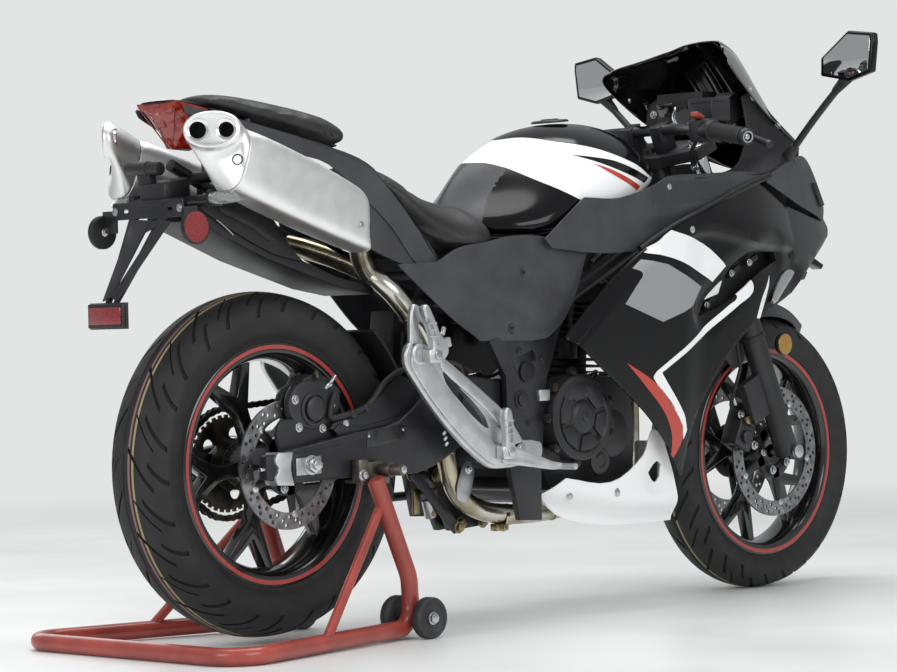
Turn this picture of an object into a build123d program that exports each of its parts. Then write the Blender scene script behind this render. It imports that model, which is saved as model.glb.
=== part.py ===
from build123d import *
import os
from math import atan2, cos, degrees, hypot, radians, sin, tan

# A sport bike held upright on a rear paddock stand.  Millimetres, X forwards, Y to the
# rider's left, Z up from the floor.  Outlines are given as (station, height) and places
# as (station, side, height).  A station is measured forwards from the frame datum, which
# lies PIVOT_STATION behind the swingarm pivot.  Right-hand pieces have a negative side.

# Wheels
REAR_TYRE_R = 314.0
REAR_TYRE_HALF = 69.0
FRONT_TYRE_R = 290.0
FRONT_TYRE_HALF = 55.0
RIM_R = 222.0
REAR_RIM_HALF = 57.0
FRONT_RIM_HALF = 44.0
REAR_LIFT = 11.0
SPOKE_COUNT = 5
REAR_SPOKE_ANGLE = 43.0
FRONT_SPOKE_ANGLE = 34.0
REAR_DISC_R = 117.0
REAR_DISC_SIDE = -80.0
FRONT_DISC_R = 138.0
FRONT_DISC_SIDE = 63.0
FRONT_CALIPER_ANGLE = 154.0
DISC_T = 4.5
SPROCKET_R = 90.0
CHAIN_SIDE = 86.0
CHAIN_FRONT = (604.0, 425.0)
CHAIN_FRONT_R = 38.0
CHAIN_W = 14.0
CHAIN_T = 12.0
REAR_AXLE_R = 10.0
FRONT_AXLE_R = 8.5

# Chassis
SWINGARM_LENGTH = 541.0
PIVOT_STATION = 541.0
PIVOT_Z = 425.0
ARM_IN = 106.0
ARM_OUT = 134.0
ARM_LOW_Z = 296.0
SHOCK_TOP = (430.0, 668.0)
SHOCK_BAR_R = 10.0
PILLION_POST_Z = 960.2
TRAY_POST_Z = 749.0
PLATE_IN = 138.0
PLATE_OUT = 150.0
HEAD_TUBE_R = 30.0
HEAD_TUBE_LENGTH = 96.0

# Steering
RAKE = 23.5
FORK_OFFSET = 30.0
FRONT_AXLE_STATION = 1410.0
FORK_SIDE = 97.0
STANCHION_R = 18.5
SLIDER_R = 25.0
STEM_R = 14.0
HEAD_Z = 852.0
CLAMP_T = 24.0

# Body
FAIRING_WALL = 3.0
PLATE_BAR_HALF = 95.0
PLATE_SLOT_SPACING = 120.0
PLATE_SLOT_LENGTH = 16.0
PLATE_SLOT_R = 3.2
TAIL_REACH = 352.0
MIRROR_SIDE = 414.0
INSTRUMENT_PLACE = (1224.0, 1004.0)

# Side stand and paddock stand
SIDE_STAND_LENGTH = 214.0
CASTER_R = 38.0
CASTER_STATION = 218.0
CASTER_SIDE = 172.0
STAND_TUBE_R = 16.0
STAND_HANDLE_STATION = -318.0
STAND_HANDLE_HALF = 300.0
STAND_BRACE_SHARE = 0.52
STAND_BRACE_R = 9.0

# Clearances
RUN_GAP = 0.05
SEAT_FIT = 0.3

REAR_AXLE_STATION = PIVOT_STATION - SWINGARM_LENGTH
REAR_AXLE_Z = REAR_TYRE_R + REAR_LIFT
FRONT_AXLE_Z = FRONT_TYRE_R
FRONT_REACH = FRONT_AXLE_STATION + FRONT_TYRE_R
MIDDLE_STATION = (FRONT_REACH - TAIL_REACH) / 2


# ---------------------------------------------------------------- shared helpers

def outline_solid(outline, side_a, side_b):
    """Slab between two sides with a straight-edged (station, height) outline."""
    low = min(side_a, side_b)
    high = max(side_a, side_b)
    face = Face(Wire.make_polygon([(x, low, z) for x, z in outline]))
    return extrude(face, amount=high - low, dir=(0, 1, 0))


def both_sides(shape):
    """The shape and its mirror image on the other side."""
    return shape + mirror(shape, about=Plane.XZ)


def bar(start, end, radius):
    """Round bar between two places."""
    start = Vector(*start)
    end = Vector(*end)
    plane = Plane(origin=start, z_dir=end - start)
    return Solid.make_cylinder(radius, (end - start).length, plane)


def bent_tube(places, bend_r, radius):
    """Round tube, solid inside, along straight runs joined by arcs."""
    path = FilletPolyline(*places, radius=bend_r)
    section = Plane(origin=path @ 0, z_dir=path % 0) * Circle(radius)
    return sweep(section, path=path)


def box_at(centre, size):
    """Box with the given middle and (length, width, height)."""
    return Pos(*centre) * Box(*size)


def cross_disc(centre, radius, width):
    """Disc whose axis runs across the bike."""
    x, y, z = centre
    return bar((x, y - width / 2, z), (x, y + width / 2, z), radius)


def ring_about_side_axis(profile):
    """Ring turned about the Y axis from a closed (radius, side) profile."""
    face = Face(Wire.make_polygon([(r, y, 0) for r, y in profile]))
    return revolve(face, axis=Axis.Y, revolution_arc=360)


def body_loft(sections):
    """Straight-sided loft through mirrored half sections (station, [(side, height), ...])."""
    wires = []
    for x, half in sections:
        left = [(x, y, z) for y, z in half]
        right = [(x, -y, z) for y, z in reversed(half) if y > 0]
        wires.append(Wire.make_polygon(left + right))
    return Solid.make_loft(wires, ruled=True)


def shell_half(sections, wall):
    """The half sections pulled in by a wall thickness, for the hollow of a shell."""
    inner = []
    for x, half in sections:
        inner.append((x, [(max(y - wall, 0.5), z) for y, z in half]))
    return inner


# ---------------------------------------------------------------- wheels

def tyre(radius, half, rim_half):
    """Closed road tyre with a round crown, seated between the rim flanges."""
    seat_r = RIM_R - 9 + SEAT_FIT
    bead = rim_half - 5 - SEAT_FIT
    depth = radius - RIM_R
    right = [
        (seat_r, bead),
        (RIM_R + 2, bead),
        (RIM_R + depth * 0.18, half * 0.90),
        (RIM_R + depth * 0.40, half * 0.995),
        (RIM_R + depth * 0.58, half),
        (RIM_R + depth * 0.76, half * 0.86),
        (RIM_R + depth * 0.90, half * 0.60),
        (RIM_R + depth * 0.98, half * 0.28),
        (radius, 0.0),
    ]
    left = [(r, -y) for r, y in reversed(right[:-1])]
    return ring_about_side_axis(right + left)


def rim_barrel(rim_half):
    """Drop-centre rim with two flanges."""
    right = [
        (RIM_R - 20, rim_half),
        (RIM_R, rim_half),
        (RIM_R, rim_half - 5),
        (RIM_R - 9, rim_half - 5),
        (RIM_R - 11, rim_half - 20),
        (RIM_R - 24, rim_half - 28),
    ]
    left = [(r, -y) for r, y in reversed(right)]
    inner = [
        (RIM_R - 26, -(rim_half - 8)),
        (RIM_R - 33, -(rim_half - 26)),
        (RIM_R - 33, rim_half - 26),
        (RIM_R - 26, rim_half - 8),
    ]
    return ring_about_side_axis(right + left + inner)


def y_spoke(angle, hub_r, spoke_half):
    """One spoke that forks into two branches before it meets the rim."""
    root = hub_r - 6
    fork = (hub_r + RIM_R - 30) * 0.52
    reach = RIM_R - 30
    branch_angle = radians(13)
    tip = (reach * cos(branch_angle), reach * sin(branch_angle))
    stem = Pos((root + fork) / 2 + 4, 0, 0) * Box(fork - root + 8, 2 * spoke_half, 24)
    branch_length = hypot(tip[0] - fork, tip[1]) + 6
    turn = degrees(atan2(tip[1], tip[0] - fork))
    branches = []
    for sign in (1, -1):
        arm = Pos(branch_length / 2, 0, 0) * Box(branch_length, 2 * spoke_half * 0.8, 17)
        branches.append(Pos(fork, 0, 0) * Rot(0, sign * turn, 0) * arm)
    return Rot(0, -angle, 0) * (stem + branches[0] + branches[1])


def cast_rim(rim_half, hub_r, hub_half, axle_r, spoke_half, first_angle):
    """Cast rim, spokes and hub with the axle's bore."""
    rim = rim_barrel(rim_half)
    rim += cross_disc((0, 0, 0), hub_r, 2 * hub_half)
    for index in range(SPOKE_COUNT):
        rim += y_spoke(first_angle + index * 360 / SPOKE_COUNT, hub_r, spoke_half)
    return rim - cross_disc((0, 0, 0), axle_r + RUN_GAP, 4 * hub_half)


def brake_disc(radius, side, bore_r):
    """Drilled brake disc with its carrier."""
    disc = cross_disc((0, side, 0), radius, DISC_T) - cross_disc((0, side, 0), bore_r, 2 * DISC_T)
    hole_circle_r = radius - 17
    for index in range(18):
        angle = radians(index * 20)
        place = (hole_circle_r * cos(angle), side, hole_circle_r * sin(angle))
        disc -= cross_disc(place, 4, 2 * DISC_T)
    return disc


def rear_hub_half():
    return abs(REAR_DISC_SIDE) - DISC_T / 2


def front_hub_half():
    return FRONT_DISC_SIDE - DISC_T / 2


def sprocket():
    """Chain wheel with square-cut teeth and lightening holes."""
    width = 6.0
    wheel = cross_disc((0, CHAIN_SIDE, 0), SPROCKET_R - 5, width)
    tooth_count = 36
    for index in range(tooth_count):
        tooth = Pos(SPROCKET_R - 5, CHAIN_SIDE, 0) * Box(10, width, 7)
        wheel += Rot(0, index * 360 / tooth_count, 0) * tooth
    wheel -= cross_disc((0, CHAIN_SIDE, 0), 30, 2 * width)
    for index in range(5):
        angle = radians(index * 72)
        wheel -= cross_disc((56 * cos(angle), CHAIN_SIDE, 56 * sin(angle)), 13, 2 * width)
    carrier = bar((0, rear_hub_half(), 0), (0, CHAIN_SIDE + width / 2, 0), 40)
    carrier -= cross_disc((0, CHAIN_SIDE, 0), REAR_AXLE_R + RUN_GAP, 60)
    return wheel + carrier


# ---------------------------------------------------------------- chassis

def head_location():
    """Frame of the steering head: X forwards across it, Z up along the steering axis."""
    rake = radians(RAKE)
    drop = HEAD_Z - FRONT_AXLE_Z
    station = FRONT_AXLE_STATION - drop * tan(rake) - FORK_OFFSET / cos(rake)
    plane = Plane(
        origin=(station, 0, HEAD_Z),
        x_dir=(cos(rake), 0, sin(rake)),
        z_dir=(-sin(rake), 0, cos(rake)),
    )
    return plane.location


HEAD = head_location()
HEAD_STATION = HEAD.position.X
AXLE_DROP = (HEAD_Z - FRONT_AXLE_Z) / cos(radians(RAKE)) - FORK_OFFSET * tan(radians(RAKE))


STAY_STATION = 1400.0
STAY_Z = 858.0
STAY_HALF = 126.4


def fairing_stay():
    """Stay that reaches forwards between the fork clamps to carry nose and instruments."""
    stay = bar((HEAD_STATION + 18, 0, STAY_Z), (STAY_STATION, 0, STAY_Z), 12)
    stay += bar((STAY_STATION, -STAY_HALF, STAY_Z), (STAY_STATION, STAY_HALF, STAY_Z), 9)
    dial_x, dial_z = INSTRUMENT_PLACE
    stay += bar((dial_x + 36, 0, STAY_Z), (dial_x + 36, 0, dial_z - 42), 9)
    return stay


def main_frame():
    """Head tube, two pairs of spars, pivot plates and their cross tubes."""
    tube_r = 17.0
    frame = HEAD * Cylinder(HEAD_TUBE_R, HEAD_TUBE_LENGTH)
    head_x = HEAD_STATION
    spars = []
    for side in (1, -1):
        upper = [
            (head_x - 4, side * 18, HEAD_Z + 4),
            (head_x - 130, side * 112, HEAD_Z - 88),
            (640, side * 122, 590),
        ]
        lower = [(head_x - 6, side * 18, HEAD_Z - 14), (985, side * 92, 690), (930, side * 92, 545)]
        spars.append(bent_tube(upper, 60, tube_r))
        spars.append(bent_tube(lower, 60, 14))
        frame += spars[-2]
        frame += spars[-1]
    plate = [
        (530, 196), (591, 193), (592, 289), (612, 461), (668, 590), (650, 632),
        (570, 632), (520, 560), (458, 537), (500, 470), (505, 300),
    ]
    frame += both_sides(outline_solid(plate, PLATE_IN, PLATE_OUT))
    for x, z, radius in ((640, 590, 16), (560, 262, 13), (575, 600, 13)):
        frame += bar((x, -PLATE_IN - 2, z), (x, PLATE_IN + 2, z), radius)
    cover_boss = cross_disc((575, 0, 600), 9, 400) - cross_disc((575, 0, 600), 20, 2 * PLATE_IN)
    frame += cover_boss & body_loft(cover_sections(-FAIRING_WALL - SEAT_FIT))
    frame += side_stand_pin()
    frame += fairing_stay()
    frame -= HEAD * Cylinder(STEM_R + RUN_GAP, 2 * HEAD_TUBE_LENGTH)
    return frame


RAIL_R = 11.0
RAIL_FRONT = (150.0, 80.0, 742.0)
RAIL_REAR = (-150.0, 50.0, 868.0)


def rail_place(share):
    """Place on the left rear rail, from its front end at 0 to its rear end at 1."""
    return tuple(a + (b - a) * share for a, b in zip(RAIL_FRONT, RAIL_REAR))


def subframe():
    """Rear rails that carry the seats and the tail."""
    rail = [(560, 118, 618), (430, 118, 668), RAIL_FRONT, RAIL_REAR]
    frame = both_sides(bent_tube(rail, 120, RAIL_R))
    for x, half, z in ((SHOCK_TOP[0], 118, SHOCK_TOP[1]), (200, 88, 729), (-100, 60, 845)):
        frame += bar((x, -half, z), (x, half, z), SHOCK_BAR_R)
    post_x, post_y, post_z = rail_place(0.7)
    post = bar((post_x, post_y, post_z), (post_x, post_y, PILLION_POST_Z), 7)
    frame += both_sides(post)
    cowl_z = 920.0
    cowl_half = 75.0
    frame += bar((post_x, -cowl_half, cowl_z), (post_x, cowl_half, cowl_z), 7)
    tray_x, tray_y, tray_z = rail_place(0.75)
    frame += both_sides(bar((tray_x, tray_y, tray_z), (tray_x, tray_y, TRAY_POST_Z), 6))
    return frame


def swingarm():
    """Two deep arms, a pivot tube and the gusset between them."""
    arm = [
        (REAR_AXLE_STATION - 98, 302), (REAR_AXLE_STATION - 98, 346), (REAR_AXLE_STATION - 19, 352),
        (120, 372), (235, 392), (330, 462), (410, 474), (500, 462), (572, 440), (572, 408),
        (500, 392), (440, 368), (331, 300), (200, ARM_LOW_Z), (60, ARM_LOW_Z), (REAR_AXLE_STATION - 8, 286),
    ]
    solid = both_sides(outline_solid(arm, ARM_IN, ARM_OUT))
    pivot_half = PLATE_IN - SEAT_FIT
    solid += bar((PIVOT_STATION, -pivot_half, PIVOT_Z), (PIVOT_STATION, pivot_half, PIVOT_Z), 24)
    solid += box_at((496, 0, PIVOT_Z), (70, 2 * ARM_IN + 4, 28))
    lug = [(500, 416), (530, 412), (500, 300), (478, 300)]
    solid += outline_solid(lug, -9, 9)
    bore = cross_disc((REAR_AXLE_STATION, 0, REAR_AXLE_Z), REAR_AXLE_R + RUN_GAP, 4 * ARM_OUT)
    return solid - bore


def rear_axle():
    """Axle, nuts and chain adjuster plates."""
    x = REAR_AXLE_STATION
    half = ARM_OUT + 22
    axle = bar((x, -half, REAR_AXLE_Z), (x, half, REAR_AXLE_Z), REAR_AXLE_R)
    plate = outline_solid([(x - 34, 308), (x + 30, 308), (x + 30, 342), (x - 34, 342)], ARM_OUT, ARM_OUT + 5)
    nut = bar((x, ARM_OUT + 5, REAR_AXLE_Z), (x, ARM_OUT + 17, REAR_AXLE_Z), 16)
    spacer_in = rear_hub_half() + 7
    spacer = bar((x, spacer_in, REAR_AXLE_Z), (x, ARM_IN - SEAT_FIT, REAR_AXLE_Z), 17)
    left_spacer = bar((x, CHAIN_SIDE + 8, REAR_AXLE_Z), (x, ARM_IN - SEAT_FIT, REAR_AXLE_Z), 17)
    return axle + both_sides(plate + nut) + mirror(spacer, about=Plane.XZ) + left_spacer


CHAIN_STEPS = 10
CHAIN_SEAT_R = CHAIN_FRONT_R * cos(radians(90 / CHAIN_STEPS)) - SEAT_FIT


def drive_chain():
    """Closed chain band about both sprockets."""
    inner_rear = SPROCKET_R + 5
    inner_front = CHAIN_FRONT_R
    front = CHAIN_FRONT
    rear = (REAR_AXLE_STATION, REAR_AXLE_Z)

    def loop(extra):
        span = Vector(front[0] - rear[0], front[1] - rear[1])
        base = atan2(span.Y, span.X)
        lean = (inner_rear - inner_front) / span.length
        points = []
        for centre, radius, start, stop in (
            (front, inner_front + extra, -90 + degrees(lean), 90 - degrees(lean)),
            (rear, inner_rear + extra, 90 - degrees(lean), 270 + degrees(lean)),
        ):
            for index in range(CHAIN_STEPS + 1):
                angle = base + radians(start + (stop - start) * index / CHAIN_STEPS)
                points.append((centre[0] + radius * cos(angle), centre[1] + radius * sin(angle)))
        return outline_solid(points, CHAIN_SIDE - CHAIN_W / 2, CHAIN_SIDE + CHAIN_W / 2)

    outer = loop(CHAIN_T)
    inner = loop(0)
    return outer - inner


# ---------------------------------------------------------------- engine and exhaust

CASE_TOP_Z = 462.0


def crankcase():
    """Engine block with the round clutch and generator covers."""
    block = [
        (640, 445), (628, 300), (660, 246), (800, 240), (900, 270), (905, 380), (884, CASE_TOP_Z),
        (740, CASE_TOP_Z),
    ]
    case = outline_solid(block, -112, 112)
    for low, high in (((575, 290), (660, 330)),):
        lug = [low, (high[0], low[1]), high, (low[0], high[1])]
        case += outline_solid(lug, SEAT_FIT - PLATE_IN, PLATE_IN - SEAT_FIT)
    case += cross_disc((695, -138, 387), 84, 56)
    case += cross_disc((795, -130, 352), 46, 48)
    case += cross_disc((790, 134, 372), 68, 46)
    chain_x, chain_z = CHAIN_FRONT
    reach = CHAIN_FRONT_R + CHAIN_T + 5
    case -= bar((chain_x, CHAIN_SIDE - CHAIN_W, chain_z), (chain_x, 300, chain_z), reach)
    case += outline_solid([(644, 445), (644, 400), (572, 400), (572, 450)], 40, CHAIN_SIDE - CHAIN_W)
    case += bar((chain_x, 60, chain_z), (chain_x, CHAIN_SIDE + 5, chain_z), CHAIN_SEAT_R)
    return case


def cylinder():
    """Finned barrel and head leaning slightly forwards."""
    lean = 3.0
    base = (822, 0, CASE_TOP_Z - 10)
    height = 12 * 13.0
    barrel = Cylinder(46, height, align=(Align.CENTER, Align.CENTER, Align.MIN))
    for index in range(12):
        fin = Pos(0, 0, 7 + index * 13.0) * Box(126, 132, 4.5)
        barrel += fin
    head = Pos(0, 0, height + 24) * Box(118, 122, 48)
    cover = Pos(0, 0, height + 58) * Box(96, 104, 22)
    tower = Pos(*base) * Rot(0, lean, 0) * (barrel + head + cover)
    return tower - box_at((base[0], 0, CASE_TOP_Z - 100 + SEAT_FIT), (400, 400, 200))


SILENCER_REAR = (-212.0, 131.0, 906.0)
SILENCER_FRONT = (120.0, 134.0, 742.0)
# Each row: share of the length from the rear, height, width
SILENCER_ROWS = ((0.0, 82, 66), (0.14, 116, 78), (0.36, 132, 80), (0.8, 118, 76), (1.0, 88, 60))
PIPE_R = 20.0


def exhaust_pipe():
    """Header, link pipe behind the engine and the branch that crosses to the left."""
    along = (Vector(*SILENCER_FRONT) - Vector(*SILENCER_REAR)).normalized()
    left_end = Vector(*SILENCER_FRONT) + along * SEAT_FIT
    right_end = Vector(left_end.X, -left_end.Y, left_end.Z)
    route = [
        (895, -30, 655), (965, -36, 640), (976, -45, 330), (930, -60, 214), (740, -70, 208),
        (614, -76, 199), (478, -82, 213), (404, -84, 268), (396, -82, 420), (320, -88, 560),
        (262, -106, 632), tuple(right_end + along * 86), tuple(right_end),
    ]
    pipe = bent_tube(route, 38, PIPE_R)
    cross = [(230, -114, 664), (192, -40, 682), (192, 70, 682), tuple(left_end + along * 66), tuple(left_end)]
    return pipe + bent_tube(cross, 34, PIPE_R - 1)


def silencer():
    """Left silencer: a tapered oval can with two outlets in its end cap and a hanger."""
    rear = Vector(*SILENCER_REAR)
    front = Vector(*SILENCER_FRONT)
    along = (front - rear).normalized()
    length = (front - rear).length
    wires = []
    for share, height, width in SILENCER_ROWS:
        plane = Plane(origin=rear + along * (length * share), x_dir=(0, 1, 0), z_dir=along)
        wires.append((plane * RectangleRounded(width, height, width * 0.42)).wire())
    can = Solid.make_loft(wires, ruled=True)
    for lift in (-19, 19):
        centre = rear + Vector(0, 0, 1) * lift
        can -= bar(centre - along * 20, centre + along * 40, 13)
    rail_x, rail_y, rail_z = rail_place(0.5)
    can += bar((rail_x, rail_y + RAIL_R + 2 * SEAT_FIT, rail_z), (rail_x, SILENCER_REAR[1] - 30, rail_z), 7)
    return can


# ---------------------------------------------------------------- body shells

# Each row: station, then half widths at FAIRING_LEVELS
FAIRING_LEVELS = (140, 200, 260, 340, 500, 700, 840, 905)
FAIRING_ROWS = (
    (560, 1.00),
    (1080, 1.00),
    (1210, 0.95),
    (1345, 0.76),
    (1500, 0.56),
    (1570, 0.40),
)
FAIRING_HALF = (150, 172, 194, 212, 226, 234, 232, 190)


def fairing_sections(grow=0.0):
    """Half sections of the fairing's outer surface."""
    sections = []
    for x, taper in FAIRING_ROWS:
        half = [(0, FAIRING_LEVELS[0])]
        half += [(w * taper + grow, z) for w, z in zip(FAIRING_HALF, FAIRING_LEVELS)]
        half.append((0, FAIRING_LEVELS[-1]))
        sections.append((x, half))
    return sections


def skin(sections, inner_sections, outline, holes=()):
    """Both sides of a thin curved panel cut from a body surface by its side outline."""
    cutter = outline_solid(outline, -400, 400)
    for hole in holes:
        cutter -= outline_solid(hole, -401, 401)
    return (body_loft(sections) & cutter) - body_loft(inner_sections)


FAIRING_OUTLINE = [
    (813, 705), (979, 765), (1225, 839), (1470, 838), (1540, 790), (1540, 768), (1469, 689), (1342, 629),
    (1192, 578), (1101, 518), (1026, 440), (963, 342), (953, 262), (883, 335), (820, 392), (695, 478),
    (606, 541), (688, 612), (762, 670),
]
FAIRING_VENT = [(996, 580), (1035, 618), (1141, 686), (1196, 711), (1179, 686), (1114, 629), (1059, 586)]
UPPER_OUTLINE = [
    (600, 741), (744, 781), (905, 842), (1035, 854), (1205, 856), (1420, 896), (1490, 892), (1500, 848),
    (1225, 846), (986, 793), (886, 733), (730, 710), (600, 724),
]
BELLY_OUTLINE = [
    (892, 356), (945, 292), (967, 231), (984, 170), (816, 170), (680, 190), (601, 240), (656, 270),
    (772, 257), (863, 306),
]
COVER_OUTLINE = [
    (378, 706), (449, 712), (518, 722), (596, 720), (720, 700), (677, 614), (615, 547), (567, 537),
    (437, 539), (374, 579), (300, 640), (250, 684), (329, 688),
]


def side_fairings():
    """Left and right side fairings with their vents."""
    outer = fairing_sections()
    return skin(outer, fairing_sections(-FAIRING_WALL), FAIRING_OUTLINE, [FAIRING_VENT])


UPPER_ROWS = (
    (560, 168), (760, 178), (905, 172), (1050, 196), (1225, 216), (1345, 170), (1500, 118), (1560, 80),
)


def upper_sections(grow=0.0):
    sections = []
    for x, half in UPPER_ROWS:
        section = [(0, 690), (half - 6 + grow, 690), (half + grow, 780), (half - 8 + grow, 905), (0, 905)]
        sections.append((x, section))
    return sections


def upper_panels():
    """Inner panels that run from the tank's flanks to the screen."""
    return skin(upper_sections(), upper_sections(-FAIRING_WALL), UPPER_OUTLINE)


# Each row: station, bottom height, half width
BELLY_ROWS = ((590, 226, 150), (700, 206, 160), (816, 186, 172), (1000, 178, 168))


def belly_sections(grow=0.0):
    sections = []
    for x, bottom, half in BELLY_ROWS:
        section = [
            (0, bottom - grow), (half * 0.62, bottom - grow), (half - 4 + grow, bottom + 36), (half + grow, 262),
            (half + 8 + grow, 380), (0, 380),
        ]
        sections.append((x, section))
    return sections


def belly_pan():
    """Pan under the engine, open above and behind."""
    inner = []
    for x, section in belly_sections(-FAIRING_WALL):
        grown = section[:-1] + [(section[-2][0], 381), (0, 381)]
        inner.append((x, grown))
    inner[0] = (589, inner[0][1])
    inner[-1] = (1001, inner[-1][1])
    pan = skin(belly_sections(), inner, BELLY_OUTLINE)
    pan -= box_at((710, 0, 230), (220, 216, 120))
    mount = cross_disc((840, 0, 300), 7, 600) & body_loft(belly_sections(-1))
    return pan + (mount - box_at((840, 0, 300), (40, 2 * (112 + SEAT_FIT), 40)))


COVER_ROWS = ((240, 128), (400, 154), (560, 168), (700, 170), (760, 168))


def cover_sections(grow=0.0):
    """Cross sections of the side covers, grown outwards by the given amount."""
    rows = []
    for x, half in COVER_ROWS:
        rows.append((x, [(0, 530), (half - 3 + grow, 530), (half + grow, 640), (half - 2 + grow, 725), (0, 725)]))
    return rows


def side_covers():
    """Flat covers under the seat on both sides."""
    return skin(cover_sections(), cover_sections(-FAIRING_WALL), COVER_OUTLINE)


TAIL_ROWS = (
    # station, bottom height, top height, half width low, half width top
    (-235, 925, 985, 60, 64),
    (-60, 890, 962, 80, 78),
    (150, 790, 912, 92, 86),
    (262, 640, 838, 122, 104),
    (390, 600, 740, 142, 122),
)
TAIL_OUTLINE = [
    (-215, 976), (-63, 950), (150, 904), (216, 866), (258, 803), (340, 712), (374, 632),
    (330, 660), (225, 700), (155, 735), (121, 870), (20, 890), (-100, 912), (-205, 950),
]


def tail_cowl():
    """Shell under the pillion seat with a leg down each side."""
    def sections(grow):
        rows = []
        for x, low, high, half_low, half_top in TAIL_ROWS:
            rows.append((x, [(0, low), (half_low + grow, low), (half_top + grow, high), (0, high)]))
        return rows
    lid = outline_solid([(-224, 974.6), (-146, 963.1), (-146, 967), (-224, 981)], -90, 90) & body_loft(sections(0))
    return skin(sections(0), sections(-FAIRING_WALL), TAIL_OUTLINE) + lid


def tail_lamp():
    """Wedge-shaped lamp between the silencers."""
    return body_loft((
        (-222, [(0, 950), (6, 951), (50, 966), (54, 974), (0, 974)]),
        (-190, [(0, 892), (12, 894), (54, 952), (56, 969.2), (0, 969.2)]),
        (-150, [(0, 890), (12, 892), (54, 940), (56, 963.3), (0, 963.3)]),
    ))


def rear_undertray():
    """Tray over the rear wheel."""
    tray = [
        (-196, 762), (-26, 696), (151, 644), (236, 630), (240, 645), (151, 662), (-20, 722), (-150, 778), (-192, 792),
    ]
    return outline_solid(tray, -66, 66)


def hugger():
    """Tyre hugger ahead of the rear wheel."""
    inner_r = REAR_TYRE_R + 12
    outer_r = inner_r + 6
    band = cross_disc((REAR_AXLE_STATION, -10, REAR_AXLE_Z), outer_r, 140)
    band -= cross_disc((REAR_AXLE_STATION, -10, REAR_AXLE_Z), inner_r, 200)
    x = REAR_AXLE_STATION
    wedge = [(x, REAR_AXLE_Z), (x + 420, 412), (x + 420, 560), (x + 300, 640)]
    guard = band & outline_solid(wedge, -76, 62)
    guard += bar((x + 312, -70, 440), (x + 312, SEAT_FIT - ARM_IN, 440), 8)
    guard += bar((x + 320, 50, 406), (x + 320, ARM_IN - SEAT_FIT, 406), 7)
    return guard


# ---------------------------------------------------------------- tank and seats

TANK_SECTIONS = (
    (398, [(0, 760), (60, 760), (92, 775), (98, 826), (62, 862), (0, 868)]),
    (470, [(0, 744), (140, 744), (170, 756), (172, 812), (128, 880), (0, 904)]),
    (600, [(0, 738), (150, 738), (176, 746), (180, 812), (118, 912), (0, 934)]),
    (720, [(0, 760), (150, 760), (176, 780), (178, 832), (126, 936), (0, 966)]),
    (840, [(0, 800), (140, 800), (166, 822), (164, 862), (120, 928), (0, 974)]),
    (935, [(0, 838), (120, 838), (140, 852), (134, 876), (92, 912), (0, 944)]),
)


def fuel_tank():
    """Closed tank with flared knee flanks."""
    return body_loft(TANK_SECTIONS)


def tank_envelope():
    """The tank grown by the fit that its neighbours keep."""
    grown = []
    for x, half in TANK_SECTIONS:
        middle = sum(z for _, z in half) / len(half)
        section = []
        for y, z in half:
            lift = SEAT_FIT if z > middle else -SEAT_FIT
            section.append((y + SEAT_FIT if y > 0 else 0, z + lift))
        grown.append((x, section))
    grown[0] = (grown[0][0] - SEAT_FIT, grown[0][1])
    return body_loft(grown)


def rider_seat():
    """Rider's seat pad, low in the middle and wide at the front."""
    pad = body_loft((
        (206, [(0, 846), (60, 846), (74, 856), (60, 864), (0, 868)]),
        (290, [(0, 766), (100, 766), (108, 786), (92, 816), (0, 828)]),
        (370, [(0, 716), (124, 716), (132, 740), (112, 780), (0, 796)]),
        (450, [(0, 716), (140, 716), (150, 730), (140, 770), (0, 786)]),
        (480, [(0, 716), (142, 716), (152, 724), (146, 736), (0, 738)]),
    ))
    return pad - tank_envelope()


def pillion_seat():
    """Pillion pad on the tail."""
    return body_loft((
        (-144, [(0, 974), (54, 974), (64, 978), (56, 984), (0, 988)]),
        (-100, [(0, 970), (62, 970), (78, 976), (66, 992), (0, 998)]),
        (68, [(0, 936), (84, 936), (100, 944), (88, 964), (0, 972)]),
        (150, [(0, 916), (84, 916), (98, 924), (86, 944), (0, 952)]),
    ))


# ---------------------------------------------------------------- front of the body

SCREEN_ROWS = (
    # station, height, half width
    (1190, 1146, 58), (1250, 1090, 128), (1330, 1000, 150), (1436, 880, 130),
)


def windscreen():
    """Domed screen, three millimetres thick."""
    wires = []
    for x, z, half in SCREEN_ROWS:
        points = []
        for share in (-1.0, -0.6, 0.0, 0.6, 1.0):
            crown = 42 * (1 - share * share)
            points.append((x + crown, half * share, z))
        back = [(px - 3, py, pz) for px, py, pz in reversed(points)]
        wires.append(Wire.make_polygon(points + back))
    seat = []
    for x, half in NOSE_SECTIONS:
        seat.append((x, [(y, z + SEAT_FIT if z > 800 else z) for y, z in half]))
    return Solid.make_loft(wires, ruled=True) - body_loft(seat)


NOSE_SECTIONS = (
    (1400, [(0, 720), (140, 720), (142, 800), (130, 890), (0, 902)]),
    (1500, [(0, 712), (102, 712), (106, 790), (92, 858), (0, 870)]),
    (1585, [(0, 730), (52, 730), (54, 780), (40, 820), (0, 828)]),
)


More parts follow.
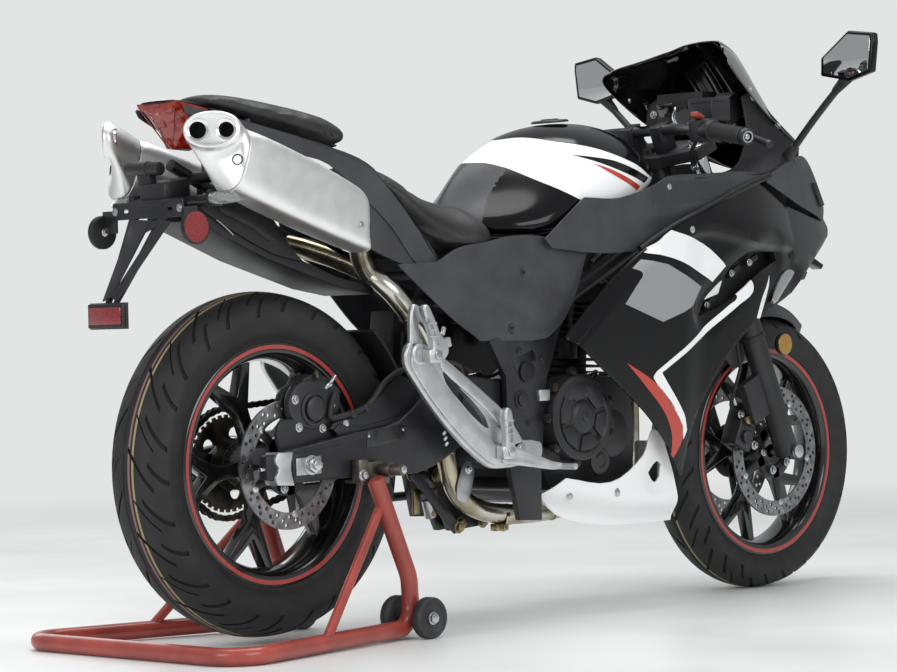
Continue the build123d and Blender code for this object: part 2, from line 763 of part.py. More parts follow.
def nose_cowl():
    """Nose that carries the headlamps, with bosses for the panels beside it."""
    outer = body_loft(NOSE_SECTIONS)
    inner = []
    for (x, half), shift in zip(NOSE_SECTIONS, (-1, 0, -4)):
        low = half[0][1]
        top = half[-1][1]
        pulled = []
        for y, z in half:
            height = min(max(z, low + 4), top - 4) if z in (low, top) else z - 4 * (z > 840)
            pulled.append((max(y - 4, 0), height))
        inner.append((x + shift, pulled))
    nose = outer - body_loft(inner)
    upper_boss = cross_disc((1436, 0, 846), 8, 400) & body_loft(upper_sections(-FAIRING_WALL - SEAT_FIT))
    lower_boss = cross_disc((1436, 0, 786), 8, 400) & body_loft(fairing_sections(-FAIRING_WALL - SEAT_FIT))
    bosses = upper_boss + lower_boss
    bosses -= body_loft([(x, [(max(y - 2, 0), z) for y, z in half]) for x, half in NOSE_SECTIONS])
    return nose + bosses


def instruments():
    """Instrument housing with a foot on the fairing stay."""
    x, z = INSTRUMENT_PLACE
    case = box_at((x, 0, z), (46, 124, 84))
    foot = outline_solid([(x + 20, z - 42), (x + 20, z - 20), (x + 48, z - 34), (x + 48, z - 41.7)], -30, 30)
    return case + foot


def mirror_piece():
    """Left mirror: foot, stalk and six-sided glass housing."""
    stalk = bent_tube([(1345, 168, 905), (1338, 215, 950), (1338, 345, 1075)], 30, 8)
    edge = 878.6 + SEAT_FIT
    foot = outline_solid([(1325, edge), (1365, edge + 7.5), (1365, 905), (1325, 900)], 156, 176)
    glass = [(318, 1100), (330, 1068), (368, 1062), (404, 1082), (MIRROR_SIDE, 1150), (372, 1156), (344, 1140)]
    face = Face(Wire.make_polygon([(1328, y, z) for y, z in glass]))
    housing = extrude(face, amount=22, dir=(1, 0, 0))
    return stalk + foot + housing


# ---------------------------------------------------------------- rider's controls

PEG_PIVOT = (428.0, 332.0)
PILLION_PIVOT = (240.0, 516.0)
HANGER_OUT = 200.0
HANGER_IN = 184.0


def footrest_hanger():
    """Left hanger: a cast arm from the pivot plate back to the pillion peg."""
    peg_x, peg_z = PEG_PIVOT
    lower = [
        (403, 429), (482, 351), (500, 318), (453, 306), (peg_x - 24, peg_z - 14), (300, 400), (206, 495),
        (200, 520), (214, 532),
    ]
    arm = outline_solid(lower, HANGER_IN, HANGER_OUT)
    arm += outline_solid([(214, 606), (232, 604), (290, 545), (318, 530), (300, 500), (206, 500)], HANGER_IN, HANGER_OUT)
    arm -= outline_solid([(300, 455), (380, 400), (410, 360), (395, 355)], HANGER_IN - 10, HANGER_OUT + 10)
    arm += outline_solid([(470, 345), (536, 345), (536, 312), (470, 310)], HANGER_IN, HANGER_OUT)
    arm += bar((522, PLATE_OUT + SEAT_FIT, 328), (522, HANGER_IN + 1, 328), 12)
    return arm


def footpeg(pivot, length, lean):
    """Folded peg standing on its pivot, outside the hanger on the left."""
    x, z = pivot
    side = HANGER_OUT + 12
    peg = outline_solid(
        [(x - 11, z), (x + 11, z), (x + 8 - lean, z + length), (x - 8 - lean, z + length)], side, side + 18
    )
    return peg + bar((x, HANGER_OUT + SEAT_FIT, z), (x, side + 20, z), 10)


def footpegs():
    """Rider and pillion pegs, folded up, on both sides."""
    return both_sides(footpeg(PEG_PIVOT, 78, 4)) + both_sides(footpeg(PILLION_PIVOT, 90, 26))


def foot_levers():
    """Brake pedal on the right and gear lever on the left."""
    x, z = PEG_PIVOT
    pedal = outline_solid(
        [(x - 12, z + 14), (x + 14, z + 14), (560, 308), (600, 301), (600, 292), (560, 292), (x - 2, z - 22)],
        HANGER_OUT + SEAT_FIT, HANGER_OUT + 9,
    )
    pedal += bar((590, HANGER_OUT + 5, 297), (590, HANGER_OUT + 42, 297), 6)
    pedal -= bar((x, 0, z), (x, 400, z), 10 + SEAT_FIT)
    return both_sides(pedal)


def shock_absorber():
    """Spring unit and its lower links behind the engine."""
    top = (SHOCK_TOP[0] - 2, 0, SHOCK_TOP[1] - 6)
    low = (425, 0, 292)
    unit = bar(top, low, 16)
    for index in range(9):
        share = 0.12 + index * 0.075
        centre = [a + (b - a) * share for a, b in zip(top, low)]
        unit += bar((centre[0], 0, centre[2] + 5), (centre[0], 0, centre[2] - 5), 30)
    unit += cross_disc((425, 0, 285), 14, 50)
    link = [(412, 296), (440, 292), (500, 298), (560, 182), (470, 176)]
    unit += outline_solid(link, 10, 24) + outline_solid(link, -24, -10)
    unit += cross_disc((548, 0, 190), 9, 64) + cross_disc((488, 0, 190), 9, 64)
    unit -= cross_disc((SHOCK_TOP[0], 0, SHOCK_TOP[1]), SHOCK_BAR_R + SEAT_FIT, 100)
    return unit


def rear_caliper():
    """Rear caliper on its bracket over the disc's rear edge."""
    x = REAR_AXLE_STATION
    slot = DISC_T / 2 + 5
    body = box_at((x + 62, REAR_DISC_SIDE, REAR_AXLE_Z + 98), (78, 42, 44))
    body -= cross_disc((x, REAR_DISC_SIDE, REAR_AXLE_Z), REAR_DISC_R + 5, 2 * slot)
    body -= cross_disc((x, REAR_DISC_SIDE + 30, REAR_AXLE_Z), RIM_R - 60, 30)
    stay = outline_solid([(x + 30, 420), (x + 96, 420), (x + 110, 372), (x + 70, 360)], -97, -ARM_IN + SEAT_FIT)
    return body + stay


# ---------------------------------------------------------------- tail pieces

def plate_bracket():
    """Number plate bracket: neck, slotted cross bar and a V down to the reflector."""
    neck = outline_solid([(-250, 800), (-185, 808), (-150, 796), (-150, 778.4), (-192, 792.4), (-250, 790)], -44, 44)
    bar_piece = box_at((-246, 0, 784), (4, 2 * PLATE_BAR_HALF, 30))
    for side in (1, -1):
        slot = Plane(origin=(-246, side * PLATE_SLOT_SPACING / 2, 784), z_dir=(1, 0, 0), x_dir=(0, 1, 0))
        bar_piece -= extrude(slot * SlotOverall(PLATE_SLOT_LENGTH, 2 * PLATE_SLOT_R), amount=6, both=True)
    legs = []
    for side in (1, -1):
        corners = [(-246, side * 52, 772), (-246, side * 28, 772), (-338, side * 2, 612), (-338, side * 16, 612)]
        face = Face(Wire.make_polygon(corners))
        legs.append(extrude(face, amount=4, dir=(1, 0, 0)))
    foot = box_at((-339, 0, 598), (8, 96, 46))
    ears = both_sides(box_at((-243, PLATE_BAR_HALF + 14, 766), (6, 36, 40)))
    return neck + bar_piece + legs[0] + legs[1] + foot + ears


def rear_reflectors():
    """Rectangular reflector under the plate and two round ones beside it."""
    low = box_at((-(TAIL_REACH + 343.3) / 2, 0, 598), (TAIL_REACH - 343.3, 86, 30))
    round_one = bar((-246.3, 122, 749), (-256, 122, 749), 30)
    return low + both_sides(round_one)


def rear_indicators():
    """Rear indicators and the plate lamp."""
    stalk = bar((-190, 44.3, 800), (-190, 128, 800), 8)
    lamp = bar((-190, 100, 800), (-190, 156, 803), 15)
    plate_lamp = bar((-222, -4, 846), (-222, 76, 850), 13)
    plate_lamp += bar((-215, 30, 805.8), (-217, 30, 846), 8)
    return both_sides(stalk + lamp) + plate_lamp


# ---------------------------------------------------------------- steering

def fork_tubes():
    """Two chromed stanchions."""
    top = 96.0
    tube = Pos(FORK_OFFSET, FORK_SIDE, (top - 330) / 2) * Cylinder(STANCHION_R, 330 + top)
    return both_sides(HEAD * tube)


def fork_sliders():
    """Lower fork legs with caliper lugs and axle clamps."""
    top = -290.0
    bottom = -AXLE_DROP - 30
    leg = Pos(FORK_OFFSET, FORK_SIDE, (top + bottom) / 2) * Cylinder(SLIDER_R, top - bottom)
    leg -= Pos(FORK_OFFSET, FORK_SIDE, top - 100) * Cylinder(STANCHION_R + RUN_GAP, 300)
    lug = Pos(FORK_OFFSET - 42, FORK_SIDE - 2, -AXLE_DROP + 118) * Box(70, 18.5, 90)
    leg += lug
    leg = HEAD * leg
    leg -= cross_disc((FRONT_AXLE_STATION, 0, FRONT_AXLE_Z), FRONT_AXLE_R + RUN_GAP, 400)
    return both_sides(leg)


def clamp_plate(level, back):
    """One fork clamp, square to the steering axis."""
    half = FORK_SIDE + STANCHION_R + 10
    corners = [
        (FORK_OFFSET + 32, half), (FORK_OFFSET + 32, -half), (FORK_OFFSET - 30, -half), (-back, -44), (-back, 44),
        (FORK_OFFSET - 30, half),
    ]
    plate = extrude(Face(Wire.make_polygon([(x, y, level) for x, y in corners])), amount=CLAMP_T, dir=(0, 0, 1))
    for side in (FORK_SIDE, -FORK_SIDE):
        plate -= Pos(FORK_OFFSET, side, level) * Cylinder(STANCHION_R + RUN_GAP, 4 * CLAMP_T)
    return plate


def triple_clamps():
    """Upper and lower fork clamps joined by the stem."""
    gap = 1.0
    upper_level = HEAD_TUBE_LENGTH / 2 + gap
    lower_level = -HEAD_TUBE_LENGTH / 2 - gap - CLAMP_T
    stem_length = upper_level - lower_level + CLAMP_T + 12
    stem = Pos(0, 0, lower_level + stem_length / 2) * Cylinder(STEM_R, stem_length)
    return HEAD * (clamp_plate(upper_level, 34) + clamp_plate(lower_level, 34) + stem)


BAR_LEVEL = 118.0


def handlebars():
    """Tubular handlebar on two risers."""
    centre = HEAD * Pos(6, 0, BAR_LEVEL)
    x = centre.position.X
    z = centre.position.Z
    side = [(x, 0, z), (x - 4, 96, z), (x - 38, 200, z - 10), (x - 78, 330, z - 32)]
    tube = both_sides(bent_tube(side, 70, 11))
    base = HEAD_TUBE_LENGTH / 2 + 1 + CLAMP_T
    riser = Pos(6, 40, (base + BAR_LEVEL) / 2 + 6) * Box(40, 26, BAR_LEVEL - base + 12)
    switch = bar((x - 37, 192, z - 9), (x - 46, 222, z - 14), 21)
    pot = box_at((x + 26, -150, z + 36), (58, 62, 44))
    pot += bar((x - 12, -140, z), (x + 26, -150, z + 20), 13)
    return tube + both_sides(HEAD * riser) + both_sides(switch) + pot


def grips():
    """Rubber grips over the bar's ends."""
    centre = HEAD * Pos(6, 0, BAR_LEVEL)
    x = centre.position.X
    z = centre.position.Z
    start = Vector(x - 38, 200, z - 10)
    end = Vector(x - 78, 330, z - 32)
    along = (end - start).normalized()
    near = start + along * 26
    far = end + along * 6
    grip = bar(tuple(near), tuple(far), 17) - bar(tuple(near - along * 20), tuple(end + along * 0.2), 11 + RUN_GAP)
    return both_sides(grip)


def brake_levers():
    """Brake and clutch levers ahead of the grips."""
    centre = HEAD * Pos(6, 0, BAR_LEVEL)
    x = centre.position.X
    z = centre.position.Z
    lever = bent_tube([(x - 4, 172, z - 10), (x + 16, 230, z - 16), (x - 14, 338, z - 36)], 40, 6)
    lever += bar((x - 24, 172, z - 8), (x + 2, 174, z - 10), 9)
    tube = bar((x - 4, 96, z), (x - 38, 200, z - 10), 11 + SEAT_FIT)
    return both_sides(lever - tube)


FENDER_ANGLES = (48, 75, 105, 135, 158)


def front_fender():
    """Curved guard over the front tyre with stays to the fork legs."""
    inner_r = FRONT_TYRE_R + 12
    inner_half = FRONT_TYRE_HALF + 7
    profile = [
        (inner_r - 34, inner_half), (inner_r - 8, inner_half - 8), (inner_r, inner_half - 26), (inner_r, 26 - inner_half),
        (inner_r - 8, 8 - inner_half), (inner_r - 34, -inner_half), (inner_r - 34, -inner_half - 3),
        (inner_r - 5, -inner_half + 6), (inner_r + 3, 24 - inner_half), (inner_r + 3, inner_half - 24),
        (inner_r - 5, inner_half - 6), (inner_r - 34, inner_half + 3),
    ]
    ring = Pos(FRONT_AXLE_STATION, 0, FRONT_AXLE_Z) * ring_about_side_axis(profile)
    x = FRONT_AXLE_STATION
    wedge = [(x, FRONT_AXLE_Z)]
    for angle in FENDER_ANGLES:
        far = 1.5 * FRONT_TYRE_R
        wedge.append((x + far * cos(radians(angle)), FRONT_AXLE_Z + far * sin(radians(angle))))
    guard = ring & outline_solid(wedge, -100, 100)
    leg_x = x - (560 - FRONT_AXLE_Z) * tan(radians(RAKE))
    plate = [(leg_x - 34, 520), (leg_x + 40, 520), (leg_x + 52, 586), (leg_x - 20, 600)]
    stay = outline_solid(plate, inner_half + 1, FORK_SIDE - SLIDER_R - SEAT_FIT)
    return guard + both_sides(stay)


def front_calipers():
    """Caliper behind each fork leg."""
    slot = DISC_T / 2 + 5
    reach = FRONT_DISC_R - 14
    angle = radians(FRONT_CALIPER_ANGLE)
    x = FRONT_AXLE_STATION + reach * cos(angle)
    z = FRONT_AXLE_Z + reach * sin(angle)
    body = Pos(x, FRONT_DISC_SIDE, z) * Rot(0, 90 - FRONT_CALIPER_ANGLE, 0) * Box(94, 44, 50)
    body -= cross_disc((FRONT_AXLE_STATION, FRONT_DISC_SIDE, FRONT_AXLE_Z), FRONT_DISC_R + 5, 2 * slot)
    return both_sides(body)


HOSE_R = 3.5


def brake_hoses():
    """Front brake hoses from the calipers up to the lower fork clamp."""
    angle = radians(FRONT_CALIPER_ANGLE)
    out = Vector(cos(angle), 0, sin(angle))
    face = FRONT_DISC_R - 14 + 25 + SEAT_FIT
    start = Vector(FRONT_AXLE_STATION, FRONT_DISC_SIDE + 12, FRONT_AXLE_Z) + out * face + Vector(8.8, 0, 18)
    level = -HEAD_TUBE_LENGTH / 2 - 1 - CLAMP_T - SEAT_FIT
    end = (HEAD * Pos(8, 42, level)).position
    below = (HEAD * Pos(8, 42, level - 42)).position
    climb = end.Z - FRONT_AXLE_Z
    leg = FRONT_AXLE_STATION - 0.6 * climb * tan(radians(RAKE))
    low = (start.X - 24, FORK_SIDE + 2, FRONT_AXLE_Z + 0.36 * climb)
    high = (leg - 42, FORK_SIDE + 2, FRONT_AXLE_Z + 0.6 * climb)
    route = [
        tuple(start), tuple(start + out * 36), low, high,
        tuple(below + Vector(8, 22, -60)), tuple(below), tuple(end),
    ]
    return both_sides(bent_tube(route, [14, 30, 60, 60, 24], HOSE_R))


def front_axle():
    """Front axle with its heads and hub spacers."""
    x = FRONT_AXLE_STATION
    half = FORK_SIDE + SLIDER_R
    axle = bar((x, -half - 4, FRONT_AXLE_Z), (x, half + 4, FRONT_AXLE_Z), FRONT_AXLE_R)
    spacer = bar((x, front_hub_half() + DISC_T + 6, FRONT_AXLE_Z), (x, FORK_SIDE - SLIDER_R - 0.3, FRONT_AXLE_Z), 13)
    head = bar((x, half + 0.3, FRONT_AXLE_Z), (x, half + 10, FRONT_AXLE_Z), 14)
    return axle + both_sides(head)


# ---------------------------------------------------------------- stands

SIDE_STAND_PIVOT = (566.0, 168.0, 236.0)
SIDE_STAND_AXIS = Vector(0.0, -0.934, -0.356)
SIDE_STAND_PIN_R = 6.0


def side_stand_pin():
    """Pivot pin on the left pivot plate."""
    pivot = Vector(*SIDE_STAND_PIVOT)
    return bar(tuple(pivot + SIDE_STAND_AXIS * 22), tuple(pivot - SIDE_STAND_AXIS * 10), SIDE_STAND_PIN_R)


def side_stand():
    """Side stand folded back along the frame."""
    x, y, z = SIDE_STAND_PIVOT
    pivot = Vector(x, y, z)
    eye = bar(tuple(pivot + SIDE_STAND_AXIS * 8), tuple(pivot - SIDE_STAND_AXIS * 8), 15)
    leg = bar((x - 12, y, z), (x - SIDE_STAND_LENGTH, y, z - 4), 9)
    foot = box_at((x - SIDE_STAND_LENGTH, y + 3, z - 4), (12, 40, 34))
    bore = bar(tuple(pivot + SIDE_STAND_AXIS * 20), tuple(pivot - SIDE_STAND_AXIS * 20), SIDE_STAND_PIN_R + RUN_GAP)
    return eye + leg + foot - bore


def caster_pair():
    """Twin rubber wheels on one axle, for the left rail."""
    width = 22.0
    gap = 41 - width / 2
    wheels = cross_disc((CASTER_STATION, CASTER_SIDE + gap + width / 2, CASTER_R), CASTER_R, width)
    wheels += cross_disc((CASTER_STATION, CASTER_SIDE - gap - width / 2, CASTER_R), CASTER_R, width)
    wheels += cross_disc((CASTER_STATION, CASTER_SIDE, CASTER_R), 7, 2 * gap + 2 * width + 12)
    return wheels


CRADLE_STATION = 150.0
CRADLE_Z = 300.0
CRADLE_POST = 16.0
CRADLE_SIDE = ARM_OUT + CRADLE_POST + STAND_TUBE_R + SEAT_FIT


def paddock_stand():
    """Bent tube stand: handle, rails, uprights and braces."""
    r = STAND_TUBE_R
    rail = [
        (STAND_HANDLE_STATION, 0, r),
        (STAND_HANDLE_STATION, STAND_HANDLE_HALF, r),
        (CASTER_STATION - 4, CASTER_SIDE, r + 4),
        (CASTER_STATION - 10, CASTER_SIDE, 112),
        (CRADLE_STATION - 16, CRADLE_SIDE, CRADLE_Z - 6),
    ]
    side = bent_tube(rail, [60, 44, 70], r)
    corner = Vector(*rail[1])
    low_end = corner + (Vector(*rail[2]) - corner) * (1 - STAND_BRACE_SHARE)
    brace = bar((CRADLE_STATION - 8, CRADLE_SIDE, 238), tuple(low_end + Vector(0, 0, 4)), STAND_BRACE_R)
    boss = cross_disc((CASTER_STATION, CASTER_SIDE, CASTER_R), 13, 2 * r + 6)
    half = side + brace + boss
    half -= cross_disc((CASTER_STATION, CASTER_SIDE, CASTER_R), 7 + RUN_GAP, 100)
    return both_sides(half)


def stand_cradles():
    """L brackets under the swingarm with their clamp rods."""
    shelf = box_at((CRADLE_STATION, ARM_OUT - 6, ARM_LOW_Z - 3 - SEAT_FIT), (60, 44, 6))
    post = box_at((CRADLE_STATION + 4, ARM_OUT + CRADLE_POST - 3, ARM_LOW_Z), (60, 6, 54))
    return both_sides(shelf + post)


def shift_to_origin(shape):
    return Pos(-MIDDLE_STATION, 0, 0) * shape


def wheel_at(shape, station, height):
    return Pos(station, 0, height) * shape


REAR = (REAR_AXLE_STATION, REAR_AXLE_Z)
FRONT = (FRONT_AXLE_STATION, FRONT_AXLE_Z)

PIECES = {
    "rear_tyre": wheel_at(tyre(REAR_TYRE_R, REAR_TYRE_HALF, REAR_RIM_HALF), *REAR),
    "rear_rim": wheel_at(
        cast_rim(REAR_RIM_HALF, 34, rear_hub_half() - SEAT_FIT, REAR_AXLE_R, 14, REAR_SPOKE_ANGLE), *REAR
    ),
    "rear_disc": wheel_at(brake_disc(REAR_DISC_R, REAR_DISC_SIDE, REAR_AXLE_R + 8), *REAR),
    "rear_sprocket": wheel_at(sprocket(), *REAR),
    "front_tyre": wheel_at(tyre(FRONT_TYRE_R, FRONT_TYRE_HALF, FRONT_RIM_HALF), *FRONT),
    "front_rim": wheel_at(
        cast_rim(FRONT_RIM_HALF, 30, front_hub_half() - SEAT_FIT, FRONT_AXLE_R, 12, FRONT_SPOKE_ANGLE), *FRONT
    ),
    "front_discs": wheel_at(both_sides(brake_disc(FRONT_DISC_R, FRONT_DISC_SIDE, FRONT_AXLE_R + 6)), *FRONT),
    "main_frame": main_frame(),
    "subframe": subframe(),
    "swingarm": swingarm(),
    "rear_axle": rear_axle(),
    "drive_chain": drive_chain(),
    "crankcase": crankcase(),
    "cylinder": cylinder(),
    "exhaust_pipe": exhaust_pipe(),
    "silencers": both_sides(silencer()),
    "side_fairings": side_fairings(),
    "upper_panels": upper_panels(),
    "belly_pan": belly_pan(),
    "side_covers": side_covers(),
    "tail_cowl": tail_cowl(),
    "tail_lamp": tail_lamp(),
    "rear_undertray": rear_undertray(),
    "hugger": hugger(),
    "fuel_tank": fuel_tank(),
    "rider_seat": rider_seat(),
    "pillion_seat": pillion_seat(),
    "windscreen": windscreen(),
    "nose_cowl": nose_cowl(),
    "instruments": instruments(),
    "mirrors": both_sides(mirror_piece()),
    "footrest_hangers": both_sides(footrest_hanger()),
    "footpegs": footpegs(),
    "foot_levers": foot_levers(),
    "shock_absorber": shock_absorber(),
    "rear_caliper": rear_caliper(),
    "plate_bracket": plate_bracket(),
    "rear_reflectors": rear_reflectors(),
    "rear_indicators": rear_indicators(),
    "fork_tubes": fork_tubes(),
    "fork_sliders": fork_sliders(),
    "triple_clamps": triple_clamps(),
    "handlebars": handlebars(),
    "grips": grips(),
    "hand_levers": brake_levers(),
    "front_fender": front_fender(),
    "front_calipers": front_calipers(),
    "front_axle": front_axle(),
    "brake_hoses": brake_hoses(),
    "side_stand": side_stand(),
    "casters_left": caster_pair(),
    "casters_right": mirror(caster_pair(), about=Plane.XZ),
    "paddock_stand": paddock_stand(),
    "stand_cradles": stand_cradles(),
}

os.makedirs("parts", exist_ok=True)
for name, piece in PIECES.items():
    export_step(shift_to_origin(piece), "parts/" + name + ".step")
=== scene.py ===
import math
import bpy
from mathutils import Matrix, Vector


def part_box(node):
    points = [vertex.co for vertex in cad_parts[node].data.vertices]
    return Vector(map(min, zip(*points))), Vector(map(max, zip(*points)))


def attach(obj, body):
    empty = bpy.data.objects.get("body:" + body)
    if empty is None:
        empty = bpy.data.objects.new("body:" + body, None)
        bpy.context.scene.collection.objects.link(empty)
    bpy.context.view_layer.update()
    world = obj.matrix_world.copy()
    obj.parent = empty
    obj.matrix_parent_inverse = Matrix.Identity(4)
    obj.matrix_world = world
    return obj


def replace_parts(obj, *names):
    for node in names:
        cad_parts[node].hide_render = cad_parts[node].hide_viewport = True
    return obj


bl_info = {
    "name": "Sport bike on a paddock stand",
    "version": (1, 0, 0),
    "blender": (4, 5, 0),
    "location": "View3D > Sidebar > Sport Bike",
    "description": "Dresses the packed sport bike with its body panels, wheels, cockpit and finishes",
    "category": "Object",
}

import bmesh
import bpy
from mathutils import Matrix, Vector

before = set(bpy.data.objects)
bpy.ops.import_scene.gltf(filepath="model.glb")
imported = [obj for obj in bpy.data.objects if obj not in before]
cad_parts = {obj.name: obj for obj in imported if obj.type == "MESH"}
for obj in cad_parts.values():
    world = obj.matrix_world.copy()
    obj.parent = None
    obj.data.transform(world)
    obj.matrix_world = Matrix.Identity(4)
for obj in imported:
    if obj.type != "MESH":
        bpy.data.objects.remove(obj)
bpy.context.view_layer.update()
MM = 0.001


# ---------------------------------------------------------------- places

def middle_of(node):
    """Middle of a CAD node's box."""
    low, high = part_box(node)
    return (low + high) / 2


REAR_WHEEL = middle_of("rear_tyre")
FRONT_WHEEL = middle_of("front_tyre")
CASTER = middle_of("casters_right")


def at(station, side, height):
    """Place from millimetres: forwards of the rear axle, to the rider's left, above the floor."""
    return Vector((REAR_WHEEL.x + station * MM, side * MM, height * MM))


def mm(x, y, z):
    """Vector from millimetres."""
    return Vector((x * MM, y * MM, z * MM))


def spots(points):
    """Places from (station, side, height) points."""
    return [at(*p) for p in points]


# ---------------------------------------------------------------- colours and materials

def linear(code):
    """Linear colour from an sRGB hex value."""
    parts = []
    for start in (1, 3, 5):
        value = int(code[start:start + 2], 16) / 255
        parts.append(value / 12.92 if value <= 0.04045 else ((value + 0.055) / 1.055) ** 2.4)
    return (*parts, 1.0)


def add(tree, kind, values=None, links=None, **settings):
    """Adds a node with its settings, socket values and links."""
    made = tree.nodes.new(kind)
    for key, value in settings.items():
        setattr(made, key, value)
    for key, value in (values or {}).items():
        made.inputs[key].default_value = value
    for key, source in (links or {}).items():
        tree.links.new(source, made.inputs[key])
    return made


def surface(name, colour, roughness, metallic=0.0, coat=0.0, ior=1.5):
    """A material with one principled shader; returns it with its tree, shader and coordinates."""
    made = bpy.data.materials.new(name)
    made.use_nodes = True
    tree = made.node_tree
    tree.nodes.clear()
    shader = add(tree, "ShaderNodeBsdfPrincipled", {
        "Base Color": linear(colour), "Roughness": roughness, "Metallic": metallic,
        "Coat Weight": coat, "Coat Roughness": 0.04, "IOR": ior,
    })
    add(tree, "ShaderNodeOutputMaterial", links={"Surface": shader.outputs[0]})
    made.diffuse_color = linear(colour)
    place = add(tree, "ShaderNodeTexCoord").outputs["Object"]
    return made, tree, shader, place


def mottle(tree, shader, place, low, high, size_mm, detail=4.0, spread=(0.35, 0.65)):
    """Drives the base colour between two hex colours by noise of a real size."""
    cloud = add(tree, "ShaderNodeTexNoise", {"Scale": 1000 / size_mm, "Detail": detail}, {"Vector": place})
    ramp = add(tree, "ShaderNodeValToRGB", links={"Fac": cloud.outputs[0]})
    ramp.color_ramp.elements[0].position = spread[0]
    ramp.color_ramp.elements[1].position = spread[1]
    ramp.color_ramp.elements[0].color = linear(low)
    ramp.color_ramp.elements[1].color = linear(high)
    tree.links.new(ramp.outputs[0], shader.inputs["Base Color"])
    return ramp


def relief(tree, shader, height, depth_mm, strength=0.5):
    """Bump of a real depth from a height output."""
    bump = add(tree, "ShaderNodeBump", {"Strength": strength, "Distance": depth_mm * MM}, {"Height": height})
    tree.links.new(bump.outputs[0], shader.inputs["Normal"])


def rough_spots(tree, shader, place, low, high, size_mm):
    """Roughness that varies between two values over patches of a real size."""
    cloud = add(tree, "ShaderNodeTexNoise", {"Scale": 1000 / size_mm, "Detail": 3.0}, {"Vector": place})
    span = add(tree, "ShaderNodeMapRange", {"To Min": low, "To Max": high}, {"Value": cloud.outputs[0]})
    tree.links.new(span.outputs[0], shader.inputs["Roughness"])


MATERIALS = {}


def painted_plastic(name, colour, roughness=0.22, coat=0.8, ior=1.5):
    """Sprayed and lacquered ABS: deep colour under a clear coat with the faintest orange peel."""
    made, tree, shader, place = surface(name, colour, roughness, coat=coat, ior=ior)
    peel = add(tree, "ShaderNodeTexNoise", {"Scale": 1000 / 9, "Detail": 1.0}, {"Vector": place})
    relief(tree, shader, peel.outputs[0], 0.02, 0.25)
    rough_spots(tree, shader, place, roughness * 0.9, roughness * 1.25, 90)
    return made


def moulded_plastic(name, low, high, roughness, grain_mm=1.1, depth_mm=0.05):
    """Moulded polypropylene or ABS with a spark-eroded grain that breaks up its sheen."""
    made, tree, shader, place = surface(name, high, roughness)
    mottle(tree, shader, place, low, high, 60)
    grain = add(tree, "ShaderNodeTexNoise", {"Scale": 1000 / grain_mm, "Detail": 2.0}, {"Vector": place})
    relief(tree, shader, grain.outputs[0], depth_mm, 0.6)
    rough_spots(tree, shader, place, roughness * 0.85, roughness * 1.15, 45)
    return made


def painted_metal(name, low, high, roughness, coat=0.0):
    """Powder-coated steel or alloy: even colour, slight orange peel, thin dust in places."""
    made, tree, shader, place = surface(name, high, roughness, coat=coat)
    mottle(tree, shader, place, low, high, 70)
    peel = add(tree, "ShaderNodeTexNoise", {"Scale": 1000 / 4, "Detail": 2.0}, {"Vector": place})
    relief(tree, shader, peel.outputs[0], 0.05, 0.35)
    return made


def bare_metal(name, low, high, roughness, grain_mm=1.5, depth_mm=0.03):
    """Bare cast, blasted or plated metal with the tone variation of its skin."""
    made, tree, shader, place = surface(name, high, roughness, metallic=1.0)
    mottle(tree, shader, place, low, high, 35)
    grain = add(tree, "ShaderNodeTexNoise", {"Scale": 1000 / grain_mm, "Detail": 3.0}, {"Vector": place})
    relief(tree, shader, grain.outputs[0], depth_mm, 0.5)
    rough_spots(tree, shader, place, roughness * 0.8, roughness * 1.2, 25)
    return made


def woven_film():
    """Carbon-look printed film: a weave of 4 mm squares with bands across it."""
    made, tree, shader, place = surface("carbon_print_film", "#3B3D41", 0.4)
    flat = add(
        tree, "ShaderNodeMapping", {"Rotation": (math.radians(90), 0, math.radians(12))}, {"Vector": place}
    )
    weave = add(tree, "ShaderNodeTexChecker", {
        "Scale": 1000 / 4.0, "Color1": linear("#3E4044"), "Color2": linear("#2E3033"),
    }, {"Vector": flat.outputs[0]})
    tows = add(
        tree, "ShaderNodeTexWave", {"Scale": 1000 / 14, "Distortion": 0.0}, {"Vector": flat.outputs[0]}
    )
    blend = add(tree, "ShaderNodeMix", {"Factor": 0.35}, data_type="RGBA", blend_type="MULTIPLY")
    tree.links.new(weave.outputs[0], blend.inputs[6])
    tree.links.new(tows.outputs[0], blend.inputs[7])
    tree.links.new(blend.outputs[2], shader.inputs["Base Color"])
    relief(tree, shader, weave.outputs[1], 0.04, 0.4)
    return made


def straw_stainless():
    """Stainless exhaust tube: bright, tinted straw to bronze by heat in soft bands."""
    made, tree, shader, place = surface("heat_tinted_stainless", "#B9AE93", 0.24, metallic=1.0)
    ramp = mottle(tree, shader, place, "#8C8672", "#D2CFC6", 85, 3.0, (0.3, 0.62))
    middle = ramp.color_ramp.elements.new(0.45)
    middle.color = linear("#B1A98F")
    draw = add(tree, "ShaderNodeTexNoise", {"Scale": 1000 / 3, "Detail": 3.0}, {"Vector": place})
    relief(tree, shader, draw.outputs[0], 0.03, 0.25)
    rough_spots(tree, shader, place, 0.16, 0.34, 30)
    return made


def ground_disc_steel():
    """Ground stainless disc: mottled grey with fine marks 0.8 mm apart."""
    made, tree, shader, place = surface("ground_disc_steel", "#8F8F91", 0.34, metallic=1.0)
    mottle(tree, shader, place, "#7B7B7D", "#A5A5A6", 14)
    marks = add(tree, "ShaderNodeTexNoise", {"Scale": 1000 / 0.8, "Detail": 1.0}, {"Vector": place})
    relief(tree, shader, marks.outputs[0], 0.03, 0.4)
    return made


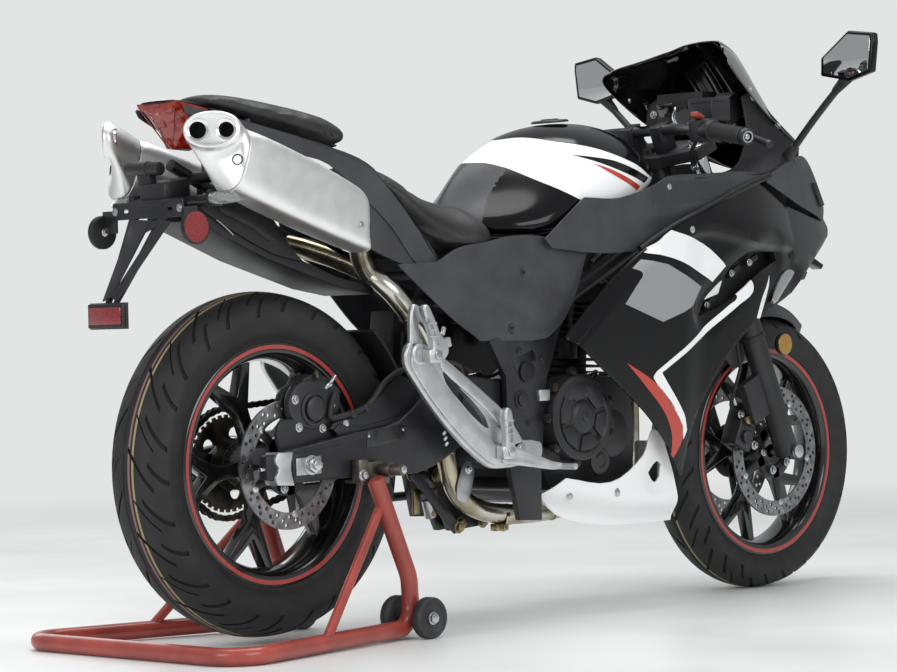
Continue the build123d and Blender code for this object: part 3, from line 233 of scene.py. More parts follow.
def road_rubber(name="road_tyre_rubber", low="#161617", high="#232325", roughness=0.62):
    """Moulded tyre rubber: dull near-black with dusty patches and a fine skin."""
    made, tree, shader, place = surface(name, high, roughness)
    mottle(tree, shader, place, low, high, 42, 5.0, (0.3, 0.7))
    skin = add(tree, "ShaderNodeTexNoise", {"Scale": 1000 / 2.2, "Detail": 4.0}, {"Vector": place})
    relief(tree, shader, skin.outputs[0], 0.12, 0.5)
    rough_spots(tree, shader, place, roughness - 0.1, roughness + 0.14, 30)
    return made


def seat_vinyl():
    """Grained vinyl: pebbles of about 1.8 mm with a soft sheen."""
    made, tree, shader, place = surface("grained_vinyl", "#1E1E20", 0.46)
    mottle(tree, shader, place, "#161617", "#232325", 50)
    pebble = add(tree, "ShaderNodeTexVoronoi", {"Scale": 1000 / 1.8}, {"Vector": place})
    relief(tree, shader, pebble.outputs[0], 0.16, 0.7)
    return made


def lens_plastic(name, colour, facet_mm, roughness=0.12, coat=1.0):
    """Moulded acrylic lens: clear coat over facets that catch the light one by one."""
    made, tree, shader, place = surface(name, colour, roughness, coat=coat)
    facet = add(tree, "ShaderNodeTexVoronoi", {"Scale": 1000 / facet_mm}, {"Vector": place}, feature="F1")
    relief(tree, shader, facet.outputs[0], facet_mm * 0.35, 0.8)
    return made


def prism_reflector(name, low, high):
    """Moulded reflector: coloured acrylic over corner prisms 2.5 mm across, with a painted highlight in the
    middle of each prism and painted shade at its edges.
    """
    made, tree, shader, place = surface(name, high, 0.2, coat=1.0)
    cells = add(tree, "ShaderNodeTexVoronoi", {"Scale": 1000 / 2.5}, {"Vector": place})
    # Painted light: lighter colour in each prism's middle, darker towards its edges
    tone = add(tree, "ShaderNodeValToRGB", links={"Fac": cells.outputs[0]})
    tone.color_ramp.elements[0].color = linear(high)
    tone.color_ramp.elements[1].color = linear(low)
    tree.links.new(tone.outputs[0], shader.inputs["Base Color"])
    relief(tree, shader, cells.outputs[0], 0.8, 0.6)
    return made


def plain_gloss(name, colour, roughness, metallic=0.0, coat=0.0):
    """Polished glass, chrome or paint line with only slight handling marks."""
    made, tree, shader, place = surface(name, colour, roughness, metallic=metallic, coat=coat)
    rough_spots(tree, shader, place, roughness * 0.8, roughness * 1.3, 40)
    return made


def make_materials(colours):
    """All finishes of the bike and its stand."""
    body = colours.body_black
    table = {
        "gloss_black": painted_plastic("lacquered_black_abs", body, 0.12, 0.0, 1.38),
        "white": painted_plastic("lacquered_white_abs", colours.body_white, 0.3, 0.7),
        "patch_grey": painted_plastic("printed_grey_film", "#8E8E90", 0.4, 0.3),
        "stripe_red": painted_plastic("printed_red_film", colours.stripe_red, 0.35, 0.4),
        "matt_grey": moulded_plastic("moulded_grey_abs", "#343438", "#3E3F43", 0.46),
        "tail_grey": moulded_plastic("moulded_tail_abs", "#2C2C2F", "#35363A", 0.4),
        "black_pp": moulded_plastic("moulded_black_polypropylene", "#17171A", "#212124", 0.45),
        "under_black": moulded_plastic("moulded_inner_black", "#0B0B0D", "#131315", 0.5),
        "carbon": woven_film(),
        "screen": painted_plastic("smoked_acrylic", "#060608", 0.07, 1.0),
        "satin_black": painted_metal("satin_black_powder_coat", "#19191C", "#26262A", 0.4),
        "engine_black": painted_metal("satin_black_heat_paint", "#1D1D1F", "#2B2B2E", 0.42),
        "fin_black": painted_metal("matt_black_barrel_paint", "#0F0F11", "#1A1A1C", 0.5),
        "wheel_black": painted_metal("gloss_black_wheel_paint", "#0B0B0C", "#141416", 0.2, 0.8),
        "cast": bare_metal("tumbled_cast_aluminium", "#C4C6C8", "#D8D9DA", 0.4),
        "silencer": bare_metal("satin_blasted_aluminium", "#EDEDEC", "#F4F4F3", 0.42, 0.9, 0.02),
        "cap": bare_metal("polished_aluminium_cap", "#E2E3E3", "#F2F2F2", 0.24, 2.0, 0.01),
        "stainless": straw_stainless(),
        "disc": ground_disc_steel(),
        "chrome": plain_gloss("chrome_plate", "#E4E6E8", 0.06, 1.0),
        "zinc": bare_metal("bright_zinc_plate", "#B4B6B8", "#D9DADB", 0.25),
        "brass": bare_metal("yellow_passivated_zinc", "#7E745A", "#AB9B76", 0.32),
        "dark_steel": bare_metal("oiled_dark_steel", "#3B3833", "#5B5750", 0.4),
        "alloy_plate": bare_metal("rolled_alloy_plate", "#9FA2A4", "#C6C8C9", 0.35),
        "tyre": road_rubber(),
        # Darker rubber in the tread's grooves: painted shade in the recesses
        "groove": road_rubber("tyre_groove_rubber", "#0A0A0A", "#111111", 0.8),
        "line_pink": plain_gloss("pink_marking_paint", "#866062", 0.6),
        "line_yellow": plain_gloss("yellow_marking_paint", "#948C5E", 0.6),
        "rim_tape": plain_gloss("red_rim_tape", colours.rim_tape, 0.35, coat=0.5),
        "vinyl": seat_vinyl(),
        "rubber": road_rubber("moulded_grip_rubber", "#161617", "#232324", 0.55),
        "caster": road_rubber("moulded_caster_rubber", "#29292B", "#3B3B3E", 0.55),
        "stand": painted_metal("red_stand_powder_coat", colours.stand_low, colours.stand_red, 0.32, 0.3),
        "cradle": bare_metal("dull_zinc_bracket", "#5D5751", "#7D7770", 0.45),
        "red_lens": lens_plastic("red_acrylic_lens", "#8F2210", 16.0),
        "clear_lens": lens_plastic("clear_acrylic_lens", "#858888", 6.0, 0.15),
        # Prism reflectors carry a painted highlight in each prism and painted shade at its edges
        "red_prism": prism_reflector("red_prism_reflector", "#5E0F12", "#9E2224"),
        "amber_prism": prism_reflector("amber_prism_reflector", "#7E5A10", "#B98B1E"),
        "mirror": plain_gloss("silvered_mirror_glass", "#DADDDD", 0.02, 1.0),
        "switch_red": moulded_plastic("moulded_red_switch", "#8A3628", "#A0432F", 0.45),
        # Near-black lining of the silencer outlets: partly soot, partly painted shade deep in the bores
        "bore": plain_gloss("sooty_bore", "#050505", 0.9),
        "label": bare_metal("anodised_label_plate", "#3A3B3D", "#57585A", 0.4),
        "gauge": plain_gloss("gauge_face", "#0C0D10", 0.15, coat=1.0),
        "gold_red": plain_gloss("red_pinstripe_paint", colours.stripe_red, 0.3, coat=0.6),
    }
    MATERIALS.update(table)


# ---------------------------------------------------------------- modelling helpers

def alone(obj=None):
    """Leaves only this object selected and active, in object mode."""
    if bpy.context.object and bpy.context.object.mode != "OBJECT":
        bpy.ops.object.mode_set(mode="OBJECT")
    bpy.ops.object.select_all(action="DESELECT")
    if obj:
        obj.select_set(True)
        bpy.context.view_layer.objects.active = obj


def editing(obj, mode="VERT"):
    """Opens one mesh in edit mode with all of it selected."""
    alone(obj)
    bpy.ops.object.mode_set(mode="EDIT")
    bpy.ops.mesh.select_mode(type=mode)
    bpy.ops.mesh.select_all(action="SELECT")


def pick(obj, wanted, kind="faces"):
    """Selects the faces or edges of the mesh in edit mode that the test accepts."""
    mesh = bmesh.from_edit_mesh(obj.data)
    bpy.ops.mesh.select_all(action="DESELECT")
    for part in getattr(mesh, kind):
        if wanted(part):
            part.select_set(True)
    mesh.select_flush_mode()
    bmesh.update_edit_mesh(obj.data)


def modify(obj, kind, **settings):
    """Adds a modifier and applies it."""
    alone(obj)
    made = obj.modifiers.new(kind.title(), kind)
    for key, value in settings.items():
        setattr(made, key, value)
    bpy.ops.object.modifier_apply(modifier=made.name)
    return obj


def chamfer(obj, width_mm, segments=2, angle=35):
    """Rounds the edges that are sharper than the angle."""
    if width_mm:
        modify(
            obj, "BEVEL", width=width_mm * MM, segments=segments, limit_method="ANGLE",
            angle_limit=math.radians(angle), harden_normals=False,
        )
    return obj


def finish(obj, name, body, finish_name, smooth=35):
    """Names a piece, shades it, gives it its finish and lets it ride on its body."""
    alone(obj)
    bpy.ops.object.transform_apply(location=True, rotation=True, scale=True)
    if smooth:
        bpy.ops.object.shade_smooth_by_angle(angle=math.radians(smooth))
    obj.name = name
    obj.data.name = name
    if finish_name:
        obj.data.materials.clear()
        obj.data.materials.append(MATERIALS[finish_name])
    alone()
    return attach(obj, body)


def outward(obj):
    """Merges doubled points and turns every face outwards."""
    editing(obj)
    bpy.ops.mesh.remove_doubles(threshold=0.00002)
    bpy.ops.mesh.normals_make_consistent(inside=False)
    bpy.ops.object.mode_set(mode="OBJECT")
    return obj


def ring_of(points, filled=True):
    """A flat face through the points, or only its loop of edges."""
    alone()
    bpy.ops.mesh.primitive_circle_add(
        vertices=len(points), radius=1, fill_type="NGON" if filled else "NOTHING"
    )
    obj = bpy.context.object
    for vertex, point in zip(obj.data.vertices, points):
        vertex.co = point
    return obj


def extruded(obj, move):
    """Thickens a flat face by a move in millimetres."""
    editing(obj)
    bpy.ops.mesh.extrude_region_move(TRANSFORM_OT_translate={"value": [step * MM for step in move]})
    return outward(obj)


def prism(outline, side_a, side_b, bevel=0.0, segments=2):
    """Slab with a (station, height) outline between two sides."""
    obj = ring_of([at(x, side_a, z) for x, z in outline])
    return chamfer(extruded(obj, (0, side_b - side_a, 0)), bevel, segments)


def block(centre, size, bevel=1.5, turn=(0, 0, 0), segments=2):
    """Box with rounded edges; sizes in millimetres, turn in degrees."""
    alone()
    bpy.ops.mesh.primitive_cube_add(size=1, location=centre, rotation=[math.radians(a) for a in turn])
    obj = bpy.context.object
    obj.scale = [s * MM for s in size]
    bpy.ops.object.transform_apply(location=True, rotation=True, scale=True)
    return chamfer(obj, bevel, segments)


def rod(start, end, radius, bevel=0.0, vertices=24, end_radius=None):
    """Round bar between two places; the radius is in millimetres."""
    start = Vector(start)
    end = Vector(end)
    along = end - start
    alone()
    bpy.ops.mesh.primitive_cone_add(
        vertices=vertices, radius1=radius * MM, radius2=(end_radius or radius) * MM,
        depth=along.length, location=(start + end) / 2,
        rotation=along.to_track_quat("Z", "Y").to_euler(),
    )
    bpy.ops.object.transform_apply(location=True, rotation=True, scale=True)
    return chamfer(bpy.context.object, bevel)


def turned(profile, centre, axis=(0, 1, 0), steps=64):
    """Turns a closed (radius, side) profile in millimetres about an axis through a place."""
    obj = ring_of([mm(r, y, 0) for r, y in profile], filled=False)
    editing(obj)
    bpy.ops.mesh.spin(steps=steps, angle=2 * math.pi, center=(0, 0, 0), axis=(0, 1, 0))
    outward(obj)
    alone(obj)
    turn = Vector((0, 1, 0)).rotation_difference(Vector(axis)).to_matrix().to_4x4()
    obj.data.transform(Matrix.Translation(centre) @ turn)
    return obj


def tube(points, radius, resolution=8, sides=6, cyclic=False):
    """Round tube along a smooth curve through control points; the radius is in millimetres."""
    curve = bpy.data.curves.new("tube", "CURVE")
    curve.dimensions = "3D"
    spline = curve.splines.new("NURBS")
    spline.points.add(len(points) - 1)
    for place, point in zip(spline.points, points):
        place.co = (*point, 1.0)
    spline.order_u = 3
    spline.use_endpoint_u = not cyclic
    spline.use_cyclic_u = cyclic
    spline.resolution_u = resolution
    curve.bevel_depth = radius * MM
    curve.bevel_resolution = sides
    curve.use_fill_caps = True
    obj = bpy.data.objects.new("tube", curve)
    bpy.context.scene.collection.objects.link(obj)
    alone(obj)
    bpy.ops.object.convert(target="MESH")
    return bpy.context.object


def joined(pieces):
    """Several meshes as one object."""
    alone(pieces[0])
    for piece in pieces:
        piece.select_set(True)
    if len(pieces) > 1:
        bpy.ops.object.join()
    return bpy.context.object


def copied(obj, matrix, flip=False):
    """A copy with its own mesh, placed by a matrix."""
    twin = obj.copy()
    twin.data = obj.data.copy()
    bpy.context.scene.collection.objects.link(twin)
    twin.data.transform(matrix)
    if flip:
        twin.data.flip_normals()
    return twin


def mirrored(obj):
    """A copy on the bike's other side."""
    return copied(obj, Matrix.Scale(-1, 4, (0, 1, 0)), flip=True)


def round_copies(obj, centre, count, axis="Y", first=0.0):
    """The piece and its copies, evenly turned about a centre, as one object."""
    centre = Vector(centre)
    made = []
    for index in range(count):
        turn = Matrix.Rotation(math.radians(first + 360 * index / count), 4, axis)
        made.append(copied(obj, Matrix.Translation(centre) @ turn @ Matrix.Translation(-centre)))
    bpy.data.objects.remove(obj)
    return joined(made)


def cut_by(obj, tool):
    """Cuts the tool's solid out of the piece."""
    modify(obj, "BOOLEAN", object=tool, operation="DIFFERENCE", solver="EXACT")
    bpy.data.objects.remove(tool)
    return obj


def grid_of(columns, rows, place):
    """A sheet of vertices in columns and rows, each at the place for its row and column."""
    alone()
    bpy.ops.mesh.primitive_grid_add(x_subdivisions=columns - 1, y_subdivisions=rows - 1, size=2)
    obj = bpy.context.object
    for index, vertex in enumerate(obj.data.vertices):
        vertex.co = place(*divmod(index, columns))
    return obj


def sheet_over(stations, heights, half_of, levels=3, rows=None):
    """A smooth left-hand sheet over a grid of stations and heights, at the half width each gives."""

    def place(row, column):
        """Place of one vertex of the sheet."""
        x = stations[column]
        z = rows(x)[row] if rows else heights[row]
        return at(x, half_of(x, z), z)

    obj = grid_of(len(stations), len(heights), place)
    if levels:
        modify(obj, "SUBSURF", levels=levels, render_levels=levels, boundary_smooth="PRESERVE_CORNERS")
    return obj


def walled(obj, wall_mm, rim_mm=0.8):
    """Gives a sheet its wall, inwards, and rounds its rim."""
    editing(obj)
    bpy.ops.mesh.normals_make_consistent(inside=False)
    bpy.ops.object.mode_set(mode="OBJECT")
    total = sum((p.normal.y * (1 if p.center.y > 0 else -1) for p in obj.data.polygons))
    if total < 0:
        obj.data.flip_normals()
    modify(obj, "SOLIDIFY", thickness=wall_mm * MM, offset=-1.0, use_quality_normals=True)
    return chamfer(obj, rim_mm, 2, 60)


# How sharp the end faces of a loft stay when it is smoothed
END_CREASE = 0.85


def lofted(rings, levels=2):
    """A closed skin through rings of places, bridged and smoothed."""
    alone()
    mesh = bpy.data.meshes.new("loft")
    points = []
    edges = []
    for ring in rings:
        start = len(points)
        points += [tuple(p) for p in ring]
        edges += [(start + i, start + (i + 1) % len(ring)) for i in range(len(ring))]
    mesh.from_pydata(points, edges, [])
    obj = bpy.data.objects.new("loft", mesh)
    bpy.context.scene.collection.objects.link(obj)
    count = len(rings[0])
    editing(obj, "EDGE")
    for index in range(len(rings) - 1):
        span = range(index * count, (index + 2) * count)
        pick(obj, lambda e: all(v.index in span for v in e.verts), "edges")
        bpy.ops.mesh.bridge_edge_loops()
    last = (len(rings) - 1) * count
    for first in (0, last):
        ends = range(first, first + count)
        pick(obj, lambda e: all(v.index in ends for v in e.verts), "edges")
        bpy.ops.mesh.edge_face_add()
    bpy.ops.mesh.select_all(action="SELECT")
    bpy.ops.mesh.normals_make_consistent(inside=False)
    bpy.ops.object.mode_set(mode="OBJECT")
    if levels:
        kept_edges = obj.data.attributes
        crease = kept_edges.get("crease_edge") or kept_edges.new("crease_edge", "FLOAT", "EDGE")
        for edge in obj.data.edges:
            a, b = edge.vertices
            if (a < count and b < count) or (a >= last and b >= last):
                crease.data[edge.index].value = END_CREASE
        modify(obj, "SUBSURF", levels=levels, render_levels=levels)
    return obj


def full_ring(station, half):
    """Ring of places from half a section given as (side, height) from the bottom up."""
    points = [at(station, y, z) for y, z in half]
    back = [at(station, -y, z) for y, z in reversed(half) if y > 0]
    return points + back


def bolt(place, axis, radius, height, finish_name="zinc", socket=True):
    """Hexagon-socket screw head on a washer, standing on a surface."""
    axis = Vector(axis).normalized()
    place = Vector(place)
    washer = rod(place - axis * 0.5 * MM, place + axis * 1.2 * MM, radius * 1.45, 0.3, 20)
    head = rod(place, place + axis * (height + 1.2) * MM, radius, radius * 0.18, 18)
    if socket:
        editing(head, "FACE")
        pick(head, lambda f: f.normal.dot(axis) > 0.98 and f.calc_area() > 0.3 * math.pi * (radius * MM) ** 2)
        bpy.ops.mesh.inset(thickness=radius * 0.45 * MM, depth=0)
        bpy.ops.mesh.inset(thickness=radius * 0.04 * MM, depth=-height * 0.55 * MM)
        bpy.ops.object.mode_set(mode="OBJECT")
    return dressed(joined([washer, head]), finish_name)


def dressed(obj, finish_name):
    """Gives a mesh one finish before it is joined with others."""
    obj.data.materials.clear()
    obj.data.materials.append(MATERIALS[finish_name])
    return obj


def gathered(parts, name, body, smooth=35):
    """Joins parts that keep their own finishes into one named piece."""
    return finish(joined(parts), name, body, None, smooth)


# Printed fields as (station, height) outlines: finish, outline, its sharp corners
FAIRING_FIELDS = [
    ("white", [(878, 752), (1000, 722), (1076, 678), (1035, 646), (919, 688), (820, 706)], (0, 2, 3, 5)),
    ("patch_grey", [
        (817, 691), (883, 681), (994, 636), (966, 603), (931, 587), (867, 568), (756, 604), (796, 646),
        (808, 662), (790, 674)
    ], (0, 1, 2, 4, 5, 6, 7, 9)),
    ("white", [
        (1120, 651), (1152, 655), (1170, 642), (1160, 622), (1116, 600), (866, 468), (938, 385), (951, 352),
        (941, 334), (928, 372), (842, 458), (850, 471), (1088, 600), (1112, 613), (1108, 624), (1082, 628)
    ], (0, 4, 5, 7, 8, 11, 12, 15)),
    ("stripe_red", [
        (762, 490), (842, 452), (898, 409), (938, 358), (936, 330), (912, 290), (909, 305), (904, 346),
        (879, 389), (824, 439)
    ], (0, 3, 5)),
    ("white", [(1236, 660), (1219, 625), (1188, 570), (1176, 572), (1199, 615)], (0, 2, 3))
]
UPPER_STRIP = [(880, 800), (884, 838), (1023, 850), (1190, 850), (1120, 824), (990, 806)]
TAIL_BLADE = [
    (-215, 964), (-63, 936), (60, 910), (140, 886), (206, 862), (262, 805), (330, 712), (366, 640),
    (330, 660), (290, 690), (246, 750), (196, 800), (110, 868), (20, 886), (-100, 910), (-205, 950)
]
TAIL_INLAY = [(246, 795), (320, 735), (366, 660), (342, 655), (299, 700)]
# Finish, outline, its sharp corners, and the sides between which the field lies
TANK_FIELDS = [
    ("matt_grey", [
        (440, 700), (440, 884), (534, 878), (549, 884), (575, 884), (597, 873), (561, 839), (539, 812),
        (506, 766), (500, 700)
    ], (0, 1, 2, 5, 9), -1, 220),
    ("gloss_black", [
        (597, 873), (633, 841), (686, 809), (730, 800), (730, 700), (500, 700), (506, 766), (539, 812),
        (561, 839)
    ], (0, 3, 4, 5), 20, 220),
    ("gloss_black", [
        (601, 925), (634, 931), (673, 936), (711, 926), (779, 914), (838, 899), (890, 882), (939, 860),
        (1020, 862), (1020, 1010), (560, 1010), (560, 940)
    ], (8, 9, 10, 11), -2, 150),
    ("gloss_black", [
        (715, 898), (770, 893), (826, 886), (927, 856), (904, 845), (805, 873), (751, 888)
    ], (0, 3, 4), 60, 220),
    ("gold_red", [(753, 881), (805, 867), (886, 838), (874, 829), (792, 861)], (0, 2, 3), 60, 220)
]


# ---------------------------------------------------------------- smooth tables and panels

def curve_value(table, key):
    """Smooth value through (key, value) pairs, held beyond both ends."""
    if key <= table[0][0]:
        return table[0][1]
    if key >= table[-1][0]:
        return table[-1][1]
    index = max(i for i in range(len(table) - 1) if table[i][0] <= key)

    def slope(at_index):
        """Slope of the table at one of its pairs."""
        low = max(at_index - 1, 0)
        high = min(at_index + 1, len(table) - 1)
        return (table[high][1] - table[low][1]) / (table[high][0] - table[low][0])

    span = table[index + 1][0] - table[index][0]
    t = (key - table[index][0]) / span
    h = t * t * (3 - 2 * t)
    value = table[index][1] * (1 - h) + table[index + 1][1] * h
    value += slope(index) * span * t * (1 - t) ** 2 - slope(index + 1) * span * t * t * (1 - t)
    return value


def table_values(rows, key):
    """Smooth values of every column after the first, at a key."""
    return [curve_value([(row[0], row[k]) for row in rows], key) for k in range(1, len(rows[0]))]


def between(b, c, leave, reach, t):
    """Place at a share of the way from b to c, on a curve with these runs at its two ends."""
    h = t * t * (3 - 2 * t)
    return b * (1 - h) + c * h + leave * t * (1 - t) ** 2 - reach * t * t * (1 - t)


def eased(points, sharp=(), steps=5):
    """Closed outline that runs smoothly through its points, apart from the sharp ones."""
    count = len(points)
    places = [Vector(p) for p in points]
    made = []
    for index in range(count):
        a, b, c, d = (places[(index + k) % count] for k in (-1, 0, 1, 2))
        span = (c - b).length
        leave = (c - b) if index in sharp else (c - a).normalized() * span
        reach = (c - b) if (index + 1) % count in sharp else (d - b).normalized() * span
        made += [tuple(between(b, c, leave, reach, step / steps)) for step in range(steps)]
    return made


def spaced(low, high, step):
    """Even values from low to high, no further apart than the step."""
    count = max(2, math.ceil((high - low) / step))
    return [low + (high - low) * i / count for i in range(count + 1)]


def ramp(value, low, high):
    """Smooth step from 0 at low to 1 at high."""
    t = min(max((value - low) / (high - low), 0), 1)
    return t * t * (3 - 2 * t)


def panel(half, outline, holes=(), wall=None, grid=14, levels=1, rows=None):
    """Left-hand body panel: a curved sheet with its wall, cut to its side outline."""
    xs = [p[0] for p in outline]
    zs = [p[1] for p in outline]
    stations = spaced(min(xs) - 12, max(xs) + 12, grid)
    heights = spaced(min(zs) - 12, max(zs) + 12, grid)
    if rows:
        heights = rows(stations[0])
    sheet = sheet_over(stations, heights, half, levels, rows)
    walled(sheet, wall or size_of("panel_wall"), 0)
    keep = prism(outline, 8, 460)
    for hole in holes:
        cut_by(keep, prism(hole, 4, 470))
    modify(sheet, "BOOLEAN", object=keep, operation="INTERSECT", solver="EXACT")
    bpy.data.objects.remove(keep)
    return chamfer(sheet, 0.9, 2, 50)


def cage(rows, wall=3.0, levels=2, rim=0.8):
    """Left-hand panel through rows of (station, side, height) places, smoothed between them."""
    obj = grid_of(len(rows[0]), len(rows), lambda row, column: at(*rows[row][column]))
    if levels:
        modify(obj, "SUBSURF", levels=levels, render_levels=levels, boundary_smooth="PRESERVE_CORNERS")
    return walled(obj, wall, rim)


def film(piece, outline, finish_name, side_a=8, side_b=460, proud=0.3):
    """Painted or printed field: the piece's own surface, a hair proud, cut to a side outline."""
    skin = copied(piece, Matrix.Identity(4))
    modify(skin, "DISPLACE", strength=proud * MM, mid_level=0.0, direction="NORMAL")
    keep = prism(outline, side_a, side_b)
    modify(skin, "BOOLEAN", object=keep, operation="INTERSECT", solver="EXACT")
    bpy.data.objects.remove(keep)
    return dressed(skin, finish_name)


def screw(x, z, side, radius):
    """Panel screw seen from the side."""
    return bolt(at(x, side, z), (0, 1, 0), radius, 2.0)


# ---------------------------------------------------------------- wheels

# Treads in section from the bead to the middle, as (radius, side)
REAR_TREAD = (
    (207, 46), (214, 47), (224, 50), (240, 62), (262, 68.8), (275, 69), (292, 59), (304, 44), (311, 22),
    (314, 0)
)
FRONT_TREAD = (
    (207, 37), (214, 38), (223, 40), (235, 49), (252, 54.8), (262, 55), (274, 46), (283, 33), (288.5, 16),
    (290, 0)
)
# Grooves: share of a pitch where each starts, its width in columns and its reach across, in millimetres
REAR_GROOVES = ((0.00, 2, 7, 62), (0.34, 2, 38, 84), (0.52, 1, 20, 60), (0.78, 2, 50, 88))
FRONT_GROOVES = ((0.00, 2, 5, 48), (0.36, 2, 30, 66), (0.56, 1, 14, 46), (0.80, 2, 40, 68))


# Columns of faces in one pitch of the tread's pattern
PITCH_COLUMNS = 30


def tread_line(table):
    """Cross section from the middle of the tread to the bead, as (radius, side) every few millimetres."""
    places = [Vector((y, r)) for r, y in reversed(table)]
    line = []
    for index in range(len(places) - 1):
        before = places[index - 1] if index else Vector((-places[1].x, places[1].y))
        after = places[min(index + 2, len(places) - 1)]
        b, c = places[index], places[index + 1]
        span = (c - b).length
        leave = (c - before).normalized() * span
        reach = (after - b).normalized() * span
        steps = max(1, round(span / 4.5))
        line += [between(b, c, leave, reach, step / steps) for step in range(steps)]
    line.append(places[-1])
    return [(p.y, p.x) for p in line]


def tyre(name, body, node, centre, table, grooves, pitches, sweep, lines):
    """Tyre with moulded grooves that sweep from the tread's middle to its shoulders."""
    half_line = tread_line(table)
    line = [(r, -y) for r, y in reversed(half_line[1:])] + half_line
    across = [0.0]
    for (r0, y0), (r1, y1) in zip(line, line[1:]):
        across.append(across[-1] + math.hypot(r1 - r0, y1 - y0))
    middle = across[len(half_line) - 1]
    columns = pitches * PITCH_COLUMNS

    def place(row, column):
        """Place of one vertex of the tread; every column is swept towards the shoulders."""
        radius, side = line[row]
        angle = 2 * math.pi * column / columns + sweep * ramp(abs(across[row] - middle), -30, 95)
        if row >= len(half_line):
            angle += math.pi / pitches
        return centre + Vector((radius * MM * math.cos(angle), side * MM, radius * MM * math.sin(angle)))

    obj = grid_of(columns + 1, len(line), place)
    cuts = [(round(share * PITCH_COLUMNS), *cut) for share, *cut in grooves]

    def in_groove(row, column):
        """Whether a face of the tread lies in a groove."""
        reach = abs((across[row] + across[row + 1]) / 2 - middle)
        step = column % PITCH_COLUMNS
        return any(
            first <= step < first + width and start <= reach <= end for first, width, start, end in cuts
        )

    rows = len(line) - 1
    dug = {
        row * columns + column for row in range(rows) for column in range(columns) if in_groove(row, column)
    }
    for finish_name in ("tyre", "groove", "line_pink", "line_yellow"):
        obj.data.materials.append(MATERIALS[finish_name])
    for line_at, slot_index in lines:
        row = min(range(rows), key=lambda r: abs(across[r] - middle - line_at))
        for column in range(columns):
            if row * columns + column not in dug:
                obj.data.polygons[row * columns + column].material_index = slot_index
    # Groove faces take the darker rubber, which is painted shade in the recesses
    for index in dug:
        obj.data.polygons[index].material_index = 1
    outward(obj)
    editing(obj, "FACE")
    pick(obj, lambda f: f.material_index == 1)
    bpy.ops.mesh.inset(thickness=0.5 * MM, depth=-size_of("groove_depth") * MM, use_boundary=True)
    bpy.ops.object.mode_set(mode="OBJECT")
    made = finish(obj, name, body, None, 28)
    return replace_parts(made, node)


# Outer radius of both rims, in millimetres
RIM_RADIUS = 222


def forked_spokes(centre, hub_r, spoke_half, first_angle):
    """Five spokes that fork on their way from the hub to the barrel."""
    fork = hub_r + (RIM_RADIUS - 30 - hub_r) * 0.42
    reach = RIM_RADIUS - 29
    spread = math.radians(15)
    tip = Vector((reach * math.cos(spread), reach * math.sin(spread)))
    run = (tip - Vector((fork, 0))).normalized()
    across = Vector((-run.y, run.x))
    wide, thin = 13.0, 8.5
    outline = [
        (hub_r - 9, wide + 2), (fork - 22, wide - 1), (fork - 4, wide + 1),
        tuple(tip + across * thin - run * 4), tuple(tip + across * (thin + 6)),
        tuple(tip - across * (thin + 5)), tuple(tip - across * thin - run * 8), (fork + 26, 0)
    ]
    mirrored_part = [(x, -z) for x, z in reversed(outline[:-1])]
    spoke = ring_of([mm(x, -spoke_half, z) for x, z in outline + mirrored_part])
    chamfer(extruded(spoke, (0, 2 * spoke_half, 0)), 3.5, 3, 40)
    spoke.data.transform(Matrix.Translation(centre))
    return round_copies(spoke, centre, 5, "Y", -first_angle)


def rim(name, body, node, centre, rim_half, hub_r, hub_half, spoke_half, first_angle, discs):
    """Cast wheel: drop-centre barrel, five forked spokes, hub and the tape line on its edge."""
    rim_r = RIM_RADIUS
    ring = [
        (rim_r - 20, rim_half), (rim_r - 4, rim_half + 0.5), (rim_r, rim_half - 1), (rim_r, rim_half - 5),
        (rim_r - 9, rim_half - 5), (rim_r - 11, rim_half - 20), (rim_r - 24, rim_half - 28),
        (rim_r - 24, 28 - rim_half), (rim_r - 11, 20 - rim_half), (rim_r - 9, 5 - rim_half),
        (rim_r, 5 - rim_half), (rim_r, 1 - rim_half), (rim_r - 4, -rim_half - 0.5), (rim_r - 20, -rim_half),
        (rim_r - 26, 8 - rim_half), (rim_r - 33, 26 - rim_half), (rim_r - 33, rim_half - 26),
        (rim_r - 26, rim_half - 8)
    ]
    barrel = chamfer(turned(ring, centre, steps=120), 1.2, 2, 25)
    hub_line = [
        (14, hub_half - 4), (hub_r - 12, hub_half - 4), (hub_r - 6, hub_half), (hub_r, hub_half - 3),
        (hub_r - 5, spoke_half + 10), (hub_r - 5, -spoke_half - 10), (hub_r, 3 - hub_half),
        (hub_r - 6, -hub_half), (hub_r - 12, 4 - hub_half), (14, 4 - hub_half)
    ]
    hub = chamfer(turned(hub_line, centre, steps=64), 1.5, 2, 25)
    spokes = forked_spokes(centre, hub_r, spoke_half, first_angle)
    parts = [dressed(p, "wheel_black") for p in (barrel, hub, spokes)]
    for side in (1, -1):
        tape = [
            (rim_r - 12.5, side * (rim_half + 0.3)), (rim_r - 5.5, side * (rim_half + 0.9)),
            (rim_r - 5.5, side * (rim_half - 1)), (rim_r - 12.5, side * (rim_half - 1))
        ]
        parts.append(dressed(turned(tape, centre, steps=120), "rim_tape"))
    valve = centre + Vector((math.cos(0.4) * (rim_r - 60) * MM, -12 * MM, math.sin(0.4) * (rim_r - 60) * MM))
    outer = centre + Vector((math.cos(0.4) * (rim_r - 30) * MM, -6 * MM, math.sin(0.4) * (rim_r - 30) * MM))
    parts.append(dressed(rod(outer, valve, 3.4, 0.5, 14), "rubber"))
    parts.append(dressed(rod(valve, valve + (valve - outer).normalized() * 9 * MM, 2.6, 0.4, 12), "zinc"))
    for side, circle, count in discs:
        head = bolt(centre + mm(circle, side, 0), (0, math.copysign(1, side), 0), 6.5, 4, "zinc")
        parts.append(round_copies(head, centre, count, "Y", 36))
    made = gathered(parts, name, body, 32)
    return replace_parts(made, node)


# How far the disc's carrier lies inside of the disc, and its half thickness
CARRIER_STEP = 3.2
CARRIER_HALF = 2.4


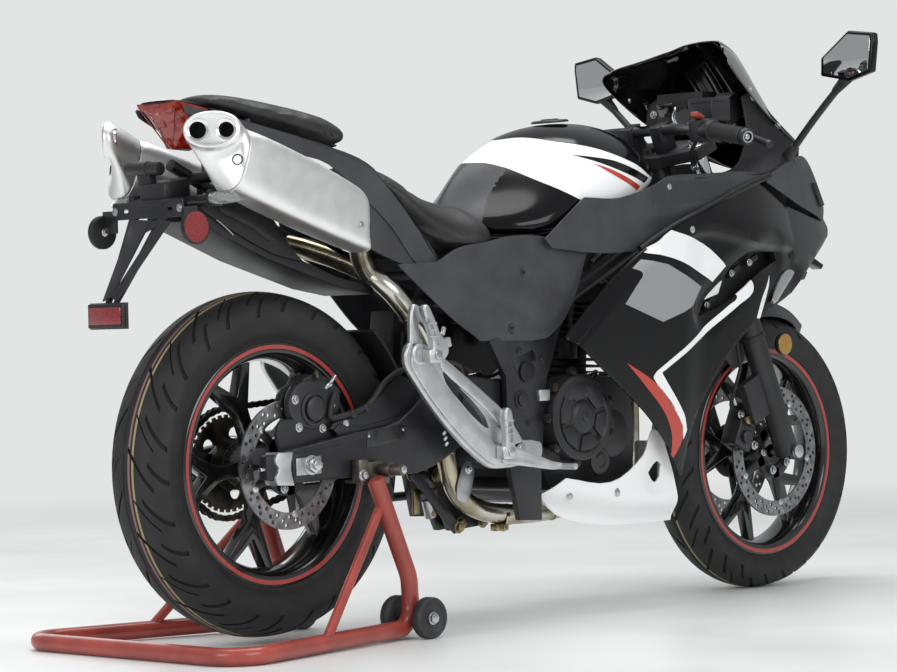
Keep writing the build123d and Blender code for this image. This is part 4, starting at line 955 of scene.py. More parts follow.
def drilled_disc(name, body, node, centre, sides, outer_r, inner_r, hole_rows, arms, bolt_r):
    """Ground brake discs with rows of drilled holes and a black carrier with arms."""
    parts = []
    thick = size_of("disc_thickness") / 2
    for side in sides:
        faces = (side - thick, side + thick)
        ring = turned([
            (inner_r, faces[0]), (outer_r, faces[0]), (outer_r, faces[1]), (inner_r, faces[1])
        ], centre, steps=144)
        pins = []
        for radius, count, first in hole_rows:
            pin = rod(
                centre + mm(radius, side - 6, 0), centre + mm(radius, side + 6, 0), size_of("disc_hole"), 0,
                12
            )
            pins.append(round_copies(pin, centre, count, "Y", first))
        cut_by(ring, joined(pins))
        chamfer(ring, 0.5, 1, 50)
        parts.append(dressed(ring, "disc"))
        middle = side - math.copysign(1, side) * CARRIER_STEP
        near, far = middle - CARRIER_HALF, middle + CARRIER_HALF
        arm = ring_of([mm(x, near, z) for x, z in (
            (bolt_r - 12, -12), (inner_r - 6, -7), (inner_r + 9, -8), (inner_r + 9, 8), (inner_r - 6, 7),
            (bolt_r - 12, 12)
        )])
        extruded(arm, (0, 2 * CARRIER_HALF, 0))
        arm.data.transform(Matrix.Translation(centre))
        arm_ring = round_copies(chamfer(arm, 1, 2), centre, arms, "Y", 10)
        inner = turned([
            (bolt_r - 16, near), (bolt_r + 10, near), (bolt_r + 10, far), (bolt_r - 16, far)
        ], centre, steps=64)
        parts += [dressed(arm_ring, "satin_black"), dressed(chamfer(inner, 0.8), "satin_black")]
        button = rod(
            centre + mm(inner_r + 4, side - 3.4, 0), centre + mm(inner_r + 4, side + 3.4, 0), 7, 0.8, 18
        )
        parts.append(dressed(round_copies(button, centre, arms, "Y", 10), "zinc"))
    made = gathered(parts, name, body, 30)
    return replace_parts(made, node)


def make_wheels():
    """Both tyres, rims and their discs."""
    tyre(
        "rear_tyre_tread", "rear_wheel", "rear_tyre", REAR_WHEEL, REAR_TREAD, REAR_GROOVES, 13, 0.42,
        ((-12, 2), (-21, 3))
    )
    tyre(
        "front_tyre_tread", "front_wheel", "front_tyre", FRONT_WHEEL, FRONT_TREAD, FRONT_GROOVES, 12, -0.38,
        ((-9, 3),)
    )
    rim(
        "rear_rim_cast", "rear_wheel", "rear_rim", REAR_WHEEL, 51, 52, 76, size_of("rear_spoke") / 2, 43,
        ((-84, 44, 5), (90, 62, 5))
    )
    rim(
        "front_rim_cast", "front_wheel", "front_rim", FRONT_WHEEL, 42, 36, 58, size_of("front_spoke") / 2,
        34, ((-69, 42, 5), (69, 42, 5))
    )
    drilled_disc(
        "rear_disc_drilled", "rear_wheel", "rear_disc", REAR_WHEEL, (-80,), 117, 86,
        ((94, 20, 0), (101.5, 20, 9), (109, 20, 4)), 5, 46
    )
    drilled_disc(
        "front_discs_drilled", "front_wheel", "front_discs", FRONT_WHEEL, (63, -63), 138, 106,
        ((114, 22, 0), (122, 22, 8), (130, 22, 4)), 5, 48
    )


# ---------------------------------------------------------------- bodywork

# Half width of the fairing by height, and the share of it by station
FAIRING_WIDTH = ((140, 150), (200, 172), (260, 194), (340, 212), (500, 226), (640, 231), (880, 233))
FAIRING_TAPER = ((560, 0.99), (1080, 1.0), (1210, 0.95), (1345, 0.79), (1500, 0.545), (1590, 0.37))
# Panels seen from the side, as (station, height)
FAIRING_OUTLINE = [
    (837, 712), (898, 749), (1023, 794), (1140, 838), (1237, 863), (1262, 850), (1317, 836), (1369, 821),
    (1497, 798), (1562, 785), (1582, 764), (1571, 748), (1485, 707), (1400, 662), (1342, 624), (1192, 574),
    (1101, 518), (1026, 440), (963, 342), (953, 262), (883, 335), (820, 392), (695, 478), (606, 541),
    (688, 612), (762, 670)
]
FAIRING_VENT = [
    (989, 577), (1009, 610), (1040, 634), (1071, 654), (1103, 684), (1158, 708), (1262, 708), (1270, 690),
    (1198, 666), (1126, 628), (1062, 598)
]
FAIRING_HEM = [(606, 541), (688, 612), (762, 670), (837, 712)]
# Rail under the fairing's upper edge, as (station, side, height)
RAIL = [(837, 200, 712), (898, 213, 749), (1023, 222, 795), (1140, 216, 839), (1237, 206, 864)]
# Heights of the fairing's ridge and lip by station
RIDGE = ((950, 757), (1033, 788), (1142, 767), (1320, 735), (1345, 727), (1590, 748))
LIP = ((900, 732), (958, 744), (1035, 747), (1169, 727), (1330, 718), (1345, 700), (1590, 640))
# More panels seen from the side
UPPER_OUTLINE = [
    (579, 731), (640, 776), (690, 812), (786, 812), (886, 838), (932, 857), (1035, 864), (1140, 870),
    (1237, 868), (1238, 858), (1140, 833), (1023, 790), (898, 744), (837, 708), (730, 704), (600, 714)
]
BELLY_OUTLINE = [
    (892, 356), (945, 292), (967, 231), (984, 170), (816, 170), (680, 190), (601, 240), (656, 270),
    (772, 257), (863, 306),
]
COVER_OUTLINE = [
    (378, 714), (449, 726), (518, 738), (596, 736), (720, 712), (677, 614), (615, 547), (567, 537),
    (437, 539), (374, 579), (300, 640), (250, 684), (329, 688),
]


def edge_distance(line, x, z):
    """Distance in millimetres from a (station, height) point to an open line."""
    best = 1e9
    spot = Vector((x, z))
    for a, b in zip(line, line[1:]):
        start = Vector(a)
        run = Vector(b) - start
        t = min(max((spot - start).dot(run) / run.length_squared, 0), 1)
        best = min(best, (start + run * t - spot).length)
    return best


def fairing_half(x, z):
    """Half width of the side fairing: leaning upper facet, lip over the vent and rolled rear edge."""
    half = curve_value(FAIRING_WIDTH, z) * curve_value(FAIRING_TAPER, x)
    above = z - curve_value(RIDGE, x)
    below = curve_value(LIP, x) - z
    fade = ramp(x, 930, 1010)
    half -= 0.25 * max(above, 0) * fade
    half -= 9 * ramp(below, 0, 14) * fade * (1 - ramp(x, 1330, 1400))
    rear = edge_distance(FAIRING_HEM, x, z)
    half -= 18 * (1 - ramp(rear, 0, 32)) ** 1.6
    vent = edge_distance([(1010, 590), (1060, 625), (1130, 665), (1240, 700)], x, z)
    half -= 7 * (1 - ramp(vent, 22, 58))
    return half


# Heights between which the fairing's sheet lies before it is cut to its outline
FAIRING_BOTTOM = 248
FAIRING_TOP = 880


def fairing_rows(x):
    """Heights of the fairing's rows at a station: they follow its lip and its ridge."""
    lip, ridge = curve_value(LIP, x), curve_value(RIDGE, x)
    low = [FAIRING_BOTTOM + (lip - 14 - FAIRING_BOTTOM) * i / 60 for i in range(61)]
    top = [ridge + (FAIRING_TOP - ridge) * i / 12 for i in range(1, 13)]
    return low + [lip - 9, lip - 4.5, lip, lip + (ridge - lip) * 0.5, ridge] + top


def make_fairings():
    """Side fairings with their vents, printed fields, rail and screws."""
    outline = eased(FAIRING_OUTLINE, (0, 4, 5, 9, 11, 14, 19, 23), 4)
    vent = eased(FAIRING_VENT, (0, 5, 6, 7), 4)
    side = panel(fairing_half, outline, [vent], None, 7.5, levels=0, rows=fairing_rows)
    parts = [dressed(side, "gloss_black")]
    for finish_name, field, sharp in FAIRING_FIELDS:
        parts.append(film(side, eased(field, sharp, 4), finish_name))
    duct = panel(
        lambda x, z: fairing_half(x, z) - 30,
        [(960, 545), (1010, 660), (1150, 735), (1330, 735), (1330, 660), (1090, 560)], (), 2.0, 20
    )
    parts.append(dressed(duct, "under_black"))
    tongue = prism([(1032, 610), (1060, 640), (1092, 650), (1078, 622)], 190, 196, 2)
    parts.append(dressed(tongue, "white"))
    for y0, x0, z0 in ((196, 1120, 664), (194, 1180, 686), (196, 1040, 600)):
        parts.append(bolt(at(x0, y0, z0), (0, 1, 0), 5, 4, "zinc"))
        parts.append(dressed(block(at(x0 + 14, y0 - 6, z0 + 4), (40, 8, 12), 2, (0, -30, 0)), "black_pp"))
    parts.append(dressed(tube(spots(RAIL), 7, 8, 4), "under_black"))
    hem = [(x, fairing_half(x, z) + 0.4, z) for x, z in FAIRING_HEM]
    parts.append(dressed(tube(spots(hem), 3.2, 8, 4), "gloss_black"))
    for x, z in ((958, 750), (1240, 858)):
        parts.append(screw(x, z, fairing_half(x, z) - 0.5, 5))
    gathered_side = joined(parts)
    made = gathered(
        [gathered_side, mirrored(gathered_side)], "side_fairing_panels", "chassis", 28,
    )
    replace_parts(made, "side_fairings")


# Half width of the inner panel by station
UPPER_WIDTH = ((560, 186), (700, 190), (905, 199), (1050, 212), (1150, 214), (1237, 206))


def upper_half(x, z):
    """Half width of the inner panel, folded in above its crease."""
    half = curve_value(UPPER_WIDTH, x)
    crease = 735 + (x - 600) * 0.155
    half -= 13 * ramp(z - crease, 0, 70) * ramp(x, 880, 1040)
    half -= 4 * ramp(crease - z, 0, 30)
    return half


def make_upper_panels():
    """Inner panels from the tank to the screen, with their printed strip and screws."""
    outline = eased(UPPER_OUTLINE, (0, 2, 8, 9, 13, 15), 4)
    side = panel(upper_half, outline, grid=10)
    parts = [dressed(side, "matt_grey")]
    parts.append(film(side, eased(UPPER_STRIP, (0, 3), 4), "carbon"))
    parts.append(screw(931, 836, upper_half(931, 836) - 0.5, 4.5))
    inner = cage((
        [
            (1000, 178, 862), (1120, 168, 866), (1190, 150, 880), (1230, 135, 900), (1250, 130, 930),
            (1262, 128, 950), (1262, 128, 966), (1256, 128, 995), (1244, 130, 1030)
        ],
        [
            (1010, 190, 862), (1130, 188, 870), (1215, 178, 884), (1280, 160, 908), (1330, 146, 930),
            (1340, 142, 950), (1316, 140, 968), (1280, 140, 1000), (1254, 138, 1036)
        ],
        [
            (1010, 200, 854), (1140, 207, 864), (1237, 204, 867), (1320, 182, 893), (1400, 158, 916),
            (1412, 150, 937), (1365, 150, 964), (1300, 149, 1010), (1264, 146, 1042)
        ],
    ), 2.5)
    outer = cage((
        [
            (1236, 200, 850), (1317, 185, 826), (1369, 169, 811), (1430, 148, 800), (1497, 125, 788),
            (1545, 103, 778)
        ],
        [
            (1237, 204, 862), (1322, 190, 866), (1390, 168, 870), (1452, 142, 852), (1508, 122, 826),
            (1552, 101, 804)
        ],
        [
            (1237, 203, 866), (1322, 182, 893), (1402, 158, 917), (1452, 138, 906), (1510, 118, 856),
            (1556, 94, 818)
        ],
    ), 3.0)
    # The slit is a near-black plate on the outer panel: painted shade in place of an opening
    shaded_slit_plate = slab(spots((
        (1458, 143, 856), (1478, 137, 858), (1536, 112, 812), (1512, 121, 806)
    )), 2.5, 0.4, (0.4, 1, 0))
    parts += [dressed(inner, "black_pp"), dressed(outer, "matt_grey"), dressed(shaded_slit_plate, "under_black")]
    parts.append(bolt(at(1266, 146, 1030), (-0.6, 0.7, 0), 5, 2, "zinc"))
    whole = joined(parts)
    made = gathered([whole, mirrored(whole)], "upper_inner_panels", "chassis", 38)
    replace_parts(made, "upper_panels")


# Half width of the belly pan and height of its bottom, by station
BELLY_WIDTH = ((590, 150), (700, 160), (816, 172), (1000, 168))
BELLY_LOW = ((590, 226), (700, 206), (816, 186), (1000, 178))


def belly_half(x, z):
    """Half width of the belly pan, tucked under towards its bottom."""
    half = curve_value(BELLY_WIDTH, x)
    bottom = curve_value(BELLY_LOW, x)
    half += 8 * ramp(z, 262, 380)
    half -= 34 * (1 - ramp(z, bottom - 10, bottom + 46)) ** 1.4
    dent = (Vector((x, z)) - Vector((905, 262))).length
    half -= 7 * (1 - ramp(dent, 16, 46))
    return half


def make_belly_pan():
    """Belly pan: two sides, the floor between them, its openings and rivets."""
    outline = eased(BELLY_OUTLINE, (3, 6, 7), 4)
    opening = eased([(884, 270), (907, 292), (922, 286), (921, 262), (904, 250)], (0, 2, 3), 3)
    side = panel(belly_half, outline, [opening], grid=12)
    parts = [dressed(side, "white")]
    back = panel(
        lambda x, z: belly_half(x, z) - 24, [(868, 240), (895, 306), (938, 300), (938, 238)], (), 2.0, 20
    )
    parts.append(dressed(back, "under_black"))
    for x, z in ((672, 236), (788, 236)):
        parts.append(bolt(at(x, belly_half(x, z) - 1, z), (0, 1, 0), 6, 1.6, "zinc", socket=False))
    whole = joined(parts)
    stations = spaced(604, 984, 20)
    sides = spaced(-1, 1, 0.125)

    def floor_place(row, column):
        """Place of one vertex of the floor, which turns up at its sides."""
        x = stations[column]
        low = curve_value(BELLY_LOW, x) + 2
        return at(x, sides[row] * (belly_half(x, low + 4) - 2), low + 16 * abs(sides[row]) ** 6)

    floor = grid_of(len(stations), len(sides), floor_place)
    modify(floor, "SOLIDIFY", thickness=size_of("panel_wall") * MM, offset=0)
    front = [(-150, 186), (-158, 262), (-120, 330), (120, 330), (158, 262), (150, 186)]
    nose = ring_of([at(972, y, z) for y, z in front])
    extruded(nose, (-4, 0, 0))
    parts = [whole, mirrored(whole), dressed(floor, "white"), dressed(chamfer(nose, 1.2), "white")]
    made = gathered(parts, "belly_pan_shell", "chassis", 38)
    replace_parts(made, "belly_pan")


# Rubber plugs of the side cover, and its half width by station
COVER_PLUGS = ((541, 668), (517, 562))
COVER_WIDTH = ((240, 128), (400, 154), (560, 168), (700, 170), (760, 168))


def cover_half(x, z):
    """Half width of the side cover, with the ridge that runs down and forwards."""
    half = curve_value(COVER_WIDTH, x)
    ridge = z - (672 - (x - 378) * 0.40)
    half -= 10 * ramp(-ridge, -2, 10) * ramp(700 - x, 20, 160)
    rim_line = edge_distance([(437, 539), (567, 537), (615, 547), (677, 614), (720, 700)], x, z)
    half -= 5 * (1 - ramp(rim_line, 0, 12))
    for plug in COVER_PLUGS:
        half -= 3.5 * (1 - ramp((Vector((x, z)) - Vector(plug)).length, 8, 15))
    return half


def make_side_covers():
    """Covers under the seat with their rubber plugs."""
    outline = eased(COVER_OUTLINE, (4, 7, 8, 11, 12), 4)
    side = panel(cover_half, outline, grid=9)
    parts = [dressed(side, "matt_grey")]
    for x, z in COVER_PLUGS:
        half = cover_half(x, z)
        plug = turned([
            (0.01, -1), (0.01, 2.2), (3.4, 2.2), (4.2, 0.2), (7.4, 0.2), (8.4, 1.8), (11, 1.4), (11, -1)
        ], at(x, half, z), steps=28)
        parts.append(dressed(plug, "under_black"))
    whole = joined(parts)
    made = gathered([whole, mirrored(whole)], "seat_side_covers", "chassis", 40)
    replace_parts(made, "side_covers")


# Lower and upper edge of the tail shell: station, height, half width
TAIL_LOW = ((-235, 925, 60), (-60, 890, 80), (150, 790, 92), (262, 640, 122), (390, 600, 142))
TAIL_TOP = ((-235, 985, 64), (-60, 962, 78), (150, 912, 86), (262, 838, 104), (390, 740, 122))
TAIL_OUTLINE = [
    (-215, 966), (-63, 938), (150, 892), (216, 862), (258, 803), (340, 712), (374, 632),
    (330, 660), (225, 700), (155, 735), (121, 870), (20, 890), (-100, 912), (-205, 950),
]


def tail_half(x, z):
    """Half width of the tail shell between its lower and upper edges."""
    low_z, low = table_values(TAIL_LOW, x)
    top_z, top = table_values(TAIL_TOP, x)
    share = min(max((z - low_z) / (top_z - low_z), 0), 1.15)
    return low + (top - low) * share


def make_tail():
    """Tail shell: the long outer blade, the leg under the seat and its gloss inlay."""
    outline = eased(TAIL_OUTLINE, (0, 6, 9, 10, 13), 4)
    shell = panel(tail_half, outline, grid=11)
    blade = panel(lambda x, z: tail_half(x, z) + 2.6, eased(TAIL_BLADE, (0, 4), 4), (), 2.4, 11)
    inlay = panel(lambda x, z: tail_half(x, z) + 1.2, TAIL_INLAY, (), 2.0, 11)
    whole = joined([dressed(shell, "tail_grey"), dressed(blade, "matt_grey"), dressed(inlay, "gloss_black")])
    lid = lofted([
        [at(x, y, z) for y, z in ((-w, b), (-w * 0.92, t), (w * 0.92, t), (w, b))]
        for x, w, b, t in (
            (-226, 44, 972, 977), (-214, 60, 970, 981), (-160, 74, 962, 970), (-80, 76, 946, 957),
            (60, 80, 918, 931), (150, 84, 898, 910)
        )
    ], 2)
    made = gathered(
        [whole, mirrored(whole), dressed(lid, "gloss_black")], "tail_shell", "chassis", 38,
    )
    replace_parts(made, "tail_cowl")


# Sections of the tank: station, and half of each as (side, height) from the bottom up
TANK_RINGS = (
    (468, [(0, 738), (20, 740), (34, 748), (36, 762), (30, 776), (16, 784), (0, 788)]),
    (500, [(0, 738), (70, 741), (92, 750), (86, 772), (40, 800), (18, 824), (0, 838)]),
    (540, [(0, 736), (120, 739), (140, 750), (128, 778), (72, 806), (30, 856), (0, 884)]),
    (590, [(0, 736), (150, 738), (172, 750), (160, 788), (112, 822), (58, 884), (0, 922)]),
    (650, [(0, 742), (152, 744), (180, 756), (184, 796), (150, 846), (86, 912), (0, 950)]),
    (740, [(0, 762), (150, 764), (178, 776), (184, 828), (166, 886), (104, 946), (0, 973)]),
    (830, [(0, 790), (148, 792), (174, 806), (176, 846), (154, 896), (98, 950), (0, 983)]),
    (900, [(0, 815), (136, 817), (160, 830), (160, 862), (140, 900), (90, 948), (0, 980)]),
    (950, [(0, 835), (118, 836), (140, 846), (140, 868), (124, 900), (80, 938), (0, 961)]),
    (984, [(0, 850), (80, 850), (108, 856), (110, 872), (96, 890), (62, 906), (0, 916)]),
)


def make_tank():
    """Fuel tank with its white flanks, dark knee hollows, black side inlays and filler cap."""
    tank = lofted([full_ring(x, half) for x, half in TANK_RINGS], 2)
    modify(tank, "SUBSURF", levels=1, render_levels=1)
    parts = [dressed(tank, "white")]
    for finish_name, field, sharp, low, high in TANK_FIELDS:
        right = film(tank, eased(field, sharp, 4), finish_name, -high, -low, 0.5)
        parts += [right, mirrored(right)]
    ring = turned([(18, 0), (38, 0), (38, 3), (35, 5), (20, 6), (18, 5)], at(800, 0, 971), (-0.08, 0, 1), 48)
    lid = turned([(0.01, 0), (18, 0), (18, 7), (15, 8), (0.01, 8)], at(800, 0, 971), (-0.08, 0, 1), 40)
    parts += [dressed(chamfer(ring, 0.8), "satin_black"), dressed(chamfer(lid, 0.8), "satin_black")]
    made = gathered(parts, "fuel_tank_painted", "chassis", 40)
    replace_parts(made, "fuel_tank")


# How hard the covers press outwards, the mesh on which they do in millimetres, and for how many steps
COVER_PRESSURE = 4.0
COVER_VOXEL = 5
COVER_STEPS = 20


def padded_skin(obj, cap_mm):
    """Swells a closed pad a little by cloth pressure, as foam under a tight cover."""
    modify(obj, "REMESH", mode="VOXEL", voxel_size=COVER_VOXEL * MM)
    before = [v.co.copy() for v in obj.data.vertices]
    cloth = obj.modifiers.new("Cover", "CLOTH")
    cloth.settings.use_pressure = True
    cloth.settings.uniform_pressure_force = COVER_PRESSURE
    cloth.settings.effector_weights.gravity = 0
    scene = bpy.context.scene
    for step in range(COVER_STEPS):
        scene.frame_set(step + 1)
    alone(obj)
    bpy.ops.object.modifier_apply(modifier=cloth.name)
    scene.frame_set(1)
    for vertex, rest in zip(obj.data.vertices, before):
        move = vertex.co - rest
        if move.length > cap_mm * MM:
            vertex.co = rest + move.normalized() * cap_mm * MM
    modify(obj, "SMOOTH", factor=0.5, iterations=3)
    return modify(obj, "SUBSURF", levels=1, render_levels=1)


# Sections of both pads, given like the tank's
RIDER_PAD = (
    (212, [(0, 850), (60, 850), (82, 857), (78, 866), (40, 873), (0, 874)]),
    (250, [(0, 815), (90, 815), (112, 826), (98, 850), (60, 860), (0, 860)]),
    (290, [(0, 775), (112, 775), (132, 792), (112, 826), (60, 842), (0, 840)]),
    (340, [(0, 735), (124, 735), (144, 754), (122, 796), (60, 814), (0, 812)]),
    (390, [(0, 708), (134, 708), (156, 728), (136, 778), (64, 800), (0, 798)]),
    (430, [(0, 700), (140, 700), (165, 720), (150, 772), (72, 798), (0, 798)]),
    (462, [(0, 704), (138, 704), (164, 722), (154, 762), (74, 794), (0, 796)]),
    (480, [(0, 720), (104, 720), (146, 732), (140, 752), (66, 778), (0, 782)]),
)
PILLION_PAD = (
    (-150, [(0, 968), (50, 968), (62, 975), (50, 984), (0, 988)]),
    (-112, [(0, 957), (66, 957), (81, 968), (66, 983), (0, 991)]),
    (-40, [(0, 940), (78, 940), (95, 954), (80, 975), (0, 986)]),
    (50, [(0, 922), (86, 922), (103, 938), (88, 961), (0, 974)]),
    (122, [(0, 906), (88, 906), (104, 922), (90, 947), (0, 962)]),
    (152, [(0, 902), (84, 902), (99, 917), (84, 938), (0, 953)]),
    (162, [(0, 910), (70, 910), (80, 920), (70, 934), (0, 943)]),
)


# Heights of the pillion's seams over their distance from the middle
SEAM_HEIGHTS = [(0, 961), (50, 957), (74, 948), (90, 934), (97, 920)]


def make_seats():
    """Rider's and pillion's pads in grained vinyl, the pillion's with its seams."""
    for name, node, rings, cap, fill, seam_x in (
        ("rider_seat_pad", "rider_seat", RIDER_PAD, 6, 0.8, None),
        ("pillion_seat_pad", "pillion_seat", PILLION_PAD, 5, 0.85, 100),
    ):
        pad = lofted([full_ring(x, half) for x, half in rings], 2)
        padded_skin(pad, cap)
        if seam_x is not None:
            seams = []
            for gap in (0, 16):
                route = [
                    at(seam_x + gap, y, curve_value(SEAM_HEIGHTS, abs(y)) - gap * 0.2)
                    for y in range(-96, 97, 12)
                ]
                seams.append(dressed(tube(route, size_of("seam_radius"), 4, 3), "under_black"))
            pad = joined([dressed(pad, "vinyl")] + seams)
            made = finish(pad, name, "chassis", None, 60)
        else:
            made = finish(pad, name, "chassis", "vinyl", 60)
        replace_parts(made, node)


# Points round a silencer's section, and the way in which its end face is long
CAN_STEPS = 28
CAP_OUT = Vector((0.67, -0.74, 0)).normalized()


def rounded_turn(step, corner):
    """Cosine and sine of one step round a section, squared up by a higher corner."""
    angle = 2 * math.pi * step / CAN_STEPS
    return tuple(math.copysign(abs(v) ** (2 / corner), v) for v in (math.cos(angle), math.sin(angle)))


def can_ring(centre, along, height, width, corner=2.6, lean=0):
    """Rounded section of a silencer, square to its axis or leaning over it."""
    up = (Vector((0, 0, 1)) - along * along.z).normalized()
    side = along.cross(up)
    ring = []
    for step in range(CAN_STEPS):
        c, s = rounded_turn(step, corner)
        slope = math.sin(2 * math.pi * step / CAN_STEPS)
        place = centre + side * c * width / 2 * MM + up * s * height / 2 * MM
        ring.append(place - along * slope * lean * MM)
    return ring


def cap_oval(centre, half_long, half_high):
    """Oval of a silencer's end face, numbered like the sections of its body."""
    ring = []
    for step in range(CAN_STEPS):
        c, s = rounded_turn(step, 2.2)
        ring.append(centre + CAP_OUT * c * half_long * MM + Vector((0, 0, 1)) * s * half_high * MM)
    return ring


def make_silencers():
    """Underseat silencers: satin blasted bodies and oval end faces, with two outlets side by side in polished
    dishes.
    """
    rear = at(-183, -147, 868)
    front = at(126, -135, 764)
    along = (front - rear).normalized()
    length = (front - rear).length / MM
    face = at(-222, -148, 917)
    look = Vector((-0.74, -0.67, 0)).normalized()
    body_rows = (
        (0.02, 117, 78, 3.0, 0), (0.12, 122, 82, 3.8, 0), (0.45, 122, 84, 4.6, 0), (0.8, 114, 80, 4.8, 14),
        (1.0, 106, 77, 4.8, 30), (1.015, 99, 71, 4.4, 31)
    )
    rings = [
        can_ring(rear + along * share * length * MM, along, h, w, c, lean)
        for share, h, w, c, lean in body_rows
    ]
    body = lofted(rings, 1)
    tip = rear + along * length * MM
    cone = lofted([
        can_ring(tip + along * 1 * MM, along, 84, 58, 3.0, 20),
        can_ring(tip + along * 4 * MM, along, 58, 50, 2.2, 8),
        can_ring(tip + along * 14 * MM, along, 45, 42, 2.0)
    ], 1)
    neck = [a.lerp(b, 0.55) for a, b in zip(cap_oval(face - look * 14 * MM, 52, 34), rings[0])]
    cap = lofted([
        cap_oval(face - look * 3 * MM, 38, 22), cap_oval(face, 43, 26),
        cap_oval(face + look * 1.5 * MM, 48, 30.5), cap_oval(face - look * 3 * MM, 51.5, 33.5),
        cap_oval(face - look * 14 * MM, 52.5, 35), neck, rings[0]
    ], 1)
    parts = [dressed(body, "silencer"), dressed(cone, "stainless"), dressed(cap, "silencer")]
    for shift, bore in ((-25, 13.5), (25, 12)):
        spot = face + CAP_OUT * shift * MM
        hole = rod(spot - look * 25 * MM, spot + look * 30 * MM, bore + 4.5, 0, 40)
        cut_by(cap, hole)
        dish = turned([
            (bore, -6), (bore + 1.5, -1), (bore + 5.5, 1.2), (bore + 6.2, 0.4), (bore + 5, -5),
            (bore + 2, -24), (bore, -24)
        ], spot, look, 48)
        parts.append(dressed(dish, "cap"))
        # Near-black lining and a near-black disc 20 mm in: partly soot, partly painted shade deep in each
        # outlet
        parts.append(dressed(turned([
            (bore - 0.2, -23), (bore + 0.3, -23), (bore + 0.3, -7), (bore - 0.2, -7)
        ], spot, look, 40), "bore"))
        parts.append(dressed(rod(spot - look * 23 * MM, spot - look * 20 * MM, bore, 0, 40), "bore"))
    spot, facing = cap.closest_point_on_mesh(at(-207, -187, 868))[1:3]
    dimple = turned([(0.5, -2), (6, -1), (9, 1.2), (10, 0.6), (10, -4), (0.5, -4)], spot, facing, 32)
    parts.append(dressed(dimple, "black_pp"))
    parts.append(bolt(rear + along * 0.93 * length * MM + mm(0, -39.5, -18), (0, -1, 0), 5, 2, "zinc"))
    at_seam = rear + along * 0.03 * length * MM
    seam = can_ring(at_seam, along, 117.6, 78.4, 3.0)
    parts.append(dressed(tube(seam, 0.5, 3, 2, True), "silencer"))
    whole = joined(parts)
    made = gathered([whole, mirrored(whole)], "twin_silencers", "chassis", 42)
    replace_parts(made, "silencers")


# Share of the way down: middle station, sweep of the sides, half width, middle height, drop of the sides
SCREEN_ROWS = (
    (0.0, 1278, 64, 112, 1152, 32), (0.08, 1294, 118, 152, 1140, 34), (0.2, 1318, 162, 176, 1118, 32),
    (0.4, 1362, 168, 177, 1070, 20), (0.7, 1430, 150, 167, 985, -10), (1.0, 1500, 95, 150, 885, -50),
)


def screen_place(x_share, side_share):
    """Place on the screen: down its slope and across it, wrapped back at the sides, with a raised middle."""
    middle, back, half, height, drop = table_values(SCREEN_ROWS, x_share)
    bubble = 9 * (1 - ramp(abs(side_share), 0.4, 0.58)) * (1 - x_share)
    wrap = abs(side_share) ** 2.2
    return at(
        middle - back * wrap + bubble, half * side_share * (1 + 0.08 * (1 - abs(side_share))),
        height - drop * wrap + bubble * 0.7
    )


def make_screen():
    """Smoked double-bubble screen with its screws."""
    rows = spaced(0, 1, 0.04)
    sides = spaced(-1, 1, 0.05)
    screen = grid_of(len(sides), len(rows), lambda row, column: screen_place(rows[row], sides[column]))
    modify(screen, "SUBSURF", levels=1, render_levels=1, boundary_smooth="ALL")
    outward(screen)
    modify(screen, "SOLIDIFY", thickness=size_of("screen_wall") * MM, offset=0)
    chamfer(screen, 0.9, 2, 60)
    parts = [dressed(screen, "screen")]
    for share, side in ((0.45, 0.93), (0.8, 0.93)):
        for sign in (1, -1):
            spot = screen_place(share, side * sign)
            parts.append(bolt(spot + mm(-2, 0, 0), (-0.75, 0.35 * sign, -0.3), 4.5, 2, "zinc"))
    made = gathered(parts, "smoked_windscreen", "chassis", 45)
    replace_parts(made, "windscreen")


# Sections of the nose, given like the tank's
NOSE_RINGS = (
    (1402, [(0, 722), (110, 722), (128, 742), (132, 800), (128, 868), (96, 884), (0, 896)]),
    (1450, [(0, 716), (98, 716), (114, 736), (116, 798), (108, 852), (80, 866), (0, 876)]),
    (1510, [(0, 714), (78, 714), (92, 732), (95, 780), (84, 822), (62, 836), (0, 846)]),
    (1560, [(0, 722), (56, 722), (70, 738), (72, 772), (62, 798), (44, 808), (0, 818)]),
    (1586, [(0, 736), (36, 736), (48, 748), (48, 770), (40, 784), (28, 790), (0, 796)]),
)


def make_nose():
    """Nose with its beak, twin headlamps and side lamps."""
    shell = lofted([full_ring(x, half) for x, half in NOSE_RINGS], 2)
    parts = [dressed(shell, "gloss_black")]
    for side in (1, -1):
        lamp = ring_of([
            at(1548 + (y - 40) * -0.45, y * side, z)
            for y, z in ((14, 762), (46, 752), (78, 772), (88, 806), (56, 812), (20, 790))
        ])
        extruded(lamp, (36, 0, 0))
        parts.append(dressed(chamfer(lamp, 3, 3), "clear_lens"))
        fin = prism([(1466, 700), (1471, 717), (1543, 684), (1536, 674)], side * 78, side * 104, 2)
        small = prism([(1421, 654), (1440, 676), (1488, 669), (1476, 652)], side * 84, side * 104, 2)
        parts += [dressed(fin, "gloss_black"), dressed(small, "matt_grey")]
        low = [(1232, 601), (1252, 602), (1282, 625), (1322, 648), (1340, 660)]
        high = [(1228, 607), (1246, 630), (1284, 664), (1310, 672), (1334, 671)]
        rows = [[(x, fairing_half(x, z) + 6, z) for x, z in line] for line in (low, high)]
        middle = [((a[0] + b[0]) / 2, (a[1] + b[1]) / 2 + 5, (a[2] + b[2]) / 2) for a, b in zip(*rows)]
        blinker = cage((rows[0], middle, rows[1]), 6.0, 2, 1.5)
        parts.append(dressed(blinker if side > 0 else mirrored(blinker), "clear_lens"))
        if side < 0:
            bpy.data.objects.remove(blinker)
    made = gathered(parts, "nose_fairing", "chassis", 40)
    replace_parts(made, "nose_cowl")


# ---------------------------------------------------------------- shared with the CAD

